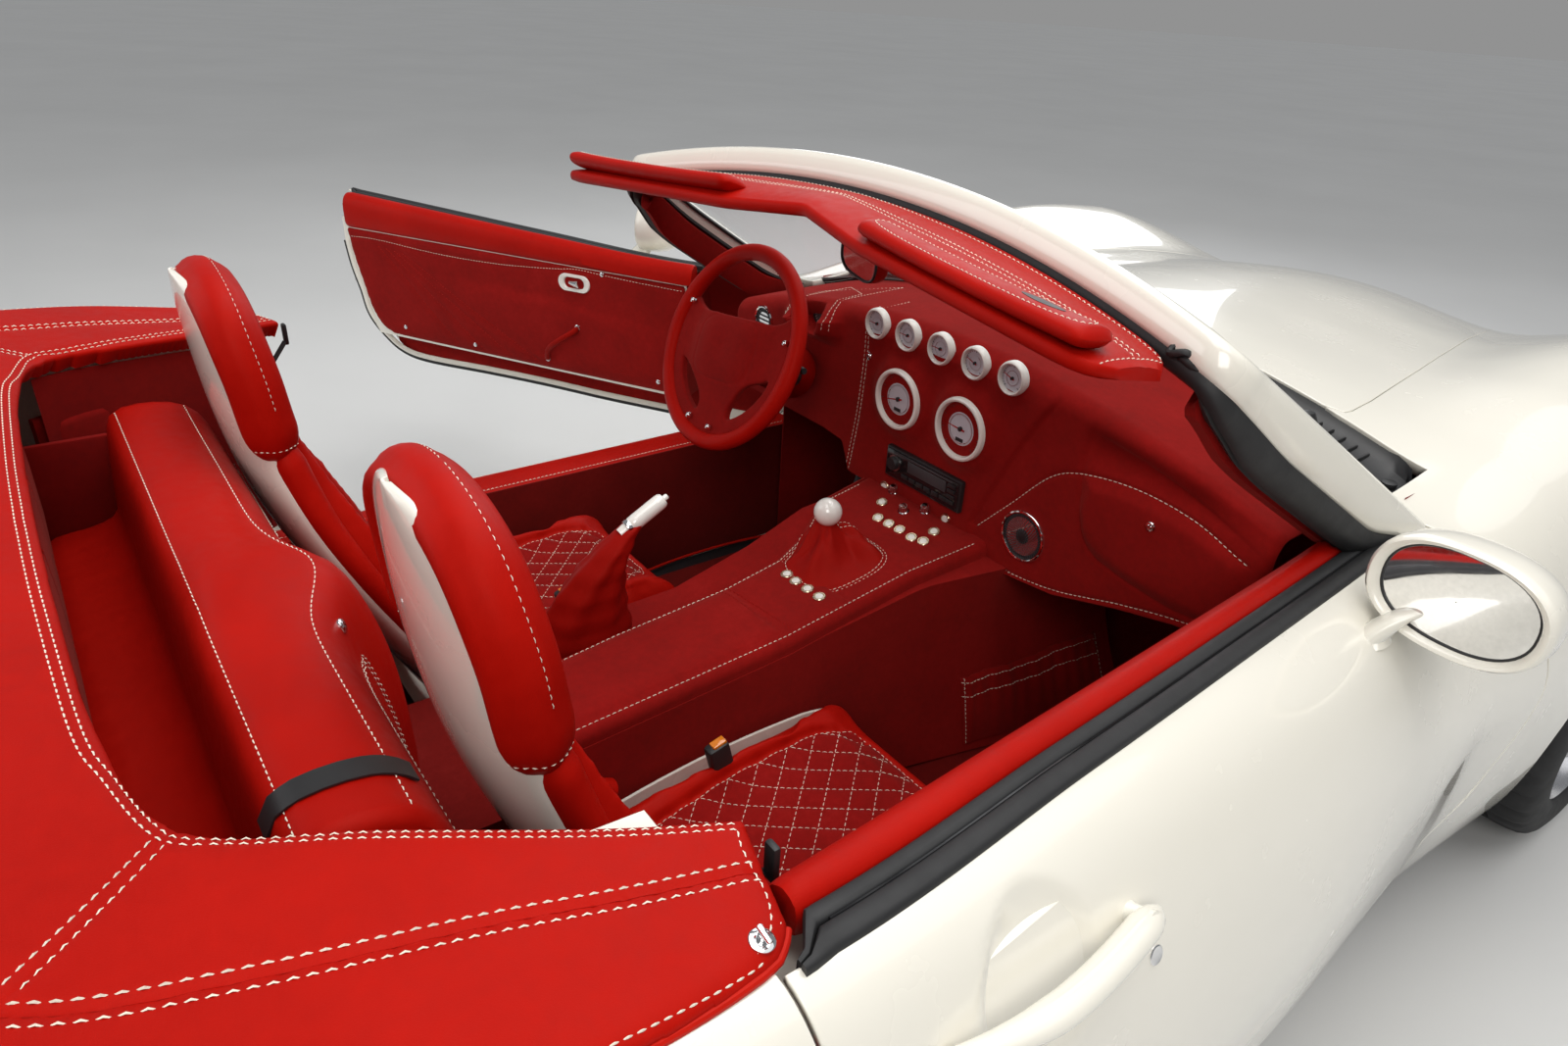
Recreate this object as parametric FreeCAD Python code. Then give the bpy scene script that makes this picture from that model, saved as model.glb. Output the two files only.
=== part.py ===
import FreeCAD, Part
import math
import os

# Two-seat open roadster with a cream body and a red cabin. The left door stands open, the right one is shut.
# The model is laid out in working axes: f forward, l to the driver's left, z up, millimetres, with the origin on
# the ground midway between the axles. Every piece is turned at the end so that the car faces -Y and +X is its left.

V = FreeCAD.Vector
os.makedirs("parts", exist_ok=True)

# ---------------------------------------------------------------- driving dimensions
WHEELBASE = 2507.0
F_FRONT = WHEELBASE / 2          # front axle
F_REAR = -WHEELBASE / 2          # rear axle
TRACK_HALF = 765.0               # wheel centre to the middle plane
TYRE_R_FRONT, TYRE_W_FRONT = 330.0, 245.0
TYRE_R_REAR, TYRE_W_REAR = 340.0, 275.0
RIM_R = 240.0                    # outside of the rim
RIM_WALL = 18.0
KINGPIN_L = 680.0
STEER_MAX = 30.0
ARCH_R_FRONT, ARCH_R_REAR = 374.0, 384.0

SKIN = 30.0                      # thickness of the body panels with their returns
LID_SKIN = 20.0
SHUT_GAP = 8.0                   # door to body at the shut lines
SEAM_GAP = 5.0                   # bonnet and boot lid to body

HINGE_F, HINGE_L = 590.0, 848.0  # door hinge line, vertical
DOOR_OPEN = 55.0                 # left door as it stands in the photo

COWL_F0, COWL_F1 = 548.0, 652.0
BONNET_F0, BONNET_F1 = 660.0, 1962.0
BOOT_F0, BOOT_F1 = -1992.0, -1262.0
BOOT_HALF = 432.0
COWL_HALF = 634.0

WHEEL_HUB = (109.0, 368.0, 784.0)   # steering wheel centre
COLUMN_TILT = 24.0                  # column below the horizontal
STEERING_R = 180.0

# Body sections, front to back. Each row is one station along f and gives, for the left half,
# the sill edge, the widest point, the crest of the wing, the valley beside the lid and the height at the middle.
# f, l_sill, z_sill, l_wide, z_wide, l_crest, z_crest, l_valley, z_valley, z_mid
BODY = [
    (2078, 215, 288, 300, 420, 210, 505, 110, 515, 520),
    (2032, 440, 250, 520, 430, 400, 575, 200, 600, 608),
    (1950, 610, 222, 690, 440, 560, 672, 250, 684, 700),
    (1840, 715, 205, 785, 455, 632, 768, 292, 738, 764),
    (1700, 775, 195, 842, 470, 648, 838, 326, 784, 816),
    (1500, 812, 182, 886, 490, 648, 888, 370, 822, 856),
    (1253, 828, 172, 902, 505, 645, 906, 415, 846, 884),
    (1000, 818, 162, 893, 515, 652, 884, 455, 852, 900),
    (760, 800, 155, 876, 525, 672, 832, 488, 850, 908),
    (520, 788, 150, 864, 535, 697, 790, 500, 842, 905),
    (380, 790, 150, 874, 495, 708, 786, 500, 838, 902),
    (0, 798, 150, 906, 468, 746, 801, 500, 838, 890),
    (-300, 804, 152, 915, 464, 776, 815, 520, 840, 880),
    (-640, 813, 156, 915, 474, 806, 832, 560, 846, 866),
    (-900, 838, 164, 921, 510, 792, 868, 580, 868, 868),
    (-1253, 860, 182, 927, 560, 742, 916, 560, 906, 900),
    (-1500, 850, 205, 916, 550, 702, 902, 520, 896, 890),
    (-1750, 808, 232, 872, 540, 640, 852, 460, 850, 852),
    (-1950, 715, 262, 780, 530, 560, 768, 400, 776, 782),
    (-2080, 550, 305, 620, 520, 440, 664, 300, 680, 690),
    (-2146, 330, 380, 400, 500, 290, 575, 190, 585, 592),
]

# Door outline in side view: f, z
DOOR_LOW = 350.0
DOOR = [
    (455, 860), (505, 796), (560, 745), (640, 655), (686, 570), (691, 529), (672, 478), (644, 442),
    (604, 392), (552, 361), (480, DOOR_LOW), (-455, DOOR_LOW), (-535, 376), (-592, 436), (-622, 514), (-636, 604),
    (-640, 700), (-632, 778), (-648, 870),
]

# Cover over the folded hood, one half in plan: f, l outside, then f, l inside
COVER_OUT = [(-620, 782), (-650, 803), (-760, 812), (-860, 806), (-960, 776), (-1060, 716), (-1150, 620), (-1215, 470), (-1242, 240), (-1246, 0)]
COVER_IN = [(-972, 0), (-970, 166), (-962, 383), (-931, 522), (-817, 582), (-694, 643), (-592, 688)]


# ---------------------------------------------------------------- helpers
def box(f0, f1, l0, l1, z0, z1):
    return Part.makeBox(f1 - f0, l1 - l0, z1 - z0, V(f0, l0, z0))


def cyl(p, d, r, h):
    return Part.makeCylinder(r, h, V(*p), V(*d))


def between(a, b, r):
    d = V(*b) - V(*a)
    return Part.makeCylinder(r, d.Length, V(*a), d)


def face_of(points):
    return Part.Face(Part.makePolygon([V(*p) for p in points] + [V(*points[0])]))


def side_prism(fz, l0, l1):
    return face_of([(f, l0, z) for f, z in fz]).extrude(V(0, l1 - l0, 0))


def plan_prism(fl, z0, z1):
    return face_of([(f, l, z0) for f, l in fl]).extrude(V(0, 0, z1 - z0))


def front_prism(lz, f0, f1):
    return face_of([(f0, l, z) for l, z in lz]).extrude(V(f1 - f0, 0, 0))


def mirrored(shape):
    return shape.mirror(V(0, 0, 0), V(0, 1, 0))


def pair(shape):
    return Part.makeCompound(list(shape.Solids) + list(mirrored(shape).Solids))


def ring_solid(rings):
    """A closed solid of flat facets through like rings of points; both end rings are closed by a fan."""
    faces = []

    def tri(a, b, c):
        if (b - a).cross(c - a).Length > 1e-3:
            faces.append(Part.Face(Part.makePolygon([a, b, c, a])))

    rings = [[V(*p) for p in ring] for ring in rings]
    for low, high in zip(rings[:-1], rings[1:]):
        for i in range(len(low)):
            j = (i + 1) % len(low)
            tri(low[i], low[j], high[j])
            tri(low[i], high[j], high[i])
    for ring in (rings[0], rings[-1]):
        flat = [p for i, p in enumerate(ring) if (p - ring[i - 1]).Length > 1e-6]
        middle = sum(flat, V(0, 0, 0)) * (1.0 / len(flat))
        for i in range(len(flat)):
            tri(middle, flat[i], flat[(i + 1) % len(flat)])
    skin = Part.makeCompound(faces)
    skin.sewShape()
    solid = Part.Solid(skin.Shells[0] if skin.Shells else skin)
    if solid.Volume < 0:
        solid.reverse()
    return solid


def grown(points, d):
    """A polygon in the plane moved outwards by d, or inwards if d is negative."""
    area = sum(a[0] * b[1] - b[0] * a[1] for a, b in zip(points, points[1:] + points[:1]))
    side = 1.0 if area > 0 else -1.0
    out = []
    for i, p in enumerate(points):
        a, b = points[i - 1], points[(i + 1) % len(points)]
        u, w = (p[0] - a[0], p[1] - a[1]), (b[0] - p[0], b[1] - p[1])
        nu, nw = math.hypot(*u), math.hypot(*w)
        n1, n2 = (u[1] / nu * side, -u[0] / nu * side), (w[1] / nw * side, -w[0] / nw * side)
        m = (n1[0] + n2[0], n1[1] + n2[1])
        k = d * 2 / max(m[0] ** 2 + m[1] ** 2, 0.8)
        out.append((p[0] + m[0] * k, p[1] + m[1] * k))
    return out


def row_at(f):
    for a, b in zip(BODY[:-1], BODY[1:]):
        if b[0] <= f <= a[0]:
            t = (a[0] - f) / (a[0] - b[0])
            return [x + (y - x) * t for x, y in zip(a, b)]
    return list(BODY[0] if f > BODY[0][0] else BODY[-1])


def half_section(row, d, open_below):
    """Left half of a body section from the sill edge up to the middle, moved outwards by d."""
    f, ls, zs, lw, zw, lc, zc, lv, zv, zm = row
    pts = [(ls, zs)]
    for t in (35, 65):
        a = math.radians(t)
        pts.append((ls + (lw - ls) * math.sin(a), zw - (zw - zs) * math.cos(a)))
    pts.append((lw, zw))
    for t in (25, 48, 70):
        a = math.radians(t)
        pts.append((lc + (lw - lc) * math.cos(a), zw + (zc - zw) * math.sin(a)))
    pts.append((lc, zc))
    pts.append(((lc + lv) / 2, (zc + zv) / 2))
    pts.append((lv, zv))
    for t in (0.66, 0.33):
        pts.append((lv * t, zm - (zm - zv) * t * t))
    pts.append((0.0, zm))
    moved = []
    for i, p in enumerate(pts):
        a = pts[i - 1] if i else (p[0], p[1] - 10.0)
        b = pts[i + 1] if i + 1 < len(pts) else (-pts[i - 1][0], pts[i - 1][1])
        u, w = (p[0] - a[0], p[1] - a[1]), (b[0] - p[0], b[1] - p[1])
        nu, nw = math.hypot(*u), math.hypot(*w)
        n = (u[1] / nu + w[1] / nw, -u[0] / nu - w[0] / nw)
        k = 2.0 * d / max(n[0] ** 2 + n[1] ** 2, 1.6)
        moved.append((p[0] + n[0] * k, p[1] + n[1] * k))
    moved[-1] = (0.0, zm + d)
    low = zs - 150.0 if open_below else zs
    first = (moved[0][0], low)
    return ([first] + moved) if open_below else [first] + moved[1:]


def hull(d=0.0, f_front=None, f_back=None, open_below=False, trim=0.0):
    """The body's outer form, moved outwards by d, between two stations."""
    f_front = BODY[0][0] if f_front is None else f_front
    f_back = BODY[-1][0] if f_back is None else f_back
    stations = [f_front - trim] + [r[0] for r in BODY if f_back + trim + 1 < r[0] < f_front - trim - 1] + [f_back + trim]
    rings = []
    for f in stations:
        half = half_section(row_at(f), d, open_below)
        rings.append([(f, l, z) for l, z in half] + [(f, -l, z) for l, z in reversed(half[:-1])])
    return ring_solid(rings)


def shell(t, f_front, f_back):
    """Skin of the body between two stations, t thick, open below and open at cut ends."""
    outer = hull(0.0, f_front, f_back)
    cap_front = t if f_front >= BODY[0][0] - 1 else -20.0
    cap_back = t if f_back <= BODY[-1][0] + 1 else -20.0
    rows = [f_front - cap_front] + [r[0] for r in BODY if f_back + cap_back + 1 < r[0] < f_front - cap_front - 1] + [f_back + cap_back]
    rings = []
    for f in rows:
        row = row_at(min(max(f, f_back), f_front))
        half = half_section(row, -t, True)
        rings.append([(f, l, z) for l, z in half] + [(f, -l, z) for l, z in reversed(half[:-1])])
    return outer.cut(ring_solid(rings))


def valley(f):
    return row_at(f)[7]


def turned_open(shape, side=1, angle=DOOR_OPEN):
    """A closed door's shape swung open about its hinge."""
    s = shape.copy()
    s.rotate(V(HINGE_F, side * HINGE_L, 0), V(0, 0, 1), -side * angle)
    return s


PIECES = {}


def keep(name, shape):
    solids = [s for s in shape.Solids if s.Volume > 500.0]
    if not solids:
        raise RuntimeError(name + " is empty")
    PIECES[name] = solids[0] if len(solids) == 1 else Part.makeCompound(solids)


# ---------------------------------------------------------------- body panels
bonnet_plan = [(f, -valley(f)) for f in (BONNET_F0, 760, 1000, 1253, 1500, 1700, BONNET_F1)]
bonnet_plan += [(f, valley(f)) for f in (BONNET_F1, 1700, 1500, 1253, 1000, 760, BONNET_F0)]
cover_plan = COVER_OUT + COVER_IN
cover_whole = cover_plan + [(f, -l) for f, l in reversed(cover_plan) if abs(l) > 0.5]
# the whole collar in one loop: outside left, round the back, outside right, then the inside back again
collar = [(f, l) for f, l in COVER_OUT] + [(f, -l) for f, l in reversed(COVER_OUT[:-1])]
collar += [(f, -l) for f, l in reversed(COVER_IN)] + [(f, l) for f, l in COVER_IN[1:]]
boot_plan = [(BOOT_F1, -BOOT_HALF), (BOOT_F1, BOOT_HALF), (-1750, BOOT_HALF - 10), (-1900, BOOT_HALF - 60), (BOOT_F0, 330),
             (BOOT_F0, -330), (-1900, -BOOT_HALF + 60), (-1750, -BOOT_HALF + 10)]

door_hole = side_prism(grown(DOOR, SHUT_GAP), 560, 1000)
door_holes = [door_hole, mirrored(door_hole)]
bonnet_hole = plan_prism(grown(bonnet_plan, SEAM_GAP), 560, 1000)
boot_hole = plan_prism(grown(boot_plan, SEAM_GAP), 600, 1000)
collar_hole = plan_prism(grown(collar, 2.0), 700, 1000)


def wheel_well(f, r, l_in, axle_z):
    w = cyl((f, l_in, axle_z), (0, 1, 0), r, 1010 - l_in)
    return w.fuse(box(f - r, f + r, l_in, 1010, 0, axle_z))


front_wells = [wheel_well(F_FRONT, ARCH_R_FRONT, 440, TYRE_R_FRONT)]
front_wells.append(mirrored(front_wells[0]))
rear_wells = [wheel_well(F_REAR, ARCH_R_REAR, 560, TYRE_R_REAR)]
rear_wells.append(mirrored(rear_wells[0]))

front = shell(SKIN, 1698.0, 330.0)
front = front.cut(box(300, COWL_F1 + 4, -COWL_HALF - 4, COWL_HALF + 4, 0, 1100))
front = front.cut(box(300, 505, 400, 1000, 0, 250)).cut(box(300, 505, -1000, -400, 0, 250))
front = front.cut(box(300, 470, -1000, 1000, 600, 1000))
# room beside the hinge line, where the door edge swings forwards
for s in (1, -1):
    front = front.cut(box(560, 622, min(s * 842, s * 880), max(s * 842, s * 880), 340, 415))
for tool in door_holes + [bonnet_hole] + front_wells:
    front = front.cut(tool)
sill_end = 505.0
front = front.cut(box(300, sill_end, -1000, 1000, 0, DOOR_LOW + 20))
keep("front_wings", front)

nose = shell(SKIN, BODY[0][0], 1702.0)
nose = nose.cut(bonnet_hole)


def oval(half_w, half_h, zc, f0, f1):
    ring = []
    for k in range(28):
        a = 2 * math.pi * k / 28
        ring.append((half_w * math.cos(a), zc + half_h * math.sin(a)))
    return front_prism(ring, f0, f1)


GRILLE_W, GRILLE_H, GRILLE_Z = 335.0, 112.0, 462.0
nose = nose.cut(cyl((2000, 150, 319), (1, 0, 0), 5, 100)).cut(cyl((2000, -150, 319), (1, 0, 0), 5, 100))
nose = nose.cut(oval(GRILLE_W, GRILLE_H, GRILLE_Z, 1985, 2120))
# round lamps: f from, f to, l, z, radius, stands proud
HEAD = [(1780, 2000, 655, 640, 104, 12), (1950, 2060, 500, 400, 48, 6)]
TAIL = [(-2110, -1880, 612, 640, 62, 8), (-2110, -1950, 470, 636, 48, 8)]
lamps = []
for f0, f1, l, z, r, proud in HEAD:
    lamp = cyl((f0, l, z), (1, 0, 0), r, f1 - f0).common(hull(proud, 2078, 1600))
    lamps.append(lamp)
    nose = nose.cut(cyl((f0 - 60, l, z), (1, 0, 0), r + 2, f1 - f0 + 80)).cut(cyl((f0 - 60, -l, z), (1, 0, 0), r + 2, f1 - f0 + 80))
keep("nose_panel", nose)
keep("headlamps", pair(Part.makeCompound(lamps)))

rear = shell(SKIN, -300.0, -1698.0)
rear = rear.cut(box(-640, -290, -1000, 1000, 640, 1100)).cut(box(-640, -290, -780, 780, 420, 1100)).cut(box(-516, -290, -1000, 1000, 0, 430))
rear = rear.cut(plan_prism(grown([(f, l) for f, l in COVER_IN[::-1]] + [(f, -l) for f, l in COVER_IN[1:]] + [(-580, -688), (-580, 688)], 0.5), 500, 1100))
rear = rear.cut(box(-1700, -1180, -BOOT_HALF - 5, BOOT_HALF + 5, 500, 1100))
rear = rear.cut(box(-1260, -640, -640, 640, 400, 1100))
for tool in door_holes + [collar_hole, boot_hole] + rear_wells:
    rear = rear.cut(tool)
keep("rear_wings", rear)

tail = shell(SKIN, -1702.0, BODY[-1][0]).cut(boot_hole)
tail = tail.cut(cyl((-2200, 150, 450), (1, 0, 0), 5, 120)).cut(cyl((-2200, -150, 450), (1, 0, 0), 5, 120))
lamps = []
for f0, f1, l, z, r, proud in TAIL:
    lamps.append(cyl((f0, l, z), (1, 0, 0), r, f1 - f0).common(hull(proud, -1600, -2146)))
    tail = tail.cut(cyl((f0 - 20, l, z), (1, 0, 0), r + 2, f1 - f0 + 40)).cut(cyl((f0 - 20, -l, z), (1, 0, 0), r + 2, f1 - f0 + 40))
keep("tail_panel", tail)
keep("tail_lamps", pair(Part.makeCompound(lamps)))

lid = shell(LID_SKIN, 2040.0, 600.0).common(plan_prism(bonnet_plan, 560, 1000))
keep("bonnet", lid)
lid = shell(LID_SKIN, -1200.0, -2100.0).common(plan_prism(boot_plan, 600, 1000))
keep("boot_lid", lid)

cowl = shell(25.0, 760.0, 480.0).common(box(COWL_F0, COWL_F1, -COWL_HALF, COWL_HALF, 700, 1000))
keep("cowl_panel", cowl)

cover = hull(14.0, -560.0, -1330.0).cut(hull(-26.0, -540.0, -1350.0, True)).common(plan_prism(collar, 700, 1000))
cover = cover.cut(hull(-4.0, -500.0, -658.0))
keep("hood_cover", cover)

# ---------------------------------------------------------------- doors
INNER = [(440.0, 634.0), (-660.0, 740.0)]   # f, l of the trim face


def door_inner(f, inset=0.0):
    (fa, la), (fb, lb) = INNER
    return la + (lb - la) * (fa - f) / (fa - fb) + inset


TRIM_T = 28.0
thick_plan = [(426, door_inner(426)), (-618, door_inner(-618)), (-618, 1000), (426, 1000)]
trim_plan = [(420, door_inner(420)), (-612, door_inner(-612)), (-612, door_inner(-612) + TRIM_T), (420, door_inner(420) + TRIM_T)]
outer = hull(0.0, 760.0, -700.0).common(side_prism(DOOR, 560, 1000))
thick = outer.common(plan_prism(thick_plan, 200, 1000)).cut(box(-700, 800, 500, 766, 100, 470)).cut(box(-700, 800, 500, 830, 100, 400))
thin = shell(58.0, 760.0, -700.0).common(side_prism(DOOR, 560, 1000)).cut(box(-700, 400, 0, 700, 100, 1000))
skin = shell(26.0, 760.0, -700.0).common(side_prism(DOOR, 560, 1000)).cut(box(-700, 800, 0, 640, 100, 1000))
front_part = thin.common(box(424, 800, 560, 1000, 100, 1000)).cut(box(424, 800, 500, 664, 100, 1000)).cut(box(424, 800, 500, 726, 772, 1000))
rear_part = skin.common(box(-700, -610, 764, 1000, 100, 1000))
whole = thick.fuse(front_part).fuse(rear_part)
whole = whole.cut(plan_prism(grown(collar, 12.0), 700, 1000).cut(hull(-10.0, -400.0, -1330.0)))
trim_zone = plan_prism(trim_plan, 476, 752)
door = whole.cut(trim_zone.fuse(plan_prism(grown(trim_plan, 1.0), 475, 753)))
trim = whole.common(trim_zone)

# door mirror: shell on a stalk
MIRROR = (258.0, 844.0, 837.0)
STALK = (226.0, 776.0, 762.0)
house_rings = []
for df, k in ((-28, 0.80), (-20, 0.95), (0, 1.0), (30, 0.93), (58, 0.74), (78, 0.42)):
    house_rings.append([(MIRROR[0] + df, MIRROR[1] + 98 * k * math.cos(a), MIRROR[2] + 66 * k * math.sin(a))
                        for a in [2 * math.pi * i / 20 for i in range(20)]])
house = ring_solid(house_rings)
stalk = ring_solid([[(STALK[0] + c[0], STALK[1] + c[1], STALK[2] + 6) for c in ((-34, -16), (34, -16), (34, 18), (-34, 18))],
                    [(MIRROR[0] - 10 + c[0], MIRROR[1] - 40 + c[1], MIRROR[2] - 40) for c in ((-22, -10), (22, -10), (22, 10), (-22, 10))]])
mirror = house.fuse(stalk).cut(hull(1.0, 760, -700))
door_set = {"door_shell": door, "door_trim": trim, "door_mirror": mirror}
for name, shape in door_set.items():
    keep("left_" + name, turned_open(shape))
    keep("right_" + name, mirrored(shape))

# ---------------------------------------------------------------- structure
sill = box(-690, 505, 650, 758, 158, 452)
sill = sill.fuse(hull(0.0, 640.0, -700.0).common(box(-510, 500, 700, 1000, 100, DOOR_LOW + 20)).cut(door_hole))
sill = sill.fuse(box(448, 552, 600, 655, 172, 742))
for f in (-560, 330):
    sill = sill.fuse(box(f, f + 60, 690, 750, 138, 170))
keep("sills", pair(sill))
floor = box(-640, 636, -648, 648, 142, 168).fuse(box(-985, -640, -560, 560, 142, 168)).cut(box(-500, 640, -150, 150, 100, 200))
keep("floor_pan", floor)
tunnel = box(-700, 632, -150, 150, 170, 400).cut(box(-720, 640, -136, 136, 100, 384))
keep("transmission_tunnel", tunnel)
firewall = box(638, 660, -598, 598, 170, 770).cut(box(600, 700, -150, 150, 100, 405))
keep("firewall", firewall)
bulkhead = box(-1012, -990, -560, 560, 170, 832).cut(box(-1020, -980, -120, 120, 160, 330))
keep("rear_bulkhead", bulkhead)
boot = box(-1944, -1256, -424, 424, 440, 690).cut(box(-1926, -1274, -406, 406, 458, 720))
keep("boot_tub", boot)

sub = []
for l in (300.0, -300.0):
    sub.append(box(690, 1960, l - 25, l + 25, 232, 292))
    sub.append(box(-1960, -1016, l - 25, l + 25, 256, 316))
frame = sub[0].fuse([sub[2], box(1080, 1160, -300, 300, 214, 250), box(1850, 1900, -300, 300, 232, 292)])
frame_rear = sub[1].fuse([sub[3], box(-1090, -1040, -300, 300, 256, 316), box(-1500, -1450, -300, 300, 256, 316)])
keep("subframes", Part.makeCompound([frame, frame_rear]))
engine = box(760, 1420, -255, 255, 330, 770).fuse(box(180, 700, -125, 125, 205, 370)).fuse(box(690, 770, -180, 180, 300, 420))
engine = engine.fuse(box(1000, 1075, -120, 120, 235, 340))
keep("engine_and_gearbox", engine)

front_arms = []
for z0 in (246.0, 402.0):
    v = plan_prism([(F_FRONT - 170, 328), (F_FRONT - 130, 328), (F_FRONT, 560), (F_FRONT + 130, 328), (F_FRONT + 170, 328), (F_FRONT + 22, 632), (F_FRONT - 22, 632)], z0, z0 + 18)
    front_arms.append(v)
rear_arms = []
for z0 in (262.0, 392.0):
    v = plan_prism([(F_REAR - 190, 328), (F_REAR - 150, 328), (F_REAR, 560), (F_REAR + 150, 328), (F_REAR + 190, 328), (F_REAR + 24, 640), (F_REAR - 24, 640)], z0, z0 + 18)
    rear_arms.append(v)
rear_hub = box(F_REAR - 40, F_REAR + 40, 642, 664, 250, 424)
keep("suspension_arms", Part.makeCompound([p for a in front_arms + rear_arms for p in (a, mirrored(a))]))
axle = box(F_REAR - 130, F_REAR + 150, -110, 110, 245, 425)
axle = axle.fuse(cyl((F_REAR, -642, TYRE_R_REAR), (0, 1, 0), 20, 1284))
hub = rear_hub.fuse(cyl((F_REAR, 664, TYRE_R_REAR), (0, 1, 0), 30, 100))
axle = axle.fuse([hub, mirrored(hub)])
keep("rear_axle", axle)

silencer = box(-1990, -1700, -240, 240, 222, 330)
pipes = [silencer]
for l in (150.0, 215.0, -150.0, -215.0):
    pipes.append(cyl((-2128, l, 275), (1, 0, 0), 34, 150).cut(cyl((-2130, l, 275), (1, 0, 0), 30, 120)))
exhaust = pipes[0]
for p in pipes[1:]:
    exhaust = exhaust.fuse(p)
keep("exhaust", exhaust)
tail_clear = box(-2200, -1990, -262, 262, 200, 318)
PIECES["tail_panel"] = PIECES["tail_panel"].cut(tail_clear)

grille = oval(GRILLE_W - 3, GRILLE_H - 3, GRILLE_Z, 2006, 2022).cut(oval(GRILLE_W - 22, GRILLE_H - 22, GRILLE_Z, 2000, 2030))
bars = []
for k in range(-9, 10):
    l = k * 33.0
    h = (GRILLE_H - 10) * math.sqrt(max(0.0, 1 - (l / (GRILLE_W - 8)) ** 2))
    if h > 20:
        bars.append(box(2008, 2020, l - 4, l + 4, GRILLE_Z - h, GRILLE_Z + h))
keep("grille", grille.fuse(bars).common(oval(GRILLE_W - 3, GRILLE_H - 3, GRILLE_Z, 2006, 2022)))

# carriers for the blank plates, two screw holes each: f from, f to, z centre
PLATE_HOLE_R, PLATE_SPACING = 3.0, 300.0
front_carrier = box(2078, 2084, -180, 180, 294, 344)
rear_carrier = box(-2152, -2146, -180, 180, 420, 480)
for s in (1, -1):
    front_carrier = front_carrier.cut(cyl((2070, s * PLATE_SPACING / 2, 319), (1, 0, 0), PLATE_HOLE_R, 40))
    rear_carrier = rear_carrier.cut(cyl((-2170, s * PLATE_SPACING / 2, 450), (1, 0, 0), PLATE_HOLE_R, 40))
keep("plate_carriers", Part.makeCompound([front_carrier, rear_carrier]))

# ---------------------------------------------------------------- windscreen
SLOPE_N = V(0.512, 0.0, 0.859)


def screen(u, v, t=0.0):
    """A point on the windscreen: u across, v from the header (0) down to the base (1), t off the surface."""
    head = V(119 - 0.00018 * u * u, u, 1163 - 0.0002 * u * u)
    base = V(560 - 0.000122 * u * u, u, 900 - 0.00021 * u * u)
    p = head + (base - head) * v + SLOPE_N * t
    return (p.x, p.y, p.z)


def pillar(v):
    return 606 + 97 * math.sqrt(max(v, 0.0))


stations = [(-pillar(v), v, -pillar(v) + 46, v) for v in (1.0, 0.8, 0.6, 0.4, 0.2, 0.1)]
stations += [(-604, -0.03, -556, 0.065)]
stations += [(u, -0.03, u * 0.95, 0.065) for u in (-480, -360, -240, -120, 0, 120, 240, 360, 480)]
stations += [(604, -0.03, 556, 0.065)]
stations += [(pillar(v), v, pillar(v) - 46, v) for v in (0.1, 0.2, 0.4, 0.6, 0.8, 1.0)]
rings = [[screen(uo, vo, 2), screen(ui, vi, 2), screen(ui, vi, -28), screen(uo, vo, -28)] for uo, vo, ui, vi in stations]
keep("windscreen_frame", ring_solid(rings).cut(hull(1.0, 900, 0)))
rings = []
for v in (0.07, 0.2, 0.4, 0.6, 0.8, 0.985):
    half = pillar(max(v, 0.1)) - 49
    us = [half * k / 6.0 for k in range(-6, 7)]
    rings.append([screen(u, v, -10) for u in us] + [screen(u, v, -15) for u in reversed(us)])
keep("windscreen_glass", ring_solid(rings).cut(hull(2.0, 900, 0)).cut(PIECES["windscreen_frame"]))

# header trim and the two rolled sun visors behind it
rings = []
for u in (-575, -480, -360, -240, -120, 0, 120, 240, 360, 480, 575):
    a = V(*screen(u, 0.068, 0))
    back = (-17 - (abs(u) - 154) * 55 / 410) if abs(u) > 154 else 3 - abs(u) * 20 / 154
    z_back = 1112 - (abs(u) - 154) * 23 / 410 if abs(u) > 154 else 1118 - abs(u) * 6 / 154
    rings.append([(a.x - 20, u, a.z + 14), (back, u, z_back + 12), (back, u, z_back - 10), (a.x - 20, u, a.z - 12)])
trim = ring_solid(rings).cut(PIECES["windscreen_frame"])
keep("header_trim", trim)
visor = between((-36, 156, 1112), (-90, 560, 1089), 13.5)
keep("sun_visors", pair(visor).cut(trim) if visor.common(trim).Volume > 1 else pair(visor))
glass = box(86, 108, -105, 105, 1008, 1062)
stem = box(92, 104, -8, 8, 1062, 1112)
keep("interior_mirror", glass.fuse(stem).cut(PIECES["windscreen_frame"]).cut(trim))

# ---------------------------------------------------------------- cabin
dash = hull(-3.0, 545.0, 240.0).common(box(290, 543, -596, 596, 590, 1000))
dash = dash.fuse(box(290, 420, -150, 150, 404, 600))
dash = dash.cut(box(420, 560, -560, 560, 500, 760))
col_dir = (math.cos(math.radians(COLUMN_TILT)), 0.0, -math.sin(math.radians(COLUMN_TILT)))


def on_column(s):
    return tuple(c + d * s for c, d in zip(WHEEL_HUB, col_dir))


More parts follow.
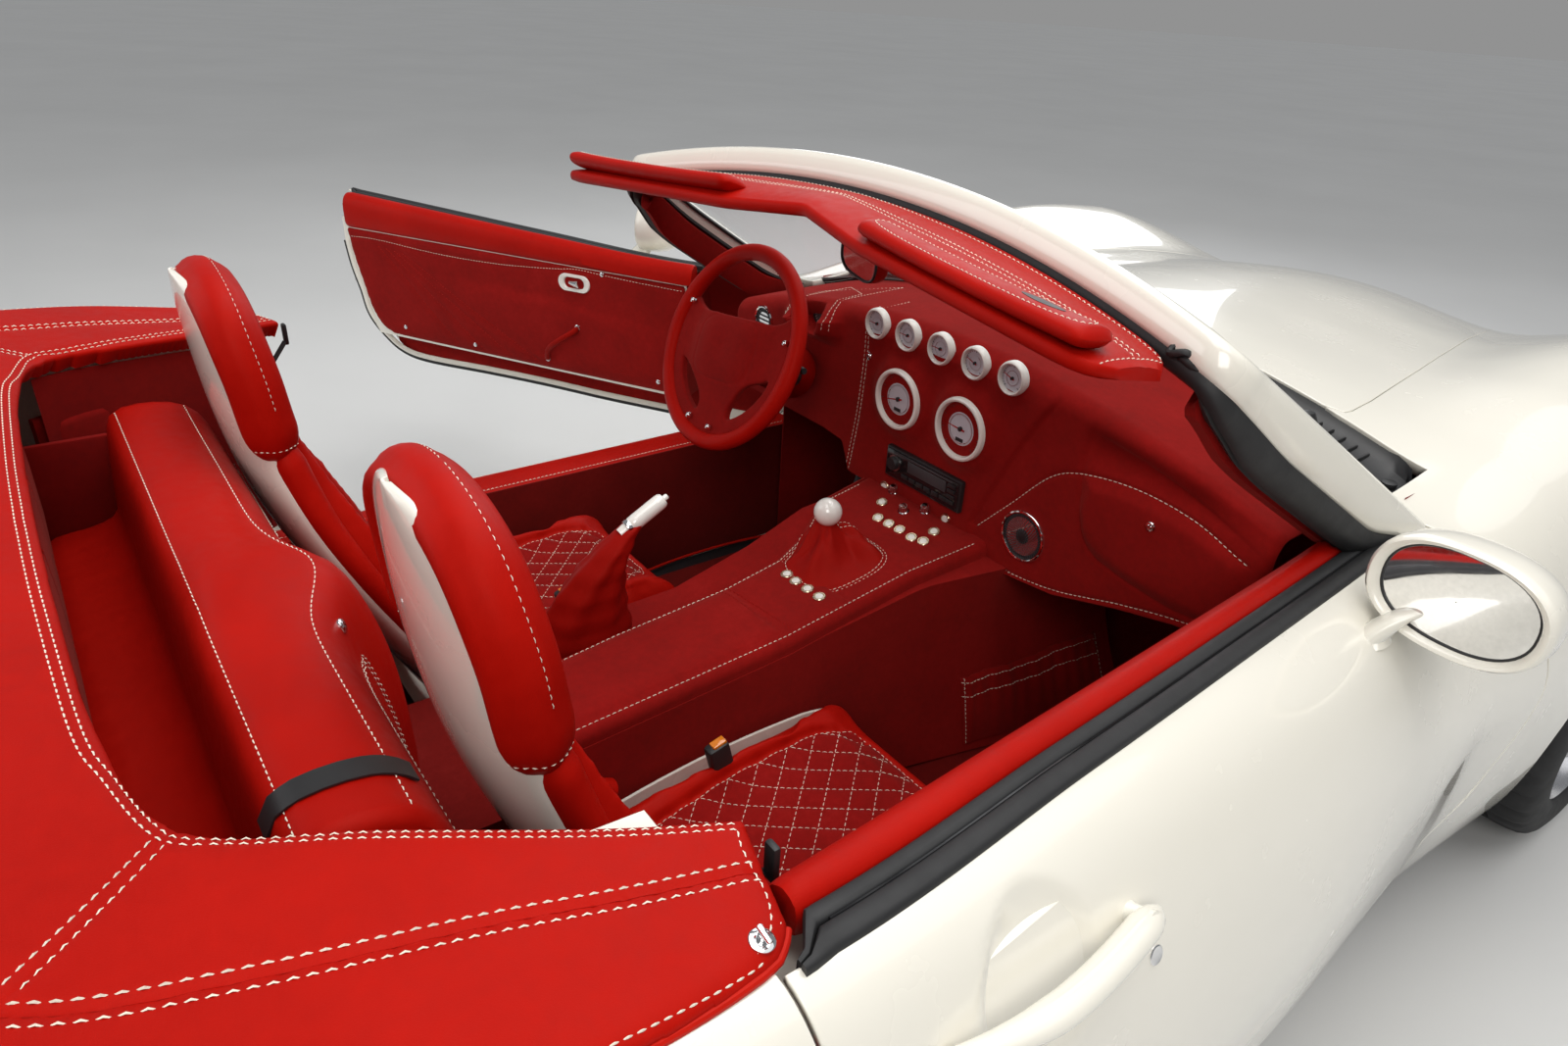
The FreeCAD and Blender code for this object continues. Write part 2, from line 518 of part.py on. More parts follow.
dash = dash.cut(cyl(on_column(60), col_dir, 44, 600))
keep("dashboard", dash)
column = cyl(on_column(38), col_dir, 34, 300)
keep("steering_column", column)
lift = math.radians(COLUMN_TILT)
rim = Part.makeTorus(STEERING_R, 15.5, V(0, 0, 0), V(0, 0, 1))
boss = Part.makeCylinder(44, 44, V(0, 0, -34))
spokes = []
for a in (90, 210, 330):
    s = Part.makeBox(STEERING_R, 46, 12, V(0, -23, -10))
    s.rotate(V(0, 0, 0), V(0, 0, 1), a + 180)
    spokes.append(s.common(Part.makeCylinder(STEERING_R, 60, V(0, 0, -30))))
wheel = rim.fuse([boss] + spokes)
wheel.rotate(V(0, 0, 0), V(0, 0, 1), 90)
wheel.rotate(V(0, 0, 0), V(0, 1, 0), -(90 - COLUMN_TILT))
wheel.translate(V(*WHEEL_HUB))
keep("steering_wheel", wheel)

# instruments: l, z, radius on the dashboard's face
GAUGES = [(160, 862, 27), (80, 864, 27), (0, 865, 27), (-80, 864, 27), (-160, 862, 27), (77, 752, 54), (-77, 752, 54)]
inst = [cyl((276, l, z), (1, 0, 0), r, 14) for l, z, r in GAUGES]
inst.append(box(278, 290, -94, 94, 598, 656))
keep("instruments", Part.makeCompound(inst))
console = side_prism([(-520, 402), (-520, 492), (-126, 520), (121, 559), (288, 565), (288, 402)], -148, 148)
keep("centre_console", console)
lever = cyl((62, 0, 562), (0, 0, 1), 9, 40).fuse(Part.makeSphere(24, V(62, 0, 616)))
keep("gear_lever", lever)
brake = between((-400, 60, 560), (-216, 60, 687), 12)
brake = brake.fuse(box(-430, -390, 45, 75, 501, 572)).cut(console)
keep("handbrake_lever", brake)
pedals = []
for l in (300.0, 400.0, 480.0):
    p = box(556, 566, l - 30, l + 30, 250, 330).fuse(box(566, 578, l - 6, l + 6, 290, 560))
    pedals.append(p)
keep("pedals", Part.makeCompound(pedals))

# seats: z, f of the back's middle, half width, half thickness of the shell; z, half width of the padding in front of it
BACK = [(290, -482, 198, 24), (450, -560, 205, 24), (620, -640, 194, 22), (700, -671, 174, 21), (780, -690, 151, 20), (930, -711, 116, 18), (1000, -716, 70, 16), (1021, -718, 30, 14)]
PADDING = [(400, 176), (560, 198), (700, 180), (800, 160), (900, 154), (960, 136), (1003, 88), (1030, 30)]
SEATS = ((369.0, -35.0), (-372.0, 0.0))


def back_at(z, k):
    for a, b in zip(BACK, BACK[1:]):
        if z <= b[0]:
            return a[k] + (b[k] - a[k]) * (z - a[0]) / float(b[0] - a[0])
    return BACK[-1][k]


shells, pads = [], []
for lc, df in SEATS:
    back = ring_solid([[(f - t + df, lc - w, z), (f + t * 0.2 + df, lc - w, z), (f + t * 0.2 + df, lc + w, z), (f - t + df, lc + w, z)] for z, f, w, t in BACK])
    base = box(-530 + df, -60 + df, lc - 200, lc + 200, 262, 304)
    shells.append(back.fuse(base))
    rings = []
    for z, w in PADDING:
        f = back_at(z, 1) + back_at(z, 3) * 0.2 + df + 2
        rings.append([(f, lc - w, z), (f + 58, lc - w + 22, z), (f + 58, lc + w - 22, z), (f, lc + w, z)])
    cushion = side_prism([(-468 + df, 306), (-498 + df, 388), (-300 + df, 392), (-64 + df, 470), (-52 + df, 440), (-60 + df, 306)], lc - 196, lc + 196)
    pads += [ring_solid(rings).cut(cushion), cushion]
keep("seat_shells", Part.makeCompound(shells))
keep("seat_pads", Part.makeCompound(pads))

shelf = side_prism([(-700, 420), (-764, 790), (-866, 800), (-886, 640), (-986, 620), (-986, 580), (-846, 580), (-832, 752), (-798, 748), (-744, 420)], -505, 505)
keep("rear_shelf", shelf)
quarter = plan_prism([(-650, 700), (-650, 724), (-960, 552), (-960, 528)], 456, 792)
keep("quarter_trims", pair(quarter))

# ---------------------------------------------------------------- wheels
def tyre_solid(r, w, f, z):
    half = w / 2
    prof = [(-half + 16, RIM_R + 0.5), (-half, RIM_R + 20), (-half, r - 34), (-half + 12, r - 8), (-half + 40, r),
            (half - 40, r), (half - 12, r - 8), (half, r - 34), (half, RIM_R + 20), (half - 16, RIM_R + 0.5)]
    face = face_of([(f, TRACK_HALF + a, z + b) for a, b in prof])
    return face.revolve(V(f, TRACK_HALF, z), V(0, 1, 0), 360)


def rim_solid(w, f, z):
    c = lambda a, r0, h: cyl((f, TRACK_HALF + a, z), (0, 1, 0), r0, h)
    half = w / 2 - 16
    barrel = c(-half, RIM_R, 2 * half).cut(c(-half - 1, RIM_R - RIM_WALL, 2 * half + 2))
    hub_part = c(-30, 70, 112)
    disc = c(-30, 172, 22)
    spoke_set = []
    for k in range(10):
        s = Part.makeBox(26, 30, RIM_R - 45, V(f - 13, TRACK_HALF + 52, z + 40))
        s.rotate(V(f, TRACK_HALF, z), V(0, 1, 0), 36 * k)
        spoke_set.append(s)
    body = barrel.fuse([hub_part, disc] + spoke_set)
    return body.cut(c(-60, 30.08, 90))


for where, f, r, w in (("front", F_FRONT, TYRE_R_FRONT, TYRE_W_FRONT), ("rear", F_REAR, TYRE_R_REAR, TYRE_W_REAR)):
    tyre = tyre_solid(r, w, f, r)
    rim_part = rim_solid(w, f, r)
    for side, move in (("left", lambda s: s), ("right", mirrored)):
        keep(where + "_" + side + "_tyre", move(tyre))
        keep(where + "_" + side + "_wheel", move(rim_part))

knuckle = cyl((F_FRONT, KINGPIN_L, TYRE_R_FRONT - 105), (0, 0, 1), 26, 210)
knuckle = knuckle.fuse(cyl((F_FRONT, KINGPIN_L, TYRE_R_FRONT), (0, 1, 0), 30, TRACK_HALF + 20 - KINGPIN_L))
caliper = box(F_FRONT - 190, F_FRONT - 120, TRACK_HALF - 62, TRACK_HALF + 24, TYRE_R_FRONT - 60, TYRE_R_FRONT + 60)
caliper = caliper.cut(cyl((F_FRONT, TRACK_HALF - 37, TYRE_R_FRONT), (0, 1, 0), 180, 36))
bracket = box(F_FRONT - 190, F_FRONT - 5, TRACK_HALF - 62, TRACK_HALF - 44, TYRE_R_FRONT - 22, TYRE_R_FRONT + 22)
knuckle = knuckle.fuse([caliper, bracket])
keep("left_knuckle", knuckle)
keep("right_knuckle", mirrored(knuckle))

# ---------------------------------------------------------------- write
for name in sorted(PIECES):
    shape = PIECES[name].copy()
    shape.rotate(V(0, 0, 0), V(0, 0, 1), -90)
    shape.exportStep("parts/" + name + ".step")
    b = shape.BoundBox
    print("%-22s solids %2d faces %4d valid %s vol %.3f l  x %.0f..%.0f y %.0f..%.0f z %.0f..%.0f" % (
        name, len(shape.Solids), len(shape.Faces), shape.isValid(), shape.Volume / 1e6, b.XMin, b.XMax, b.YMin, b.YMax, b.ZMin, b.ZMax))
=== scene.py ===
import math
import random

import bmesh
import bpy
import numpy as np
from mathutils import Matrix, Vector
from mathutils.bvhtree import BVHTree


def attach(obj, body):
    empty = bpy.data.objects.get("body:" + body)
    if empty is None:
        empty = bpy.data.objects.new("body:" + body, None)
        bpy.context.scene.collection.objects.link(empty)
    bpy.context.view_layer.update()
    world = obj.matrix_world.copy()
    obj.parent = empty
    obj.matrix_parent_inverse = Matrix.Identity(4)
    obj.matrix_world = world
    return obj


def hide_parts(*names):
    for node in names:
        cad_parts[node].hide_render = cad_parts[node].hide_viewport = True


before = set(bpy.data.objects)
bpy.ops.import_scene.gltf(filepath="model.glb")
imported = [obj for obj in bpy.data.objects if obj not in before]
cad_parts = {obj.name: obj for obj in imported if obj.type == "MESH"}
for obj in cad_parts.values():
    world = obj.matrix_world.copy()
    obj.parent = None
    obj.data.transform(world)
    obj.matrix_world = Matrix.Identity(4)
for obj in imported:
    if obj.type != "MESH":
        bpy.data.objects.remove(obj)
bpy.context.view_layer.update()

# Working axes: f forward, l to the car's left, z up, millimetres, origin on the ground midway between the axles.
# The car faces -Y in the row frame, so a point (f, l, z) is (l, -f, z) there, in metres.
rng = random.Random(7)


def P(f, l, z):
    return Vector((l / 1000.0, -f / 1000.0, z / 1000.0))


def U(p):
    """Back from metres in the row frame to the working axes."""
    return (-p[1] * 1000.0, p[0] * 1000.0, p[2] * 1000.0)


# ------------------------------------------------------------------ camera, as the photo sees the car
CAM = (-929.096, -1145.639, 1393.687)
YAW, PITCH, ROLL = 0.905053, -0.488181, 0.059729
F_PX = 1043.388


def make_camera():
    fwd = Vector((math.cos(PITCH) * math.cos(YAW), math.cos(PITCH) * math.sin(YAW), math.sin(PITCH)))
    right = fwd.cross(Vector((0, 0, 1))).normalized()
    up = right.cross(fwd)
    r2 = right * math.cos(ROLL) + up * math.sin(ROLL)
    u2 = up * math.cos(ROLL) - right * math.sin(ROLL)

    def turn(v):
        return Vector((v[1], -v[0], v[2]))

    data = bpy.data.cameras.new("photo_camera")
    data.sensor_fit = "HORIZONTAL"
    data.sensor_width = 36.0
    data.lens = 36.0 * F_PX / 1600.0
    data.clip_start, data.clip_end = 0.05, 400.0
    cam = bpy.data.objects.new("photo_camera", data)
    bpy.context.scene.collection.objects.link(cam)
    r, u, b = turn(r2), turn(u2), turn(-fwd)
    m = Matrix(((r.x, u.x, b.x, 0), (r.y, u.y, b.y, 0), (r.z, u.z, b.z, 0), (0, 0, 0, 1)))
    m.translation = P(*CAM)
    cam.matrix_world = m
    bpy.context.scene.camera = cam


make_camera()


def photo_ray(px, py):
    """Direction, in the working axes, that one point of the photo's frame is seen along."""
    fwd = np.array([math.cos(PITCH) * math.cos(YAW), math.cos(PITCH) * math.sin(YAW), math.sin(PITCH)])
    right = np.cross(fwd, (0, 0, 1))
    right = right / np.linalg.norm(right)
    up = np.cross(right, fwd)
    d = fwd + (right * math.cos(ROLL) + up * math.sin(ROLL)) * ((px - 800.0) / F_PX) + (up * math.cos(ROLL) - right * math.sin(ROLL)) * ((533.5 - py) / F_PX)
    return d / np.linalg.norm(d)


# ------------------------------------------------------------------ materials
MATS = {}


class Nodes:
    """Short hand for one procedural material."""

    def __init__(self, name):
        self.mat = bpy.data.materials.new(name)
        self.mat.use_nodes = True
        self.t = self.mat.node_tree
        self.bsdf = self.t.nodes["Principled BSDF"]
        MATS[name] = self.mat
        self.coord = self.t.nodes.new("ShaderNodeTexCoord").outputs["Object"]

    def put(self, **values):
        for k, v in values.items():
            self.bsdf.inputs[k.replace("_", " ")].default_value = v
        return self

    def node(self, kind, inputs=None, **props):
        n = self.t.nodes.new(kind)
        for k, v in props.items():
            setattr(n, k, v)
        for k, v in (inputs or {}).items():
            if isinstance(v, bpy.types.NodeSocket):
                self.t.links.new(v, n.inputs[k])
            else:
                n.inputs[k].default_value = v
        return n

    def noise(self, scale, detail=4.0, rough=0.55, vector=None):
        return self.node("ShaderNodeTexNoise", {"Vector": vector or self.coord, "Scale": scale, "Detail": detail, "Roughness": rough})

    def voronoi(self, scale, feature="F1", vector=None):
        return self.node("ShaderNodeTexVoronoi", {"Vector": vector or self.coord, "Scale": scale}, feature=feature)

    def ramp(self, source, stops):
        n = self.node("ShaderNodeValToRGB", {"Fac": source})
        e = n.color_ramp.elements
        while len(e) < len(stops):
            e.new(0.5)
        for item, (pos, col) in zip(e, stops):
            item.position = pos
            item.color = (*col, 1.0) if len(col) == 3 else col
        return n.outputs["Color"]

    def span(self, source, a, b, c, d):
        return self.node("ShaderNodeMapRange", {"Value": source, "From Min": a, "From Max": b, "To Min": c, "To Max": d}).outputs["Result"]

    def add(self, a, b):
        return self.node("ShaderNodeMath", {0: a, 1: b}, operation="ADD").outputs[0]

    def times(self, a, b):
        return self.node("ShaderNodeMath", {0: a, 1: b}, operation="MULTIPLY").outputs[0]

    def color(self, socket):
        self.t.links.new(socket, self.bsdf.inputs["Base Color"])
        return self

    def rough(self, socket):
        self.t.links.new(socket, self.bsdf.inputs["Roughness"])
        return self

    def bump(self, height, strength=0.2, distance=0.001):
        n = self.node("ShaderNodeBump", {"Height": height, "Strength": strength, "Distance": distance})
        self.t.links.new(n.outputs["Normal"], self.bsdf.inputs["Normal"])
        return self


def paint(name, base, dark, rough=0.22, coat=1.0):
    m = Nodes(name)
    n = m.noise(1.7, 5)
    m.color(m.ramp(n.outputs["Fac"], [(0.3, dark), (0.7, base)]))
    fine = m.noise(900.0, 2)
    m.rough(m.span(m.noise(9.0, 4).outputs["Fac"], 0.3, 0.7, rough, rough + 0.07))
    m.bump(fine.outputs["Fac"], 0.018, 0.0002)
    m.put(Coat_Weight=coat, Coat_Roughness=0.035, Coat_IOR=1.5, Specular_IOR_Level=0.5)
    return m.mat


def leather(name, base, dark, rough=0.42, grain=1.0, spec=0.5, sheen=0.0):
    m = Nodes(name)
    cells = m.voronoi(520.0, "DISTANCE_TO_EDGE")
    big = m.noise(6.0, 5)
    mid = m.noise(60.0, 4)
    mix = m.add(m.times(big.outputs["Fac"], 0.7), m.times(mid.outputs["Fac"], 0.3))
    m.color(m.ramp(mix, [(0.32, dark), (0.68, base)]))
    m.rough(m.span(mid.outputs["Fac"], 0.3, 0.7, rough - 0.05, rough + 0.08))
    pores = m.span(cells.outputs["Distance"], 0.0, 0.12, 0.0, 1.0)
    height = m.add(m.times(pores, 0.6), m.times(m.noise(240.0, 3).outputs["Fac"], 0.6))
    m.bump(height, 0.16 * grain, 0.0006)
    m.put(Specular_IOR_Level=spec)
    m.bsdf.inputs["Specular Tint"].default_value = (1.0, 0.22, 0.18, 1.0)
    if sheen:
        m.put(Sheen_Weight=sheen, Sheen_Roughness=0.45)
        m.bsdf.inputs["Sheen Tint"].default_value = (1.0, 0.35, 0.3, 1.0)
    return m.mat


def suede(name, base, dark, scale=1.0, sheen=0.5):
    m = Nodes(name)
    big = m.noise(7.0, 6, 0.65)
    nap = m.noise(85.0, 6, 0.7)
    mix = m.add(m.times(big.outputs["Fac"], 0.6), m.times(nap.outputs["Fac"], 0.4))
    m.color(m.ramp(mix, [(0.30, dark), (0.55, base), (0.75, tuple(min(1.0, c * 1.25 + 0.004) for c in base))]))
    m.put(Roughness=0.93, Specular_IOR_Level=0.15, Sheen_Weight=sheen, Sheen_Roughness=0.5)
    m.bsdf.inputs["Sheen Tint"].default_value = (1.0, 0.25, 0.2, 1.0)
    m.bump(m.add(m.noise(1500.0 * scale, 3).outputs["Fac"], m.times(nap.outputs["Fac"], 0.5)), 0.35, 0.0006)
    return m.mat


def metal(name, base, rough=0.15, brushed=0.0, scale=180.0):
    m = Nodes(name)
    n = m.noise(scale, 4)
    m.color(m.ramp(n.outputs["Fac"], [(0.25, tuple(c * 0.88 for c in base)), (0.75, base)]))
    m.rough(m.span(m.noise(30.0, 4).outputs["Fac"], 0.3, 0.7, max(0.02, rough - 0.04), rough + 0.06))
    m.put(Metallic=1.0)
    m.bump(n.outputs["Fac"], 0.03 + brushed, 0.0003)
    return m.mat


def plain(name, base, rough=0.5, bump=0.15, scale=600.0, spec=0.5, var=0.12, coat=0.0):
    m = Nodes(name)
    n = m.noise(14.0, 5)
    m.color(m.ramp(n.outputs["Fac"], [(0.3, tuple(c * (1 - var) for c in base)), (0.7, tuple(min(1.0, c * (1 + var)) for c in base))]))
    m.rough(m.span(m.noise(40.0, 4).outputs["Fac"], 0.3, 0.7, max(0.03, rough - 0.06), rough + 0.06))
    m.bump(m.noise(scale, 3).outputs["Fac"], bump, 0.0005)
    m.put(Specular_IOR_Level=spec)
    if coat:
        m.put(Coat_Weight=coat, Coat_Roughness=0.05)
    return m.mat


def glass(name, tint, rough=0.0, alpha=0.22):
    m = Nodes(name)
    n = m.noise(5.0, 3)
    m.color(m.ramp(n.outputs["Fac"], [(0.3, tuple(c * 0.96 for c in tint)), (0.7, tint)]))
    m.rough(m.span(n.outputs["Fac"], 0.3, 0.7, rough, rough + 0.015))
    m.put(IOR=1.45, Alpha=alpha, Specular_IOR_Level=0.6)
    m.bump(m.noise(3.0, 2).outputs["Fac"], 0.01, 0.001)
    return m.mat


PAINT = paint("body_paint", (0.83, 0.80, 0.715), (0.80, 0.77, 0.68))
SHELL_WHITE = paint("seat_shell_paint", (0.80, 0.775, 0.70), (0.77, 0.74, 0.66), 0.24)
LEATHER = leather("red_leather", (0.42, 0.006, 0.0025), (0.34, 0.0045, 0.002), 0.46, 1.0, 0.22)
# a darker copy of the red leather, painted shade for seams, folds and pieces that sit in shadow
LEATHER_SHADED = leather("red_leather_painted_shade", (0.30, 0.005, 0.003), (0.23, 0.004, 0.002), 0.52, 1.0, 0.2)
SUEDE = suede("red_suede", (0.255, 0.004, 0.003), (0.18, 0.003, 0.002), 1.0, 0.12)
# a darker copy of the red suede, painted shade for the well, the kick panels and the lining under the cover
SUEDE_SHADED = suede("red_suede_painted_shade", (0.20, 0.003, 0.002), (0.14, 0.002, 0.002), 1.0, 0.10)
CARPET = suede("red_carpet", (0.14, 0.003, 0.002), (0.09, 0.002, 0.001), 0.5, 0.1)
PIPING = leather("red_piping", (0.48, 0.010, 0.004), (0.40, 0.007, 0.003), 0.40, 0.4, 0.4)
THREAD = plain("stitch_thread", (0.80, 0.74, 0.62), 0.75, 0.4, 2500.0, 0.3)
RUBBER = plain("black_rubber", (0.018, 0.018, 0.019), 0.55, 0.25, 300.0, 0.4)
TYRE = plain("tyre_rubber", (0.022, 0.022, 0.023), 0.72, 0.35, 420.0, 0.3, 0.2)
BLACK = plain("black_plastic", (0.016, 0.016, 0.017), 0.42, 0.2, 1500.0, 0.45)
BLACK_GLOSS = plain("black_gloss", (0.010, 0.010, 0.011), 0.12, 0.02, 300.0, 0.5)
CHROME = metal("chrome", (0.84, 0.84, 0.85), 0.06)
STEEL = metal("satin_steel", (0.62, 0.61, 0.60), 0.28, 0.05)
GOLD = metal("button_bronze", (0.72, 0.60, 0.42), 0.25, 0.03)
ALLOY = metal("alloy", (0.70, 0.70, 0.72), 0.24, 0.01)
DARK = plain("dark_metal", (0.045, 0.045, 0.048), 0.5, 0.2, 200.0, 0.5)
BEZEL = plain("white_bezel", (0.82, 0.80, 0.74), 0.25, 0.02, 200.0, 0.5, 0.03, 0.6)
KNOB = plain("white_knob", (0.86, 0.85, 0.80), 0.14, 0.01, 200.0, 0.5, 0.02, 1.0)
DIAL = plain("dial_face", (0.56, 0.58, 0.62), 0.45, 0.03, 300.0, 0.4, 0.05)
GLASS = glass("clear_glass", (0.90, 0.96, 0.94), 0.0, 0.12)
LENS = glass("lamp_glass", (0.95, 0.96, 0.97), 0.02, 0.22)
REDLENS = plain("red_lens", (0.42, 0.008, 0.008), 0.10, 0.03, 120.0, 0.5, 0.2, 1.0)
AMBER = plain("amber_lens", (0.75, 0.22, 0.01), 0.12, 0.03, 120.0, 0.5, 0.15, 1.0)
MIRROR = metal("mirror_glass", (0.90, 0.90, 0.91), 0.03)


# ------------------------------------------------------------------ mesh helpers
def link(obj):
    bpy.context.scene.collection.objects.link(obj)
    return obj


def shade(mesh, angle=35.0):
    mesh.shade_smooth()
    mesh.set_sharp_from_angle(angle=math.radians(angle))


def make(name, verts, faces, mat, body=None, angle=35.0, clean=True):
    """A new piece from points in working millimetres."""
    me = bpy.data.meshes.new(name)
    me.from_pydata([P(*v) for v in verts], [], faces)
    if clean:
        bm = bmesh.new()
        bm.from_mesh(me)
        bmesh.ops.remove_doubles(bm, verts=bm.verts, dist=2e-6)
        bmesh.ops.dissolve_degenerate(bm, edges=bm.edges, dist=1e-7)
        bmesh.ops.recalc_face_normals(bm, faces=bm.faces)
        bm.to_mesh(me)
        bm.free()
    shade(me, angle)
    obj = bpy.data.objects.new(name, me)
    obj.data.materials.append(mat)
    link(obj)
    if body:
        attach(obj, body)
    return obj


class Heap:
    """Collects many small shapes in working millimetres, each with a material, and joins them as one piece."""

    def __init__(self):
        self.v, self.f, self.m, self.mats = [], [], [], []

    def mat(self, mat):
        if mat not in self.mats:
            self.mats.append(mat)
        return self.mats.index(mat)

    def add(self, verts, faces, mat):
        k, i = len(self.v), self.mat(mat)
        self.v += [tuple(v) for v in verts]
        self.f += [tuple(a + k for a in face) for face in faces]
        self.m += [i] * len(faces)
        return self

    def done(self, name, body, angle=35.0, clean=False):
        me = bpy.data.meshes.new(name)
        me.from_pydata([P(*v) for v in self.v], [], self.f)
        for m in self.mats:
            me.materials.append(m)
        me.polygons.foreach_set("material_index", self.m)
        bm = bmesh.new()
        bm.from_mesh(me)
        if clean:
            bmesh.ops.remove_doubles(bm, verts=bm.verts, dist=2e-6)
        bmesh.ops.recalc_face_normals(bm, faces=bm.faces)
        bm.to_mesh(me)
        bm.free()
        shade(me, angle)
        obj = link(bpy.data.objects.new(name, me))
        if body:
            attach(obj, body)
        return obj


def vec(p):
    return np.array(p, float)


def unit(v):
    v = np.array(v, float)
    return v / max(np.linalg.norm(v), 1e-12)


def frame_of(d, hint=(0, 0, 1)):
    """Two unit vectors square to d."""
    d = unit(d)
    h = vec(hint)
    if abs(unit(h) @ d) > 0.97:
        h = vec((1, 0, 0)) if abs(d[0]) < 0.9 else vec((0, 1, 0))
    a = unit(np.cross(h, d))
    return a, np.cross(d, a)


def smooth_path(points, n, closed=False):
    """n points on a centripetal curve through the given ones."""
    pts = [vec(p) for p in points]
    if closed:
        pts = [pts[-1]] + pts + [pts[0], pts[1]]
    else:
        pts = [2 * pts[0] - pts[1]] + pts + [2 * pts[-1] - pts[-2]]
    seg = []
    for i in range(1, len(pts) - 2):
        p0, p1, p2, p3 = pts[i - 1:i + 3]
        length = np.linalg.norm(p2 - p1)
        seg.append((p0, p1, p2, p3, length))
    total = sum(s[4] for s in seg)
    out = []
    for k in range(n):
        s = total * k / (n if closed else n - 1)
        for j, (p0, p1, p2, p3, length) in enumerate(seg):
            if s <= length or j == len(seg) - 1:
                t = min(1.0, s / max(length, 1e-9))
                break
            s -= length
        out.append(0.5 * ((2 * p1) + (p2 - p0) * t + (2 * p0 - 5 * p1 + 4 * p2 - p3) * t * t + (3 * p1 - p0 - 3 * p2 + p3) * t ** 3))
    return out


def even(points, step):
    """The polyline's points again at even steps, with directions."""
    pts = np.array(points, float)
    d = np.linalg.norm(np.diff(pts, axis=0), axis=1)
    s = np.concatenate([[0], np.cumsum(d)])
    n = max(2, int(round(s[-1] / step)) + 1)
    t = np.linspace(0, s[-1], n)
    return np.stack([np.interp(t, s, pts[:, k]) for k in range(pts.shape[1])], 1)


def rings_mesh(rings, closed=True, caps=True, loop=False):
    """Faces through like rings. closed: each ring is a loop. loop: the last ring joins the first."""
    n, m = len(rings), len(rings[0])
    v = [tuple(p) for r in rings for p in r]
    f = []
    last = m if closed else m - 1
    for i in range(n if loop else n - 1):
        k = (i + 1) % n
        for j in range(last):
            a, b = j, (j + 1) % m
            f.append((i * m + a, i * m + b, k * m + b, k * m + a))
    if caps and closed and not loop:
        f.append(tuple(range(m - 1, -1, -1)))
        f.append(tuple((n - 1) * m + j for j in range(m)))
    return v, f


def tube(path, r, sides=10, caps=True, closed=False, hint=(0, 0, 1), flat=1.0):
    """A round bar along a path. r is a number or one value for each point. flat squeezes it across."""
    pts = [vec(p) for p in path]
    n = len(pts)
    rings = []
    prev = None
    for i, p in enumerate(pts):
        if closed:
            d = pts[(i + 1) % n] - pts[i - 1]
        else:
            d = pts[min(i + 1, n - 1)] - pts[max(i - 1, 0)]
        if prev is None:
            a, b = frame_of(d, hint)
        else:
            d = unit(d)
            a = unit(prev - (prev @ d) * d)
            b = np.cross(d, a)
        prev = a
        rr = r[i] if hasattr(r, "__len__") else r
        rings.append([p + a * rr * math.cos(t) + b * rr * flat * math.sin(t) for t in [2 * math.pi * k / sides for k in range(sides)]])
    return rings_mesh(rings, True, caps and not closed, closed)


def lathe(center, axis, profile, sides=48, hint=(0, 0, 1), closed=False):
    """Turned shape: profile is a list of (along, radius)."""
    d = unit(axis)
    a, b = frame_of(d, hint)
    rings = []
    for s, r in profile:
        rings.append([vec(center) + d * s + (a * math.cos(t) + b * math.sin(t)) * r for t in [2 * math.pi * k / sides for k in range(sides)]])
    return rings_mesh(rings, True, not closed, closed)


def rbox(center, size, r=2.0, axes=None, seg=2):
    """A box with rounded edges; size is full, axes are three unit vectors."""
    bm = bmesh.new()
    bmesh.ops.create_cube(bm, size=1.0)
    for v in bm.verts:
        v.co = Vector((v.co.x * size[0], v.co.y * size[1], v.co.z * size[2]))
    r = min(r, min(size) * 0.49)
    if r > 0:
        bmesh.ops.bevel(bm, geom=list(bm.edges), offset=r, segments=seg, profile=0.5, affect="EDGES")
    ax = axes or (vec((1, 0, 0)), vec((0, 1, 0)), vec((0, 0, 1)))
    verts = [vec(center) + ax[0] * v.co.x + ax[1] * v.co.y + ax[2] * v.co.z for v in bm.verts]
    bm.verts.index_update()
    faces = [tuple(v.index for v in f.verts) for f in bm.faces]
    bm.free()
    return verts, faces


def boolean(obj, tool, op="DIFFERENCE", solver="EXACT"):
    m = obj.modifiers.new("b", "BOOLEAN")
    m.object = tool
    m.operation = op
    m.solver = solver
    dg = bpy.context.evaluated_depsgraph_get()
    dg.update()
    me = bpy.data.meshes.new_from_object(obj.evaluated_get(dg))
    obj.modifiers.clear()
    old = obj.data
    obj.data = me
    bpy.data.meshes.remove(old)
    return obj


def drop(*objs):
    for o in objs:
        bpy.data.objects.remove(o)


def bvh_of(*objs):
    verts, faces = [], []
    for o in objs:
        k = len(verts)
        verts += [v.co.copy() for v in o.data.vertices]
        faces += [tuple(i + k for i in p.vertices) for p in o.data.polygons]
    return BVHTree.FromPolygons(verts, faces)


def snap(points, tree, lift=0.6, reach=60.0):
    """Points moved to the nearest place on a surface, with the surface's outward normals."""
    out = []
    for p in points:
        hit, nrm, _, _ = tree.find_nearest(P(*p), reach / 1000.0)
        if hit is None:
            out.append((vec(p), vec((0, 0, 1))))
            continue
        n = vec((-nrm.y, nrm.x, nrm.z))
        d = vec(p) - vec(U(hit))
        if n @ d < -1.0:
            n = -n
        out.append((vec(U(hit)) + n * lift, n))
    return out


def cast(points, direction, tree, lift=0.6):
    """Points moved along a direction to where they first meet a surface."""
    out = []
    d = Vector((direction[1], -direction[0], direction[2])).normalized()
    for p in points:
        hit, nrm, _, _ = tree.ray_cast(P(*p), d)
        if hit is None:
            continue
        n = vec((-nrm.y, nrm.x, nrm.z))
        if n @ vec(direction) > 0:
            n = -n
        out.append((vec(U(hit)) + n * lift, n))
    return out


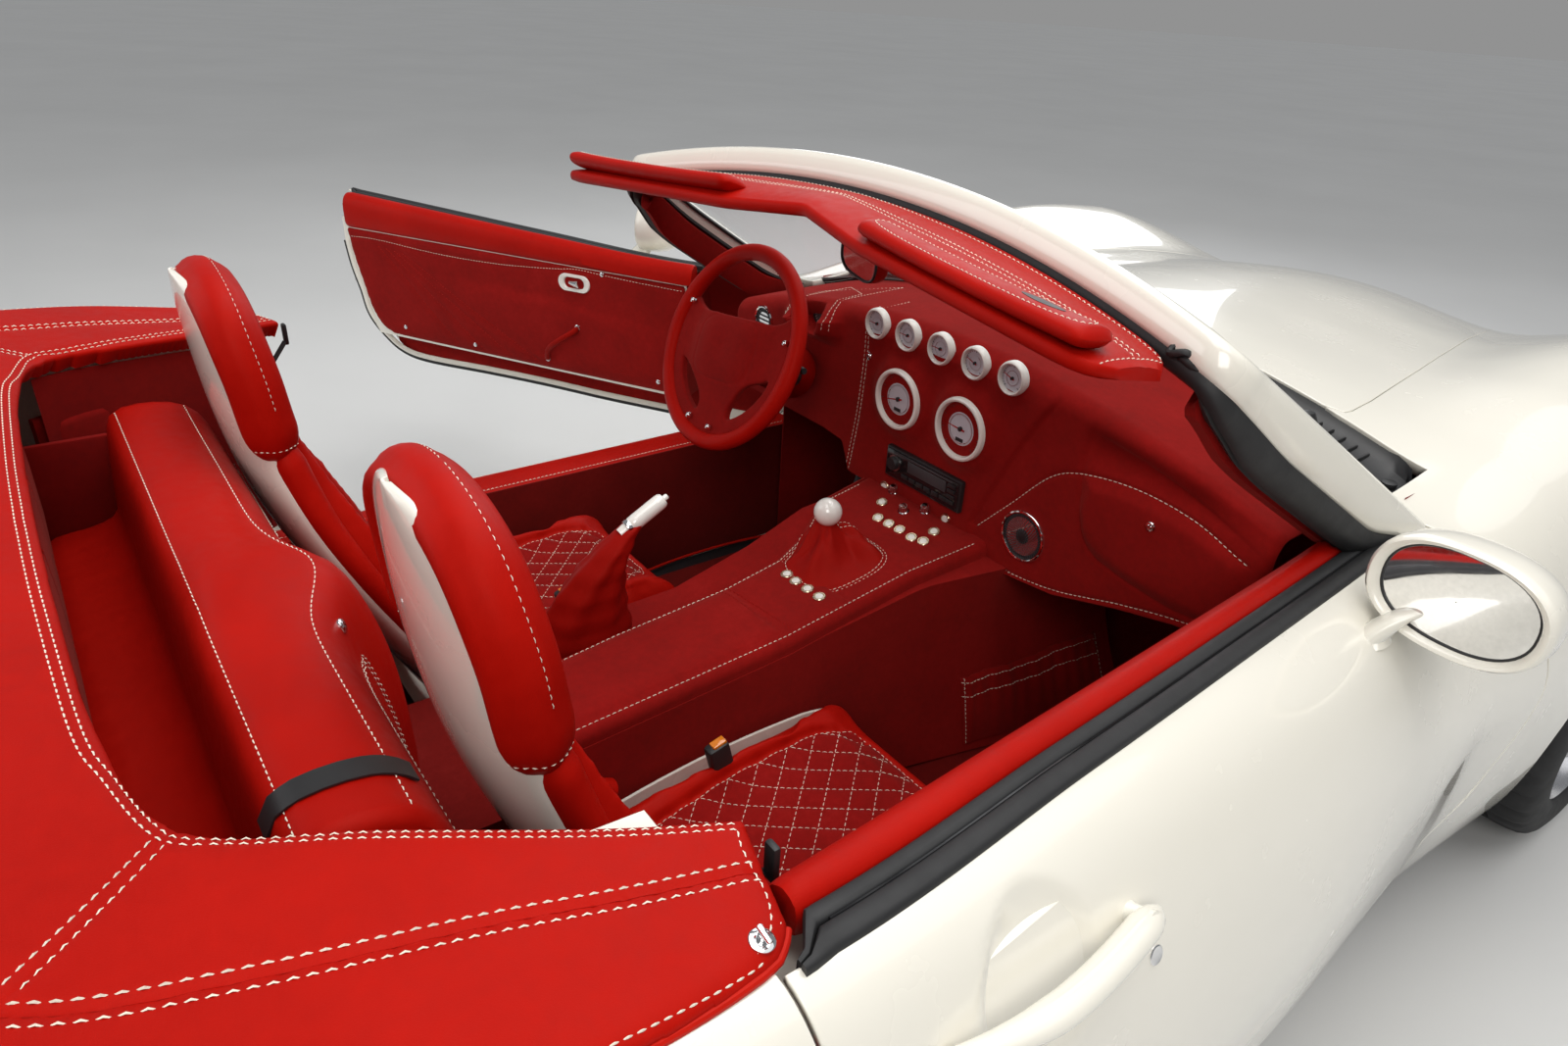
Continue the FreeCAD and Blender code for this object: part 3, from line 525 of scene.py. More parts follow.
def stitches(heap, path, mat=None, pitch=7.5, length=5.2, r=0.55, side=0.0, up=None):
    """A row of thread stitches along (point, normal) pairs, moved sideways by side."""
    mat = mat or THREAD
    pts = np.array([p for p, _ in path], float)
    nrm = np.array([n for _, n in path], float)
    both = np.concatenate([pts, nrm], 1)
    d = np.linalg.norm(np.diff(pts, axis=0), axis=1)
    s = np.concatenate([[0], np.cumsum(d)])
    if s[-1] < pitch:
        return
    n = max(1, int(s[-1] / pitch))
    for k in range(n):
        s0 = (k + 0.5) * s[-1] / n
        a = np.array([np.interp(s0 - length / 2, s, both[:, c]) for c in range(6)])
        b = np.array([np.interp(s0 + length / 2, s, both[:, c]) for c in range(6)])
        t = unit(b[:3] - a[:3])
        nn = unit(a[3:] + b[3:])
        w = unit(np.cross(nn, t))
        a0, b0 = a[:3] + w * side, b[:3] + w * side
        mid = (a0 + b0) / 2 + nn * r * 0.9
        v = []
        for c, q in ((a0 - nn * r * 0.6, 0.55), (mid, 1.0), (b0 - nn * r * 0.6, 0.55)):
            v += [c + w * r * q, c + nn * r * q, c - w * r * q]
        f = []
        for i in (0, 3):
            for j in range(3):
                f.append((i + j, i + (j + 1) % 3, i + 3 + (j + 1) % 3, i + 3 + j))
        f += [(2, 1, 0), (6, 7, 8)]
        heap.add(v, f, mat)


def seam(heap, path, mat, w=2.2, depth=0.8):
    """A slim pressed seam line: a thin strip that follows the surface; drawn in the darker leather, it is painted shade
    in the seam's crease.
    """
    pts = [p for p, _ in path]
    nrm = [n for _, n in path]
    rings = []
    for i, p in enumerate(pts):
        t = unit(pts[min(i + 1, len(pts) - 1)] - pts[max(i - 1, 0)])
        side = unit(np.cross(nrm[i], t))
        rings.append([p + side * w / 2 - nrm[i] * 0.9, p + nrm[i] * (0.25 - 0.0), p - side * w / 2 - nrm[i] * 0.9])
    heap.add(*rings_mesh(rings, False, False), mat)


def cover_cad(obj, *nodes):
    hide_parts(*nodes)
    return obj
# ------------------------------------------------------------------ the body's outer form
# f, l_sill, z_sill, l_wide, z_wide, l_crest, z_crest, l_valley, z_valley, z_mid
BODY = [
    (2078, 215, 288, 300, 420, 210, 505, 110, 515, 520),
    (2032, 440, 250, 520, 430, 400, 575, 200, 600, 608),
    (1950, 610, 222, 690, 440, 560, 672, 250, 684, 700),
    (1840, 715, 205, 785, 455, 632, 768, 292, 738, 764),
    (1700, 775, 195, 842, 470, 648, 838, 326, 784, 816),
    (1500, 812, 182, 886, 490, 648, 888, 370, 822, 856),
    (1253, 828, 172, 902, 505, 645, 906, 415, 846, 884),
    (1000, 818, 162, 893, 515, 652, 884, 455, 852, 900),
    (760, 800, 155, 876, 525, 672, 832, 488, 850, 908),
    (520, 788, 150, 864, 535, 697, 790, 500, 842, 905),
    (380, 790, 150, 874, 495, 708, 786, 500, 838, 902),
    (0, 798, 150, 906, 468, 746, 801, 500, 838, 890),
    (-300, 804, 152, 915, 464, 776, 815, 520, 840, 880),
    (-640, 813, 156, 915, 474, 806, 832, 560, 846, 866),
    (-900, 838, 164, 921, 510, 792, 868, 580, 868, 868),
    (-1253, 860, 182, 927, 560, 742, 916, 560, 906, 900),
    (-1500, 850, 205, 916, 550, 702, 902, 520, 896, 890),
    (-1750, 808, 232, 872, 540, 640, 852, 460, 850, 852),
    (-1950, 715, 262, 780, 530, 560, 768, 400, 776, 782),
    (-2080, 550, 305, 620, 520, 440, 664, 300, 680, 690),
    (-2146, 330, 380, 400, 500, 290, 575, 190, 585, 592),
]
F_FRONT, F_REAR = 1253.5, -1253.5
TRACK = 765.0
DOOR = [
    (455, 860), (505, 796), (560, 745), (640, 655), (686, 570), (691, 529), (672, 478), (644, 442),
    (604, 392), (552, 361), (480, 350), (-455, 350), (-535, 376), (-592, 436), (-622, 514), (-636, 604),
    (-640, 700), (-632, 778), (-648, 870),
]
COVER_OUT = [(-620, 782), (-650, 803), (-760, 812), (-860, 806), (-960, 776), (-1060, 716), (-1150, 620), (-1215, 470), (-1242, 240), (-1246, 0)]
COVER_IN = [(-972, 0), (-970, 166), (-962, 383), (-931, 522), (-817, 582), (-694, 643), (-592, 688)]
BOOT = [(-1262, -432), (-1262, 432), (-1750, 422), (-1900, 372), (-1992, 330), (-1992, -330), (-1900, -372), (-1750, -422)]
BONNET_F0, BONNET_F1, COWL_F0, COWL_F1 = 660.0, 1962.0, 548.0, 652.0


class Curve:
    """Monotone cubic through points; keeps every value between its neighbours'."""

    def __init__(self, x, y):
        self.x, self.y = np.array(x, float), np.array(y, float)
        h = np.diff(self.x)
        d = np.diff(self.y) / h
        m = np.zeros(len(self.x))
        for i in range(1, len(self.x) - 1):
            if d[i - 1] * d[i] > 0:
                w1, w2 = 2 * h[i] + h[i - 1], h[i] + 2 * h[i - 1]
                m[i] = (w1 + w2) / (w1 / d[i - 1] + w2 / d[i])
        m[0], m[-1] = d[0], d[-1]
        self.m, self.h = m, h

    def __call__(self, q):
        q = np.clip(np.asarray(q, float), self.x[0], self.x[-1])
        i = np.clip(np.searchsorted(self.x, q, side="right") - 1, 0, len(self.h) - 1)
        t = (q - self.x[i]) / self.h[i]
        h = self.h[i]
        return ((1 + 2 * t) * (1 - t) ** 2 * self.y[i] + t * (1 - t) ** 2 * h * self.m[i]
                + t * t * (3 - 2 * t) * self.y[i + 1] + t * t * (t - 1) * h * self.m[i + 1])


_rows = np.array(BODY, float)[::-1]
C_LS, C_ZS, C_LW, C_ZW, C_LC, C_ZC, C_LV, C_ZV, C_ZM = [Curve(_rows[:, 0], _rows[:, k]) for k in range(1, 10)]


def section(f, s):
    """Left half of the body at station f: s is 0 at the sill edge, 1 widest, 2 crest, 3 valley, 4 middle. Gives l, z."""
    f, s = np.broadcast_arrays(np.asarray(f, float), np.asarray(s, float))
    ls, zs, lw, zw, lc, zc, lv, zv, zm = [c(f) for c in (C_LS, C_ZS, C_LW, C_ZW, C_LC, C_ZC, C_LV, C_ZV, C_ZM)]
    a = np.clip(s, 0, 1) * math.pi / 2
    l0, z0 = ls + (lw - ls) * np.sin(a), zw - (zw - zs) * np.cos(a)
    a = np.clip(s - 1, 0, 1) * math.pi / 2
    l1, z1 = lc + (lw - lc) * np.cos(a), zw + (zc - zw) * np.sin(a)
    t = np.clip(s - 2, 0, 1)
    side = (zv - zc) / (lv - lc)
    mid = -2 * (zm - zv) / np.maximum(lv, 1)
    mv = 0.5 * (side + mid)
    h10, h01, h11 = t * (1 - t) ** 2, t * t * (3 - 2 * t), t * t * (t - 1)
    l2 = lc + (lv - lc) * t
    z2 = zc + (zv - zc) * h01 + h11 * mv * (lv - lc)
    u = np.clip(4 - s, 0, 1)
    b = (mv * lv - 2 * (zv - zm)) / 2
    z3 = zm + (zv - zm - b) * u * u + b * u ** 4
    l3 = lv * u
    l = np.where(s <= 1, l0, np.where(s <= 2, l1, np.where(s <= 3, l2, l3)))
    z = np.where(s <= 1, z0, np.where(s <= 2, z1, np.where(s <= 3, z2, z3)))
    return l, z


def side_l(f, z):
    """How far out the left flank is at (f, z), between sill and crest."""
    f, z = np.broadcast_arrays(np.asarray(f, float), np.asarray(z, float))
    ls, zs, lw, zw, lc, zc = [c(f) for c in (C_LS, C_ZS, C_LW, C_ZW, C_LC, C_ZC)]
    low = ls + (lw - ls) * np.sqrt(np.clip(1 - ((zw - z) / (zw - zs)) ** 2, 0, 1))
    high = lc + (lw - lc) * np.sqrt(np.clip(1 - ((z - zw) / (zc - zw)) ** 2, 0, 1))
    return np.where(z < zw, low, high)


def top_z(f, l):
    """Height of the body at (f, l), inside the crest."""
    s = np.linspace(2, 4, 80)
    ll, zz = section(np.full_like(s, f), s)
    return float(np.interp(abs(l), ll[::-1], zz[::-1]))


class Sheet:
    def __init__(self, v, n, faces):
        self.v, self.n, self.faces = np.array(v, float), np.array(n, float), faces

    def copy(self):
        return Sheet(self.v.copy(), self.n.copy(), list(self.faces))


def grid_sheet(p, flip=False):
    """A sheet from a grid of points (rows, columns, 3), with smooth normals."""
    du = np.gradient(p, axis=0)
    dv = np.gradient(p, axis=1)
    n = np.cross(du, dv)
    if flip:
        n = -n
    n /= np.maximum(np.linalg.norm(n, axis=2, keepdims=True), 1e-12)
    r, c = p.shape[:2]
    faces = []
    for i in range(r - 1):
        for j in range(c - 1):
            a, b, d, e = i * c + j, i * c + j + 1, (i + 1) * c + j + 1, (i + 1) * c + j
            faces.append((a, b, d, e) if flip else (a, e, d, b))
    return Sheet(p.reshape(-1, 3), n.reshape(-1, 3), faces)


def clip(sheet, phi):
    """Keeps the part where phi(points) is below zero."""
    v, n = sheet.v, sheet.n
    d = phi(v)
    d = np.where(np.abs(d) < 1e-9, 1e-9, d)
    cross = {}
    kept, cut = [], []
    neg = d < 0
    for f in sheet.faces:
        k = sum(1 for i in f if neg[i])
        if k == len(f):
            kept.append(f)
        elif k:
            cut.append(f)
            for a, b in zip(f, f[1:] + f[:1]):
                if neg[a] != neg[b]:
                    cross.setdefault((min(a, b), max(a, b)), None)
    edges = list(cross)
    if edges:
        a = np.array([e[0] for e in edges])
        b = np.array([e[1] for e in edges])
        lo = np.where(neg[a][:, None], v[a], v[b])
        hi = np.where(neg[a][:, None], v[b], v[a])
        start, span = lo.copy(), hi - lo
        t0, t1 = np.zeros(len(edges)), np.ones(len(edges))
        for _ in range(14):
            tm = (t0 + t1) / 2
            inside = phi(start + span * tm[:, None]) < 0
            t0, t1 = np.where(inside, tm, t0), np.where(inside, t1, tm)
        t = np.clip((t0 + t1) / 2, 0.0, 1.0)[:, None]
        na = np.where(neg[a][:, None], n[a], n[b])
        nb = np.where(neg[a][:, None], n[b], n[a])
        pv = start + span * t
        pn = na + (nb - na) * t
        pn /= np.maximum(np.linalg.norm(pn, axis=1, keepdims=True), 1e-12)
        for k, e in enumerate(edges):
            cross[e] = len(v) + k
        v = np.concatenate([v, pv])
        n = np.concatenate([n, pn])
    for f in cut:
        poly = []
        for i, j in zip(f, f[1:] + f[:1]):
            if neg[i]:
                poly.append(i)
            if neg[i] != neg[j]:
                poly.append(cross[(min(i, j), max(i, j))])
        if len(poly) > 2:
            kept.append(tuple(poly))
    used = sorted({i for f in kept for i in f})
    new = {o: k for k, o in enumerate(used)}
    return Sheet(v[used], n[used], [tuple(new[i] for i in f) for f in kept])


def merged(*sheets):
    v, n, f = [], [], []
    k = 0
    for s in sheets:
        v.append(s.v)
        n.append(s.n)
        f += [tuple(i + k for i in face) for face in s.faces]
        k += len(s.v)
    return Sheet(np.concatenate(v), np.concatenate(n), f)


def mirror_sheet(s):
    m = np.array([1, -1, 1.0])
    return Sheet(s.v * m, s.n * m, [tuple(reversed(f)) for f in s.faces])


def borders(sheet):
    """Directed edges that only one face uses."""
    seen = {}
    for f in sheet.faces:
        for a, b in zip(f, f[1:] + f[:1]):
            seen[(a, b)] = True
    return [(a, b) for (a, b) in seen if (b, a) not in seen]


def slab(sheet, depth=16.0, r=1.8, rows=3, inner=True):
    """Closes a trimmed sheet into a panel with a rolled edge, depth thick. Gives points, normals and faces."""
    v, n = sheet.v, sheet.n
    out = borders(sheet)
    nxt, prv = {}, {}
    for a, b in out:
        nxt.setdefault(a, []).append(b)
        prv.setdefault(b, []).append(a)
    edge = sorted(nxt)
    side = {}
    for i in edge:
        if i not in prv:
            continue
        t = unit(v[nxt[i][0]] - v[i]) + unit(v[i] - v[prv[i][0]])
        b = np.cross(t, n[i])
        if np.linalg.norm(b) < 1e-6:
            b = np.cross(unit(v[nxt[i][0]] - v[i]), n[i])
        side[i] = unit(b)
    count = len(v)
    V, N = [v], [n]
    ring = {}
    for row in range(1, rows + 1):
        a = math.pi / 2 * row / rows
        pv, pn = [], []
        for i in edge:
            b = side.get(i, vec((0, 0, 0)))
            pv.append(v[i] + b * r * math.sin(a) - n[i] * r * (1 - math.cos(a)))
            pn.append(unit(n[i] * math.cos(a) + b * math.sin(a)) if i in side else n[i])
        ring[row] = {i: count + k for k, i in enumerate(edge)}
        count += len(edge)
        V.append(np.array(pv))
        N.append(np.array(pn))
    ring[0] = {i: i for i in edge}
    faces = list(sheet.faces)
    inner_v = v - n * depth
    inner_n = -n.copy()
    for i in edge:
        b = side.get(i, vec((0, 0, 0)))
        inner_v[i] = v[i] + b * r - n[i] * depth
        inner_n[i] = unit(b - n[i])
    base = count
    V.append(inner_v if inner else inner_v[edge])
    N.append(inner_n if inner else inner_n[edge])
    ring[rows + 1] = {i: base + (i if inner else k) for k, i in enumerate(edge)}
    for row in range(rows + 1):
        for a, b in out:
            if a in side and b in side:
                faces.append((ring[row][b], ring[row][a], ring[row + 1][a], ring[row + 1][b]))
    if inner:
        faces += [tuple(base + i for i in reversed(f)) for f in sheet.faces]
    return np.concatenate(V), np.concatenate(N), faces


def panel(name, sheets, mat, body, depth=16.0, r=1.8, inner=True, move=None):
    """A body panel object from trimmed sheets."""
    V, N, F = [], [], []
    k = 0
    for s in sheets:
        v, n, f = slab(s, depth, r, 3, inner)
        V.append(v)
        N.append(n)
        F += [tuple(i + k for i in face) for face in f]
        k += len(v)
    v, n = np.concatenate(V), np.concatenate(N)
    if move:
        v = np.array([move(p) for p in v])
        o = vec(move((0, 0, 0)))
        n = np.array([vec(move(p)) - o for p in n])
    me = bpy.data.meshes.new(name)
    me.from_pydata([P(*p) for p in v], [], F)
    me.materials.append(mat)
    me.shade_smooth()
    me.normals_split_custom_set_from_vertices([Vector((a[1], -a[0], a[2])).normalized() for a in n])
    me.validate(clean_customdata=False)
    obj = link(bpy.data.objects.new(name, me))
    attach(obj, body)
    return obj


def poly_sdf(poly):
    """Signed distance to a polygon in the plane, negative inside."""
    a = np.array(poly, float)
    b = np.roll(a, -1, axis=0)

    def f(p):
        p = np.asarray(p, float)
        best = np.full(len(p), 1e18)
        inside = np.zeros(len(p), bool)
        for p0, p1 in zip(a, b):
            e = p1 - p0
            w = p - p0
            t = np.clip((w @ e) / max(e @ e, 1e-12), 0, 1)
            dd = ((w - t[:, None] * e) ** 2).sum(1)
            best = np.minimum(best, dd)
            c = (p0[1] > p[:, 1]) != (p1[1] > p[:, 1])
            with np.errstate(divide="ignore", invalid="ignore"):
                x = (p1[0] - p0[0]) * (p[:, 1] - p0[1]) / (p1[1] - p0[1]) + p0[0]
            inside ^= c & (p[:, 0] < x)
        d = np.sqrt(best)
        return np.where(inside, -d, d)
    return f


def grown(points, d):
    area = sum(a[0] * b[1] - b[0] * a[1] for a, b in zip(points, points[1:] + points[:1]))
    side = 1.0 if area > 0 else -1.0
    out = []
    for i, p in enumerate(points):
        a, b = points[i - 1], points[(i + 1) % len(points)]
        u, w = (p[0] - a[0], p[1] - a[1]), (b[0] - p[0], b[1] - p[1])
        nu, nw = math.hypot(*u), math.hypot(*w)
        m = ((u[1] / nu + w[1] / nw) * side, (-u[0] / nu - w[0] / nw) * side)
        k = d * 2 / max(m[0] ** 2 + m[1] ** 2, 0.8)
        out.append((p[0] + m[0] * k, p[1] + m[1] * k))
    return out


def rounded_sdf(poly, r):
    """Distance to a polygon whose corners are rounded by r."""
    inner = poly_sdf(grown(list(poly), -r))
    return lambda p: inner(p) - r


def smooth_poly(points, n, closed=True):
    return [(p[0], p[1]) for p in smooth_path([(a, b, 0) for a, b in points], n, closed)]


# ---- outlines, as signed distances over (f, z) or (f, l)
_front_edge = smooth_poly([(440, 900), (455, 860), (505, 796), (560, 745), (640, 655), (684, 575), (691, 529), (676, 485), (644, 442), (604, 392), (552, 361), (480, 350), (400, 349.5)], 70, False)
_rear_edge = smooth_poly([(-380, 349.5), (-455, 350), (-535, 376), (-592, 436), (-622, 514), (-636, 604), (-640, 700), (-636, 778), (-646, 870), (-652, 900)], 60, False)
door_sdf = poly_sdf(_front_edge + _rear_edge)
bonnet_side = [(f, float(C_LV(f))) for f in (BONNET_F0, 760, 1000, 1253, 1500, 1700, 1860, BONNET_F1)]
bonnet_poly = [(f, -l) for f, l in bonnet_side] + [(f, l) for f, l in reversed(bonnet_side)]
bonnet_sdf = rounded_sdf(bonnet_poly, 26.0)
boot_sdf = rounded_sdf(BOOT, 30.0)
_out = smooth_poly(COVER_OUT + [(f, -l) for f, l in reversed(COVER_OUT[:-1])], 160, False)
_in = smooth_poly(COVER_IN[::-1] + [(f, -l) for f, l in COVER_IN[1:]], 120, False)
collar_poly = _out + _in[::-1]
collar_sdf = poly_sdf(collar_poly)


def fz(p):
    return p[:, [0, 2]]


def fl(p):
    return p[:, [0, 1]]


def lz(p):
    return p[:, [1, 2]]


def arch(f_w, z_w, r):
    """Distance to a wheel opening: a round arch with straight sides below the axle, negative inside."""
    def f(p):
        q = p[:, [0, 2]] - (f_w, z_w)
        round_part = np.hypot(q[:, 0], np.maximum(q[:, 1], 0)) - r
        return round_part
    return f


# ---- the whole outer form as one grid
_fs = np.concatenate([np.linspace(-2146, -2080, 12)[:-1], np.linspace(-2080, -1950, 14)[:-1], np.linspace(-1950, 1950, 230)[:-1], np.linspace(1950, 2032, 9)[:-1], np.linspace(2032, 2078, 8)])
_ss = np.concatenate([np.linspace(0, 1, 15)[:-1], np.linspace(1, 2, 19)[:-1], np.linspace(2, 3, 11)[:-1], np.linspace(3, 4, 17)])
_f, _s = np.meshgrid(_fs, _ss, indexing="ij")
_l, _z = section(_f, _s)
left = np.stack([_f, _l, _z], 2)
right = left[:, :-1][:, ::-1] * (1, -1, 1)
whole = np.concatenate([left, right], axis=1)
nose_mid, tail_mid = vec((2078, 0, 410)), vec((-2146, 0, 480))
front_cap = np.stack([nose_mid + (whole[-1] - nose_mid) * q for q in (0.8, 0.55, 0.3, 0.04)])
tail_cap = np.stack([tail_mid + (whole[0] - tail_mid) * q + vec((-5 * (1 - q * q), 0, 0)) for q in (0.04, 0.3, 0.55, 0.8, 0.93)])
full_grid = np.concatenate([tail_cap, whole, front_cap])
BODY_SHEET = grid_sheet(full_grid, flip=True)


def cut_sheet(*phis):
    s = BODY_SHEET
    for phi in phis:
        s = clip(s, phi)
    return s


def left_only(p):
    return -p[:, 1]


def pair_sheets(s):
    return [s, mirror_sheet(s)]


GAP = 6.5
HEAD_Z, HEAD_L, HEAD_R = 640.0, 655.0, 106.0
FOG_Z, FOG_L, FOG_R = 400.0, 500.0, 50.0


def circle(l, z, r, f0):
    """A round lamp hole seen from the front (or the back), for stations ahead of f0."""
    def phi(p):
        d = r - np.hypot(np.abs(p[:, 1]) - l, p[:, 2] - z)
        beyond = (f0 - p[:, 0]) if f0 > 0 else (p[:, 0] - f0)
        return np.where(beyond > 0, -50.0, d)
    return phi


def oval(w, h, zc, f0):
    def phi(p):
        k = np.sqrt((p[:, 1] / w) ** 2 + ((p[:, 2] - zc) / h) ** 2)
        return np.where(p[:, 0] < f0, -50.0, (1 - k) * min(w, h))
    return phi


wing = cut_sheet(
    left_only,
    lambda p: p[:, 0] - 1698.5,
    lambda p: 330 - p[:, 0],
    lambda p: np.where(p[:, 0] > 656, -10.0, 638 - p[:, 1]),
    lambda p: np.where(p[:, 2] > 560, 470 - p[:, 0], -10.0),
    # the door's lower front corner swings inwards here, so the gap is wider round it
    lambda p: GAP + 10.0 * np.exp(-(((p[:, 0] - 604) / 28.0) ** 2 + ((p[:, 2] - 384) / 26.0) ** 2)) - door_sdf(fz(p)),
    lambda p: np.where(p[:, 0] < 506, 372 - p[:, 2], -10.0),
    lambda p: 4.5 - bonnet_sdf(fl(p)),
    lambda p: -arch(F_FRONT, 330.0, 376.0)(p),
)
front_wings = panel("front_wing_skins", pair_sheets(wing), PAINT, "body", 18, 1.8)
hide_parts("front_wings")

nose = cut_sheet(
    lambda p: 1701.5 - p[:, 0],
    lambda p: 4.5 - bonnet_sdf(fl(p)),
    circle(HEAD_L, HEAD_Z, HEAD_R, 1700.0),
    circle(FOG_L, FOG_Z, FOG_R, 1850.0),
    oval(336.0, 113.0, 462.0, 1900.0),
)
nose_obj = panel("nose_skin", [nose], PAINT, "body", 18, 4.0)
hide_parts("nose_panel")

bonnet = cut_sheet(lambda p: 600 - p[:, 0], lambda p: 500 - p[:, 2], lambda p: bonnet_sdf(fl(p)) + 0.3)
bonnet_obj = panel("bonnet_skin", [bonnet], PAINT, "bonnet", 16, 2.0)
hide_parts("bonnet")

rear = cut_sheet(
    left_only,
    lambda p: p[:, 0] + 516,
    lambda p: -1698.5 - p[:, 0],
    lambda p: GAP - door_sdf(fz(p)),
    lambda p: np.where(p[:, 2] > 640, p[:, 0] + 636, -10.0),
    lambda p: np.where((p[:, 0] > -1256), 640 - p[:, 1] + 0 * p[:, 0], -10.0),
    lambda p: 2.5 - collar_sdf(fl(p)) + np.where(p[:, 2] < 700, -1000.0, 0.0),
    lambda p: 4.5 - boot_sdf(fl(p)) + np.where(p[:, 2] < 560, -1000.0, 0.0),
    lambda p: -arch(F_REAR, 340.0, 386.0)(p),
)
rear_obj = panel("rear_wing_skins", pair_sheets(rear), PAINT, "body", 18, 1.8)
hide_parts("rear_wings")

TAIL_L, TAIL_Z, TAIL_R = 612.0, 640.0, 64.0
REV_L, REV_Z, REV_R = 470.0, 636.0, 50.0
tail = cut_sheet(
    lambda p: p[:, 0] + 1701.5,
    lambda p: 4.5 - boot_sdf(fl(p)) + np.where(p[:, 2] < 560, -1000.0, 0.0),
    circle(TAIL_L, TAIL_Z, TAIL_R, -1850.0),
    circle(REV_L, REV_Z, REV_R, -1850.0),
    lambda p: np.where(np.abs(p[:, 1]) < 262, 320 - p[:, 2], -10.0),
)
tail_obj = panel("tail_skin", [tail], PAINT, "body", 18, 2.0)
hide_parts("tail_panel")

boot = cut_sheet(lambda p: p[:, 0] + 1200, lambda p: 560 - p[:, 2], lambda p: boot_sdf(fl(p)) + 0.3)
boot_obj = panel("boot_lid_skin", [boot], PAINT, "boot_lid", 16, 2.0)
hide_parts("boot_lid")

sill = cut_sheet(left_only, lambda p: p[:, 0] - 502, lambda p: -512 - p[:, 0], lambda p: p[:, 2] - 368, lambda p: GAP - door_sdf(fz(p)))
sill_obj = panel("sill_skins", pair_sheets(sill), PAINT, "body", 10, 1.8, inner=True)
# ------------------------------------------------------------------ padding
def inflate(name, verts, faces, voxel=8.0, pressure=4.0, cap=12.0, pinned=None, stiff=12.0, subdiv=1):
    """A closed form swollen as stuffed leather: remeshed, blown up by the cloth solver, capped, then subdivided. Gives working points and faces."""
    me = bpy.data.meshes.new(name + "_sim")
    me.from_pydata([P(*v) for v in verts], [], faces)
    bm = bmesh.new()
    bm.from_mesh(me)
    bmesh.ops.remove_doubles(bm, verts=bm.verts, dist=1e-6)
    bmesh.ops.recalc_face_normals(bm, faces=bm.faces)
    bm.to_mesh(me)
    bm.free()
    obj = link(bpy.data.objects.new(name + "_sim", me))
    rm = obj.modifiers.new("r", "REMESH")
    rm.mode = "VOXEL"
    rm.voxel_size = voxel / 1000.0
    rm.adaptivity = 0.0
    dg = bpy.context.evaluated_depsgraph_get()
    me2 = bpy.data.meshes.new_from_object(obj.evaluated_get(dg))
    obj.modifiers.clear()
    obj.data = me2
    bm = bmesh.new()
    bm.from_mesh(me2)
    for _ in range(3):
        bmesh.ops.smooth_vert(bm, verts=bm.verts, factor=0.5, use_axis_x=True, use_axis_y=True, use_axis_z=True)
    bm.to_mesh(me2)
    bm.free()
    rest = np.zeros(len(me2.vertices) * 3)
    me2.vertices.foreach_get("co", rest)
    rest = rest.reshape(-1, 3)
    vg = obj.vertex_groups.new(name="pin")
    for i, co in enumerate(rest):
        w = pinned(*U(co)) if pinned else 0.0
        if w > 0:
            vg.add([i], w, "REPLACE")
    cl = obj.modifiers.new("c", "CLOTH")
    st = cl.settings
    st.quality = 5
    st.mass = 0.35
    st.tension_stiffness = stiff
    st.compression_stiffness = stiff
    st.shear_stiffness = stiff * 0.6
    st.bending_stiffness = 1.2
    st.use_pressure = True
    st.uniform_pressure_force = pressure
    st.effector_weights.gravity = 0.0
    if pinned:
        st.vertex_group_mass = "pin"
    cl.collision_settings.use_collision = False
    cl.point_cache.frame_start, cl.point_cache.frame_end = 1, 20
    for fr in range(1, 21):
        scene_ = bpy.context.scene
        scene_.frame_set(fr)
    dg = bpy.context.evaluated_depsgraph_get()
    me3 = bpy.data.meshes.new_from_object(obj.evaluated_get(dg))
    now = np.zeros(len(me3.vertices) * 3)
    me3.vertices.foreach_get("co", now)
    now = now.reshape(-1, 3)
    move = now - rest
    length = np.linalg.norm(move, axis=1)
    k = np.where(length > cap / 1000.0, cap / 1000.0 / np.maximum(length, 1e-9), 1.0)
    now = rest + move * k[:, None]
    obj.modifiers.clear()
    me2.vertices.foreach_set("co", now.reshape(-1))
    me2.update()
    bpy.context.scene.frame_set(1)
    if subdiv:
        sub = obj.modifiers.new("s", "SUBSURF")
        sub.levels = sub.render_levels = subdiv
        dg = bpy.context.evaluated_depsgraph_get()
        me4 = bpy.data.meshes.new_from_object(obj.evaluated_get(dg))
    else:
        me4 = me2
    v = np.zeros(len(me4.vertices) * 3)
    me4.vertices.foreach_get("co", v)
    v = v.reshape(-1, 3)
    pts = np.stack([-v[:, 1] * 1000, v[:, 0] * 1000, v[:, 2] * 1000], 1)
    f = [tuple(p.vertices) for p in me4.polygons]
    bpy.data.objects.remove(obj)
    return pts, f


def vertex_normals(pts, faces):
    n = np.zeros_like(pts)
    quad = np.array([f for f in faces if len(f) == 4])
    tri = np.array([f for f in faces if len(f) == 3])
    for arr in (quad, tri):
        if len(arr):
            a, b, c = pts[arr[:, 0]], pts[arr[:, 1]], pts[arr[:, -1]]
            m = pts[arr[:, 2]] - a
            fn = np.cross(b - a, m) + np.cross(m, c - a) if arr.shape[1] == 4 else np.cross(b - a, c - a)
            for k in range(arr.shape[1]):
                np.add.at(n, arr[:, k], fn)
    return n / np.maximum(np.linalg.norm(n, axis=1, keepdims=True), 1e-12)


def tree_of(pts, faces):
    return BVHTree.FromPolygons([P(*p) for p in pts], [list(f) for f in faces])


def seg_dist(p, a, b):
    """Distance from points p (n,2) to the segment a b."""
    a, b = np.array(a, float), np.array(b, float)
    e = b - a
    t = np.clip(((p - a) @ e) / max(e @ e, 1e-9), 0, 1)
    return np.linalg.norm(p - a - t[:, None] * e, axis=1)


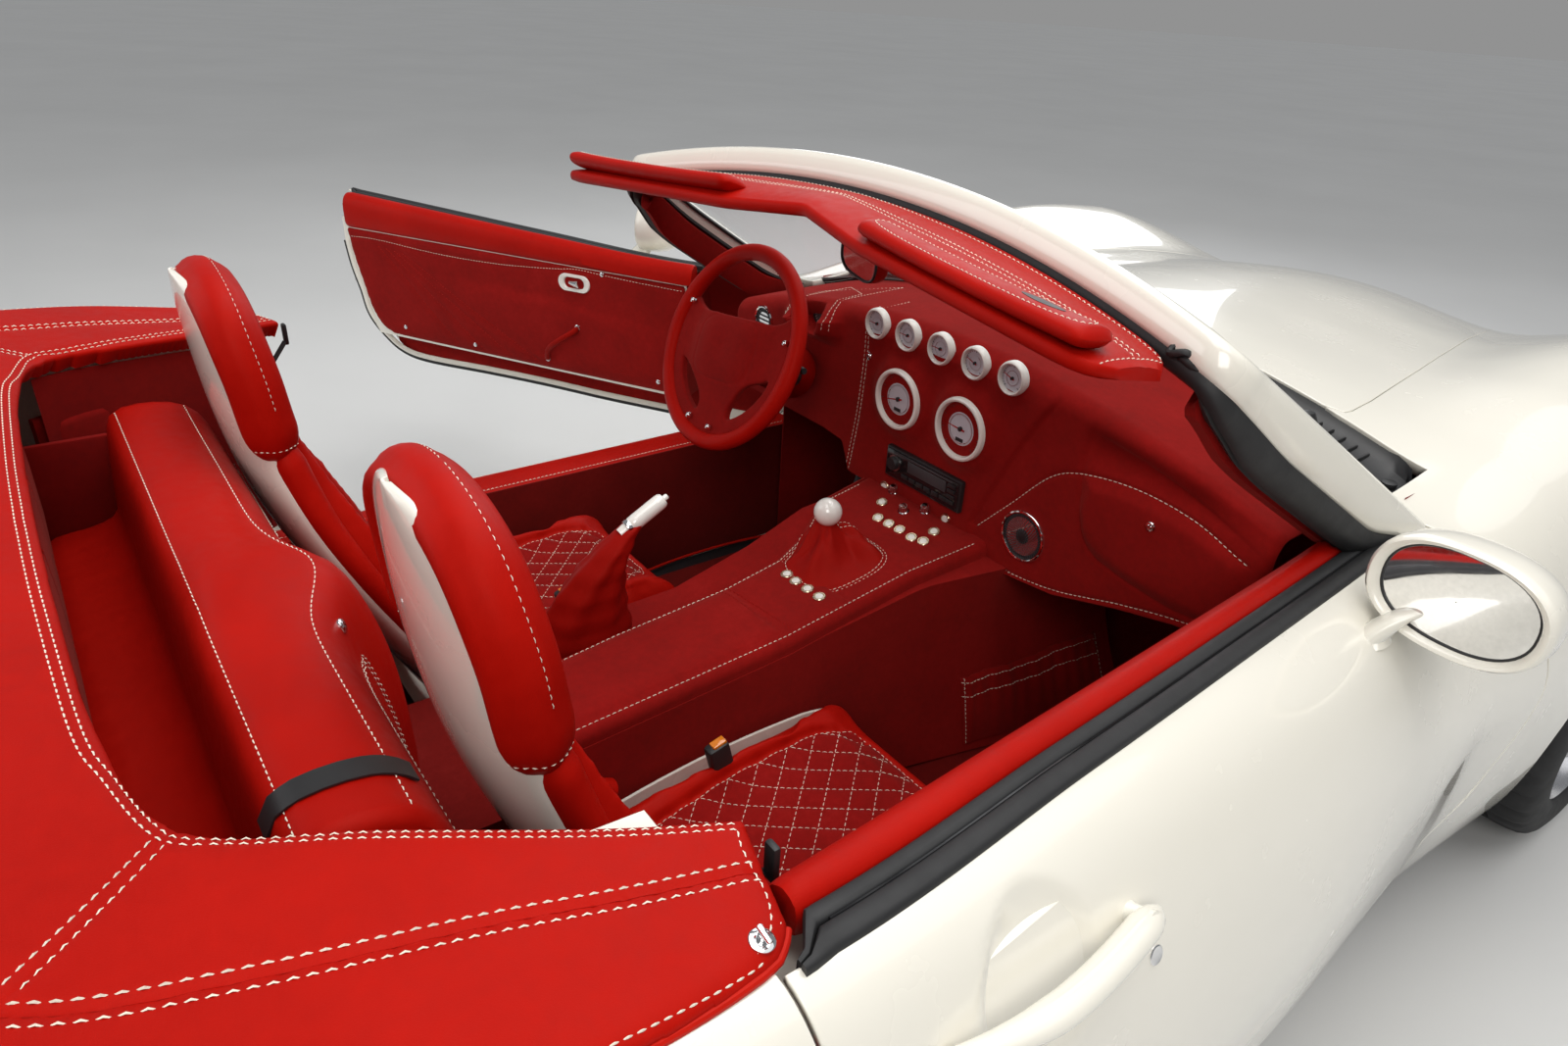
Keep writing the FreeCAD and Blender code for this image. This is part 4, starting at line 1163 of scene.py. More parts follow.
def dimple(pts, normals, d, depth, width):
    """Presses points in along their normals where the distance d to a seam is small."""
    return pts - normals * (depth * np.exp(-(d / width) ** 2))[:, None]


def drape(points, direction, tree, lift=0.4):
    return cast(points, direction, tree, lift)


def pad_object(name, pts, faces, mat, body, mat_rule=None, mats=None, angle=60.0):
    me = bpy.data.meshes.new(name)
    me.from_pydata([P(*p) for p in pts], [], faces)
    me.materials.append(mat)
    for m in mats or []:
        me.materials.append(m)
    if mat_rule:
        centre = np.array([pts[list(f)].mean(0) for f in faces])
        me.polygons.foreach_set("material_index", mat_rule(centre).astype(int))
    bm = bmesh.new()
    bm.from_mesh(me)
    bmesh.ops.recalc_face_normals(bm, faces=bm.faces)
    bm.to_mesh(me)
    bm.free()
    shade(me, angle)
    obj = link(bpy.data.objects.new(name, me))
    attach(obj, body)
    return obj


# ------------------------------------------------------------------ seats
# height, rear face of the shell, half width of the shell, how far it wraps forwards
SEAT = [(300, -505, 196, 60), (350, -530, 202, 60), (450, -582, 205, 58), (540, -626, 203, 54), (620, -662, 194, 50), (700, -692, 172, 46),
        (780, -711, 150, 42), (850, -722, 136, 38), (930, -730, 116, 32), (975, -733, 94, 26), (1000, -734, 68, 20), (1016, -734, 38, 13), (1023, -734, 6, 6)]
S_F, S_W, S_D = [Curve([r[0] for r in SEAT], [r[k] for r in SEAT]) for k in (1, 2, 3)]
SEATS = ((369.0, -35.0, "left"), (-372.0, 0.0, "right"))


def seat_shell_points(z, th, inset=0.0):
    f = S_F(z) + inset + S_D(z) * (1 - np.cos(th))
    return f, (S_W(z) - inset) * np.sin(th)


def build_seat_shell():
    zs = np.concatenate([np.linspace(300, 960, 40)[:-1], np.linspace(960, 1023, 14)])
    th = np.linspace(-math.pi / 2, math.pi / 2, 37)
    z, t = np.meshgrid(zs, th, indexing="ij")
    f, x = seat_shell_points(z, t)
    s = grid_sheet(np.stack([f, x, z], 2))
    if s.n[len(s.n) // 2][0] > 0:
        s = grid_sheet(np.stack([f, x, z], 2), flip=True)
    return s


def build_seat_pan():
    """The white tub under the cushion, open on top."""
    fs = np.linspace(-520, -58, 26)
    us = np.linspace(-1, 1, 41)
    g = np.zeros((len(fs), len(us), 3))
    for i, f in enumerate(fs):
        q = (f + 520) / 462.0
        half = 200 - 6 * q - 10 * max(0, q - 0.9) * 10
        wall = 350 + 18 * math.sin(q * math.pi) + 36 * q
        floor_z = 268 + 10 * q ** 3
        for j, u in enumerate(us):
            a = abs(u)
            if a < 0.62:
                l, z = half * 0.84 * a / 0.62, floor_z
            elif a < 0.8:
                t = (a - 0.62) / 0.18 * math.pi / 2
                l, z = half * 0.84 + half * 0.16 * math.sin(t), floor_z + 26 * (1 - math.cos(t))
            else:
                l, z = half, floor_z + 26 + (wall - floor_z - 26) * (a - 0.8) / 0.2
            g[i, j] = (f, l * (1 if u >= 0 else -1), z)
    s = grid_sheet(g)
    mid = (len(fs) // 2) * len(us) + len(us) // 2
    if s.n[mid][2] > 0:
        s = grid_sheet(g, flip=True)
    return s


def shifted(sheet, lc, df):
    return Sheet(sheet.v + np.array([df, lc, 0.0]), sheet.n, sheet.faces)


shell_sheet, pan_sheet = build_seat_shell(), build_seat_pan()
shell_panels = []
for lc, df, side in SEATS:
    shell_panels += [shifted(shell_sheet, lc, df), shifted(pan_sheet, lc, df)]
seat_shells = panel("seat_shell_mouldings", shell_panels, SHELL_WHITE, "body", 6.0, 2.2)
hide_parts("seat_shells")


def hoop_path(n=90):
    """Centre line of the padded hoop round the top of the seat back, over the middle plane of a seat."""
    pts = []
    for z, l in ((796, 136), (850, 134), (900, 128), (945, 114), (978, 90), (998, 52), (1005, 0)):
        pts.append((float(S_F(min(z, 1000))) + 46 - 6 * max(0.0, (z - 900) / 100.0), l, z))
    pts = pts + [(f, -l, z) for f, l, z in reversed(pts[:-1])]
    return even(smooth_path(pts, 160), 1.0), pts


def ellipse_tube(path, a_out, a_f, sides=22, squash_ends=True):
    """A padded bar: a_out across in the plane of the path, a_f along f. The ends are rounded off."""
    rings = []
    n = len(path)
    for i, p in enumerate(path):
        t = unit(path[min(i + 1, n - 1)] - path[max(i - 1, 0)])
        fdir = unit(np.array([1.0, 0, 0]) - t * t[0])
        out = np.cross(t, fdir)
        e = min(i, n - 1 - i)
        k = 1.0
        if squash_ends:
            s = min(1.0, (e + 0.6) / 7.0)
            k = math.sqrt(1 - (1 - s) ** 2)
        ring = []
        for j in range(sides):
            a = 2 * math.pi * j / sides
            c, sn = math.cos(a), math.sin(a)
            sq = 0.88 + 0.12 * abs(math.cos(2 * a))
            ring.append(p + out * a_out * c * k * sq + fdir * a_f * sn * k * sq)
        rings.append(ring)
    return rings


hoop_fine, _hp = hoop_path()
hoop_pts = even(hoop_fine, 7.0)
cushion_cache = {}


def cushion_shape():
    """A bucket cushion over its own middle plane: raised rolls at the sides, a dished middle, pulled in edges."""
    us, vs = np.linspace(-1, 1, 33), np.linspace(0, 1, 33)
    top, bottom = [], []
    for v in vs:
        f = -492 + 436 * v
        for u in us:
            a = abs(u)
            half = 180 - 4 * math.sin(v * math.pi) + (3 if v > 0.9 else 0)
            base = 376 + 52 * v ** 1.6
            roll = 34 * math.exp(-((a - 0.80) / 0.17) ** 2) * (0.35 + 0.65 * math.sin(min(1.0, v * 1.15) * math.pi) ** 0.6)
            edge = (1 - max(0.0, (a - 0.86) / 0.14) ** 2.2 * 0.42) * (1 - max(0.0, (v - 0.88) / 0.12) ** 2 * 0.22) * (1 - max(0.0, (0.08 - v) / 0.08) ** 2 * 0.12)
            z = 312 + (base + roll - 312) * edge
            top.append((f, half * u, z))
            bottom.append((f, half * 0.95 * u, 312.0))
    n = len(us)
    verts = top + bottom
    faces = []
    k = len(top)
    for i in range(len(vs) - 1):
        for j in range(n - 1):
            a = i * n + j
            faces.append((a, a + 1, a + n + 1, a + n))
            faces.append((k + a, k + a + n, k + a + n + 1, k + a + 1))
    for j in range(n - 1):
        faces.append((j, k + j, k + j + 1, j + 1))
        a = (len(vs) - 1) * n + j
        faces.append((a, a + 1, k + a + 1, k + a))
    for i in range(len(vs) - 1):
        a = i * n
        faces.append((a, a + n, k + a + n, k + a))
        a = i * n + n - 1
        faces.append((a, k + a, k + a + n, a + n))
    return verts, faces


def back_shape():
    """The upholstery on the front of the seat back, between the rolls."""
    us, vs = np.linspace(-1, 1, 31), np.linspace(0, 1, 41)
    front, rearp = [], []
    for v in vs:
        z = 404 + (992 - 404) * v
        fb = float(S_F(z))
        half = float(np.interp(z, [404, 500, 600, 700, 780, 850, 930, 970, 992], [180, 186, 180, 156, 132, 118, 106, 84, 52]))
        thick = float(np.interp(v, [0, 0.06, 0.5, 0.85, 0.96, 1.0], [34, 52, 56, 50, 38, 22]))
        for u in us:
            a = abs(u)
            roll = float(np.interp(z, [404, 480, 560, 650, 740, 800], [14, 30, 40, 34, 16, 2])) * math.exp(-((a - 0.84) / 0.15) ** 2)
            edge = 1 - max(0.0, (a - 0.84) / 0.16) ** 2.2 * 0.5
            front.append((fb + 16 + (thick + roll) * edge + 6 * a * a, half * u, z))
            rearp.append((fb + 14 + 24 * a * a, half * 0.96 * u, z))
    n = len(us)
    verts = front + rearp
    faces, k = [], len(front)
    for i in range(len(vs) - 1):
        for j in range(n - 1):
            a = i * n + j
            faces.append((a, a + n, a + n + 1, a + 1))
            faces.append((k + a, k + a + 1, k + a + n + 1, k + a + n))
    for j in range(n - 1):
        faces.append((j, j + 1, k + j + 1, k + j))
        a = (len(vs) - 1) * n + j
        faces.append((a, k + a, k + a + 1, a + 1))
    for i in range(len(vs) - 1):
        a = i * n
        faces.append((a, k + a, k + a + n, a + n))
        a = i * n + n - 1
        faces.append((a, a + n, k + a + n, k + a))
    return verts, faces


# the quilted middle of the cushion and the back, in (along, across)
def quilt_lines(u0, u1, half, pitch):
    """Two crossing families of slanting lines inside a rounded panel."""
    lines = []
    for sgn in (1, -1):
        k = -40
        while k < 40:
            c = k * pitch
            pts = []
            for i in range(200):
                a = u0 + (u1 - u0) * i / 199.0
                b = sgn * (a - (u0 + u1) / 2) * 0.9 + c
                h = half(a)
                if abs(b) < h:
                    pts.append((a, b))
                elif len(pts) > 4:
                    break
                else:
                    pts = []
            if len(pts) > 8:
                lines.append(pts)
            k += 1
    return lines


def cushion_half(f):
    return float(np.interp(f, [-470, -440, -300, -150, -96, -84], [86, 108, 116, 112, 92, 60]))


def back_half(z):
    return float(np.interp(z, [440, 470, 560, 700, 800, 880, 905], [88, 104, 108, 94, 80, 66, 44]))


c_lines = quilt_lines(-468, -86, cushion_half, 46.0)
b_lines = quilt_lines(442, 902, back_half, 42.0)
c_rim = [(f, cushion_half(f)) for f in np.linspace(-470, -84, 60)]
c_rim = c_rim + [(-84, l) for l in np.linspace(58, -58, 14)] + [(f, -cushion_half(f)) for f in np.linspace(-84, -470, 60)] + [(-470, l) for l in np.linspace(-84, 84, 18)]
b_rim = [(z, back_half(z)) for z in np.linspace(440, 905, 70)]
b_rim = b_rim + [(905, l) for l in np.linspace(42, -42, 10)] + [(z, -back_half(z)) for z in np.linspace(905, 440, 70)] + [(440, l) for l in np.linspace(-86, 86, 18)]


def seam_distance(p2, lines):
    d = np.full(len(p2), 1e9)
    for line in lines:
        arr = line[:: max(1, len(line) // 24)] + [line[-1]]
        for a, b in zip(arr, arr[1:]):
            d = np.minimum(d, seg_dist(p2, a, b))
    return d


cv, cf = inflate("seat_cushion", *cushion_shape(), voxel=8.5, pressure=4.0, cap=10.0, pinned=lambda f, l, z: 1.0 if z < 322 else 0.0)
bv, bf = inflate("seat_back", *back_shape(), voxel=8.5, pressure=4.0, cap=8.0, pinned=lambda f, l, z: 1.0 if f < float(S_F(z)) + 24 else 0.0)
cn, bn = vertex_normals(cv, cf), vertex_normals(bv, bf)
if cn[np.argmax(cv[:, 2])][2] < 0:
    cn = -cn
if bn[np.argmax(bv[:, 0] - np.interp(bv[:, 2], [r[0] for r in SEAT], [r[1] for r in SEAT]))][0] < 0:
    bn = -bn
up_c = cn[:, 2] > 0.35
d_line = seam_distance(cv[:, [0, 1]], c_lines)
d_rim = seam_distance(cv[:, [0, 1]], [c_rim])
w = np.where(up_c, 1.0, 0.0)
cv = cv - cn * (w * (3.2 * np.exp(-(d_line / 5.5) ** 2) + 5.0 * np.exp(-(d_rim / 6.5) ** 2)))[:, None]
front_b = bn[:, 0] > 0.3
d_line = seam_distance(bv[:, [2, 1]], b_lines)
d_rim = seam_distance(bv[:, [2, 1]], [b_rim])
w = np.where(front_b, 1.0, 0.0)
bv = bv - bn * (w * (3.0 * np.exp(-(d_line / 5.5) ** 2) + 5.0 * np.exp(-(d_rim / 6.5) ** 2)))[:, None]
c_panel, b_panel = poly_sdf(c_rim), poly_sdf(b_rim)

pads = []
for lc, df, side in SEATS:
    move = np.array([df, lc, 0.0])
    pad = pad_object(side + "_seat_cushion", cv + move, cf, LEATHER, "body",
                     lambda c: np.where((c_panel(c[:, [0, 1]] - move[:2]) < 0) & (c[:, 2] > 352), 1, 0), [SUEDE])
    back = pad_object(side + "_seat_back_pad", bv + move, bf, LEATHER, "body",
                      lambda c: np.where(b_panel(np.stack([c[:, 2], c[:, 1] - lc], 1)) < 0, 1, 0), [SUEDE])
    pads += [pad, back]
    h = Heap()
    ctree, btree = tree_of(cv + move, cf), tree_of(bv + move, bf)
    for line in c_lines:
        stitches(h, drape([(f + df, l + lc, 600) for f, l in line], (0, 0, -1), ctree, 0.2), pitch=9.0, length=6.2, r=0.6)
    stitches(h, drape([(f + df, l + lc, 600) for f, l in c_rim], (0, 0, -1), ctree, 0.2), pitch=9.0, length=6.2, r=0.65)
    for line in b_lines:
        stitches(h, drape([(-300 + df, l + lc, z) for z, l in line], (-1, 0, 0), btree, 0.2), pitch=9.0, length=6.2, r=0.6)
    stitches(h, drape([(-300 + df, l + lc, z) for z, l in b_rim], (-1, 0, 0), btree, 0.2), pitch=9.0, length=6.2, r=0.65)
    h.done(side + "_seat_stitching", "body")

    # hoop over the top of the back, with its sewn ends, and the rolls that run down to the cushion
    h = Heap()
    rings = [[p + move for p in ring] for ring in ellipse_tube(hoop_pts, 27.0, 34.0, 26)]
    v, f = rings_mesh(rings)
    hoop_tree = tree_of(np.array(v), f)
    h.add(v, f, LEATHER)
    for sgn in (1, -1):
        roll = []
        for z in (830, 796, 760, 700, 640, 580, 520, 462):
            roll.append((float(S_F(z)) + float(S_D(z)) + 12 + df, lc + sgn * (float(S_W(z)) - 13), z))
        roll += [(-480 + df, lc + sgn * 196, 420), (-440 + df, lc + sgn * 198, 398)]
        path = even(smooth_path(roll, 70), 8.0)
        radius = [min(25.0, 12 + 2.2 * i) if i < 6 else 25.0 - 9.0 * i / len(path) for i in range(len(path))]
        h.add(*tube(path, radius, 18, hint=(1, 0, 0), flat=0.86), LEATHER)
    h.done(side + "_seat_rolls", "body", 50)
    h = Heap()
    for sgn in (1, -1):
        for zc, off in ((812, 0.0),):
            centre = np.array([float(S_F(zc)) + 46 + df, lc + sgn * 136, zc])
            loop = []
            for k in range(40):
                a = 2 * math.pi * k / 40
                p = centre + np.array([math.sin(a) * 60, math.cos(a) * 60, 0])
                hit = hoop_tree.find_nearest(P(*(centre + np.array([math.sin(a) * 34, math.cos(a) * 27, 0]))))
                q = vec(U(hit[0]))
                loop.append((q, unit(q - centre)))
            stitches(h, loop + [loop[0]], pitch=7.5, length=5.2, r=0.75)
    # a seam down each outer face of the hoop, its crease drawn in the darker leather as painted shade
    for sgn in (1, -1):
        for face in (0.42,):
            line = []
            for i in range(10, len(hoop_pts) - 10, 1):
                p = hoop_pts[i]
                t = unit(hoop_pts[i + 1] - hoop_pts[i - 1])
                fdir = unit(np.array([1.0, 0, 0]) - t * t[0])
                out = np.cross(t, fdir)
                if sgn < 0 and p[1] > 0 or sgn > 0 and p[1] <= 0:
                    continue
                o = out if out @ np.array([0, p[1], max(0, p[2] - 900) + 1]) > 0 else -out
                q = p + o * 40 * math.cos(face) + fdir * 40 * math.sin(face) + move
                hit = hoop_tree.find_nearest(P(*q))
                n = vec((-hit[1].y, hit[1].x, hit[1].z))
                n = n if n @ (q - vec(U(hit[0]))) > 0 else -n
                line.append((vec(U(hit[0])) + n * 0.2, n))
            stitches(h, line, pitch=8.5, length=5.6, r=0.5, side=0, mat=THREAD)
            seam(h, [(p - n * 0.1, n) for p, n in line], LEATHER_SHADED, 1.6)
    h.done(side + "_seat_hoop_stitching", "body")
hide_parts("seat_pads")
# ------------------------------------------------------------------ the padded cover over the folded hood
def fine_sheet(f0, f1, nf, s0, s1, ns):
    f, s = np.meshgrid(np.linspace(f0, f1, nf), np.linspace(s0, s1, ns), indexing="ij")
    l, z = section(f, s)
    half = np.stack([f, l, z], 2)
    other = half[:, :-1][:, ::-1] * (1, -1, 1)
    return grid_sheet(np.concatenate([half, other], axis=1), flip=True)


def lifted(sheet, height):
    """The sheet moved out along its normals; its new normals are worked out from its faces."""
    v = sheet.v + sheet.n * height[:, None]
    n = vertex_normals(v, sheet.faces)
    n = np.where((n * sheet.n).sum(1)[:, None] < 0, -n, n)
    return Sheet(v, n, sheet.faces)


def line_dist(points2, line):
    d = np.full(len(points2), 1e9)
    for a, b in zip(line, line[1:]):
        d = np.minimum(d, seg_dist(points2, a, b))
    return d


CREST_SEAM = smooth_poly([(-606, 738), (-700, 717), (-788, 696), (-918, 671), (-1025, 641), (-1110, 560), (-1160, 420), (-1182, 220), (-1186, 0)], 60, False)
CREST_BOTH = [CREST_SEAM, [(f, -l) for f, l in CREST_SEAM]]
cover_sheet = fine_sheet(-1252, -584, 150, 1.35, 4, 120)
cover_sheet = clip(cover_sheet, lambda p: np.where(p[:, 2] < 700, 50.0, collar_sdf(fl(p)) + 3.0))
_d = -collar_sdf(fl(cover_sheet.v))
_h = 3.0 + 10.5 * np.sqrt(np.clip(1 - (1 - np.clip(_d / 20.0, 0, 1)) ** 2, 0, 1))
_ds = np.minimum(line_dist(fl(cover_sheet.v), CREST_BOTH[0]), line_dist(fl(cover_sheet.v), CREST_BOTH[1]))
_h -= 3.4 * np.exp(-(_ds / 4.5) ** 2)
# joins across the collar behind the seats, where its long pieces meet
JOINS = [[(-931, 522), (-1040, 640)], [(-931, -522), (-1040, -640)]]
for _j in JOINS:
    _h -= 2.4 * np.exp(-(line_dist(fl(cover_sheet.v), _j) / 3.5) ** 2)
_h += 0.8 * np.sin(cover_sheet.v[:, 0] / 71.0 + cover_sheet.v[:, 1] / 93.0) * np.clip(_d / 60.0, 0, 1)
cover_top = lifted(cover_sheet, _h)
hood_cover = panel("hood_cover_leather", [cover_top], LEATHER, "body", 26.0, 6.0)
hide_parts("hood_cover")
cover_tree = BVHTree.FromPolygons([P(*p) for p in cover_top.v], [list(f) for f in cover_top.faces])


def inset_line(line, d, first=0, last=None):
    """A polyline moved to its left by d."""
    out = []
    pts = np.array(line, float)
    for i in range(len(pts)):
        t = unit(pts[min(i + 1, len(pts) - 1)] - pts[max(i - 1, 0)])
        out.append((pts[i][0] - t[1] * d, pts[i][1] + t[0] * d))
    return out[first:last]


def on_cover(line, lift=0.1):
    return cast([(f, l, 1200) for f, l in line], (0, 0, -1), cover_tree, lift)


h = Heap()
inner_edge = smooth_poly([(-592, 688), (-694, 643), (-817, 582), (-905, 540), (-931, 522), (-950, 450), (-962, 383), (-970, 166), (-972, 0)], 90, False)
inner_edge = even([(a, b, 0) for a, b in inner_edge], 6.0)[:, :2]
for side in (1, -1):
    for line, sign in ((CREST_SEAM, 1),):
        pts = even([(a, b, 0) for a, b in line], 6.0)[:, :2]
        for off in (8.0, -8.0):
            row = inset_line(pts, off)
            stitches(h, on_cover([(f, l * side) for f, l in row]), pitch=10.0, length=7.2, r=0.95)
        # the crest seam's crease in the darker leather, painted shade
        seam(h, on_cover([(f, l * side) for f, l in pts], 0.0), LEATHER_SHADED, 1.8)
    for off in (8.0, 15.0):
        row = inset_line(inner_edge, -off)
        row = [(f, l * side) for f, l in row if f < -596]
        stitches(h, on_cover(row), pitch=9.0, length=6.4, r=0.8)
    outer = smooth_poly([(-606, 738), (-622, 778), (-650, 800), (-760, 806), (-860, 800), (-960, 768), (-1060, 706), (-1145, 612), (-1205, 466), (-1230, 240), (-1234, 0)], 90, False)
    row = [(f, l * side) for f, l in outer[1:]]
    stitches(h, on_cover(row), pitch=9.0, length=6.4, r=0.8)
    tip = smooth_poly([(-604, 698), (-612, 716), (-616, 740), (-622, 762), (-636, 784), (-655, 795)], 26, False)
    stitches(h, on_cover([(f, l * side) for f, l in tip]), pitch=9.0, length=6.4, r=0.8)
    for line in JOINS[:1]:
        pts = [(line[0][0] + (line[1][0] - line[0][0]) * k / 20.0, line[0][1] + (line[1][1] - line[0][1]) * k / 20.0) for k in range(2, 18)]
        for off in (5.0, -5.0):
            stitches(h, on_cover([(f, l * side) for f, l in inset_line(pts, off)]), pitch=9.0, length=6.4, r=0.75)
    # turn button near the tip, and two behind the seats
    for f, l in ((-646, 788), (-1000, 716), (-1190, 330)):
        at = on_cover([(f, l * side)], 0.0)
        if at:
            p, n = at[0]
            h.add(*lathe(p, n, [(-1, 9.5), (1.2, 9.5), (1.8, 8.6), (1.8, 5.0), (2.2, 4.6), (5.6, 4.4), (6.4, 3.4), (6.6, 0.01)], 24), CHROME)
            a, b = frame_of(n)
            h.add(*rbox(p + n * 7.4, (15, 4.6, 3.4), 1.4, (a, b, n)), CHROME)
h.done("hood_cover_stitching_and_buttons", "body")

# piping that closes the cover's outer edge against the paint
h = Heap()
for side in (1, -1):
    line = [(f, l) for f, l in _out if l * side > -1]
    line = even([(a, b, 0) for a, b in line], 9.0)[:, :2]
    pts = []
    for f, l in line:
        zt = top_z(f, l) if abs(l) <= float(C_LC(f)) else float(C_ZC(f)) - 0.5 * (abs(l) - float(C_LC(f)))
        if abs(l) > float(C_LC(f)):
            z_try = np.linspace(float(C_ZW(f)), float(C_ZC(f)), 60)
            ll = side_l(np.full(60, f), z_try)
            zt = float(np.interp(-abs(l), -ll, z_try))
        pts.append((f, l, zt + 2.0))
    h.add(*tube(pts, 3.4, 10), PIPING)
h.done("hood_cover_piping", "body")

# strip of bodywork between the cover and the boot lid
strip = cut_sheet(lambda p: np.where(p[:, 2] < 700, 50.0, -10.0), lambda p: np.abs(p[:, 1]) - 640.5, lambda p: p[:, 0] + 1100, lambda p: -1256.5 - p[:, 0],
                  lambda p: 2.5 - collar_sdf(fl(p)), lambda p: 4.5 - boot_sdf(fl(p)))
if len(strip.v) > 10:
    panel("deck_strip_skin", [strip], PAINT, "body", 18, 1.8)
# ------------------------------------------------------------------ doors, built shut on the left side
HINGE_F, HINGE_L, DOOR_OPEN = 590.0, 848.0, math.radians(-55.0)


def swing(p):
    df, dl = p[0] - HINGE_F, p[1] - HINGE_L
    return (HINGE_F + df * math.cos(DOOR_OPEN) - dl * math.sin(DOOR_OPEN), HINGE_L + df * math.sin(DOOR_OPEN) + dl * math.cos(DOOR_OPEN), p[2])


def across(p):
    return (p[0], -p[1], p[2])


def door_inner(f):
    return 634.0 + 106.0 * (440.0 - f) / 1100.0


def surf_z(f, l):
    """Height of the body's skin at (f, l), also just outside the crest."""
    lc, zc, lw, zw = float(C_LC(f)), float(C_ZC(f)), float(C_LW(f)), float(C_ZW(f))
    if abs(l) <= lc:
        return top_z(f, abs(l))
    return zw + (zc - zw) * math.sqrt(max(0.0, 1 - ((abs(l) - lc) / (lw - lc)) ** 2))


def surf_n(f, z):
    a = vec((f, float(side_l(f, z)), z))
    b = vec((f + 4, float(side_l(f + 4, z)), z))
    c = vec((f, float(side_l(f, z + 4)), z + 4))
    n = unit(np.cross(c - a, b - a))
    return n if n[1] > 0 else -n


class Moved(Heap):
    """A heap whose shapes are moved before they are joined."""

    def __init__(self, move):
        super().__init__()
        self.move = move

    def add(self, verts, faces, mat):
        return super().add([self.move(v) for v in verts], faces, mat)


CUP_F, CUP_Z, CUP_R = -440.0, 739.0, 68.0
_f, _s = np.meshgrid(np.linspace(-664, 704, 200), np.concatenate([np.linspace(0, 1, 24)[:-1], np.linspace(1, 2, 46)[:-1], np.linspace(2, 2.5, 8)]), indexing="ij")
_l, _z = section(_f, _s)
door_sheet = grid_sheet(np.stack([_f, _l, _z], 2), flip=True)
_q = np.hypot(door_sheet.v[:, 0] - CUP_F, (door_sheet.v[:, 2] - CUP_Z) * 1.02) / CUP_R
door_sheet = lifted(door_sheet, np.where(door_sheet.v[:, 2] > 600, -17.0 * np.clip(1 - _q ** 2, 0, 1) ** 0.75, 0.0))
door_sheet = clip(door_sheet, lambda p: door_sdf(fz(p)) + 0.3)
door_sheet = clip(door_sheet, lambda p: np.where(p[:, 2] > 720, C_LC(p[:, 0]) + 4.0 - p[:, 1], -10.0))
door_sheet = clip(door_sheet, lambda p: np.where(p[:, 2] > 770, 9.0 - collar_sdf(fl(p)), -10.0))


def outline_at(z, rear):
    """Where the door's outline is at height z."""
    line = _rear_edge if rear else _front_edge
    fs, zs = [p[0] for p in line], [p[1] for p in line]
    best = [fs[i] + (fs[i + 1] - fs[i]) * (z - zs[i]) / (zs[i + 1] - zs[i]) for i in range(len(fs) - 1) if min(zs[i], zs[i + 1]) <= z <= max(zs[i], zs[i + 1]) and zs[i] != zs[i + 1]]
    if not best:
        return -430.0 if rear else 374.0
    return min(best) if rear else max(best)


LIP = [(412, 383, 766), (343, 385, 766), (140, 391, 766), (-40, 400, 766), (-219, 405, 766), (-408, 408, 765), (-484, 424, 760), (-522, 468, 742), (-556, 523, 733), (-574, 587, 735), (-594, 650, 737), (-606, 716, 738)]
LIP_LINE = smooth_path([(a, b, c) for a, b, c in LIP], 110, False)


def lip_z(f):
    """Height of the lip along the door's lower edge at station f."""
    fs = [p[0] for p in LIP_LINE][::-1]
    return float(np.interp(f, fs, [p[1] for p in LIP_LINE][::-1]))


def lower_inner(z):
    """How far out the door's lower inside face lies at height z."""
    return float(np.interp(z, [354, 362, 366, 380, 390, 396], [880, 872, 838, 796, 774, 768]))


def door_core():
    """The painted inner frame: one ring in plan at each height."""
    parts = []
    for zs, thin in (([354, 358, 362, 364, 366, 372, 380, 386, 390, 396, 420, 444, 468], True), (list(np.linspace(472, 776, 24)), False)):
        rings = []
        for z in zs:
            f0, f1 = outline_at(z, True) + 3.5, outline_at(z, False) - 3.5
            rear = float(np.interp(z, [396, 420, 468, 523, 587, 640, 680], [-440, -480, -530, -566, -584, -606, -615]))
            fa, fb = max(f0, rear), min(f1, 421.0)
            out = [(f, float(side_l(f, z)) - 7.0) for f in np.linspace(f0, f1, 26)]
            if thin:
                ins = [(f, float(side_l(f, z)) - 56.0) for f in np.linspace(f1, 425, 8)] + [(f, min(lower_inner(z), float(side_l(f, z)) - 11.0)) for f in np.linspace(421, fa, 20)]
            else:
                ins = [(f, float(side_l(f, z)) - 55.0) for f in np.linspace(f1, fb + 3, 6)] + [(f, door_inner(f) + 2.0) for f in np.linspace(fb, fa, 14)]
            rings.append([(f, l, z) for f, l in out + ins])
        parts.append(rings_mesh(rings))
    return parts


PANEL_OUT = smooth_poly([(416, 748), (418, 620), (414, 492), (404, 481), (0, 478), (-440, 479), (-492, 484), (-522, 500), (-548, 540), (-566, 600), (-588, 680), (-600, 748)], 90, False)
panel_sdf = poly_sdf(PANEL_OUT)


def trim_bulge(f, z):
    """How far the soft trim stands into the cabin."""
    d = -panel_sdf(np.stack([f, z], 1))
    base = 5.0 * np.sqrt(np.clip(1 - (1 - np.clip(d / 16.0, 0, 1)) ** 2, 0, 1)) - 1.0
    arm_z = 655 + 0.0 * f - 36 * np.clip((f - 60) / 330.0, 0, 1) ** 1.3 - 10 * np.clip((-f - 300) / 300.0, 0, 1)
    arm = 8.0 / (1 + np.exp((z - arm_z) / 7.0)) * np.clip((f + 480) / 260.0, 0, 1)
    return base + arm * np.clip(d / 30.0, 0, 1)


def trim_point(f, z, lift=0.0):
    b = float(trim_bulge(np.array([f]), np.array([z]))[0]) + lift
    return (f - 0.0959 * b, door_inner(f) - 0.9954 * b, z)


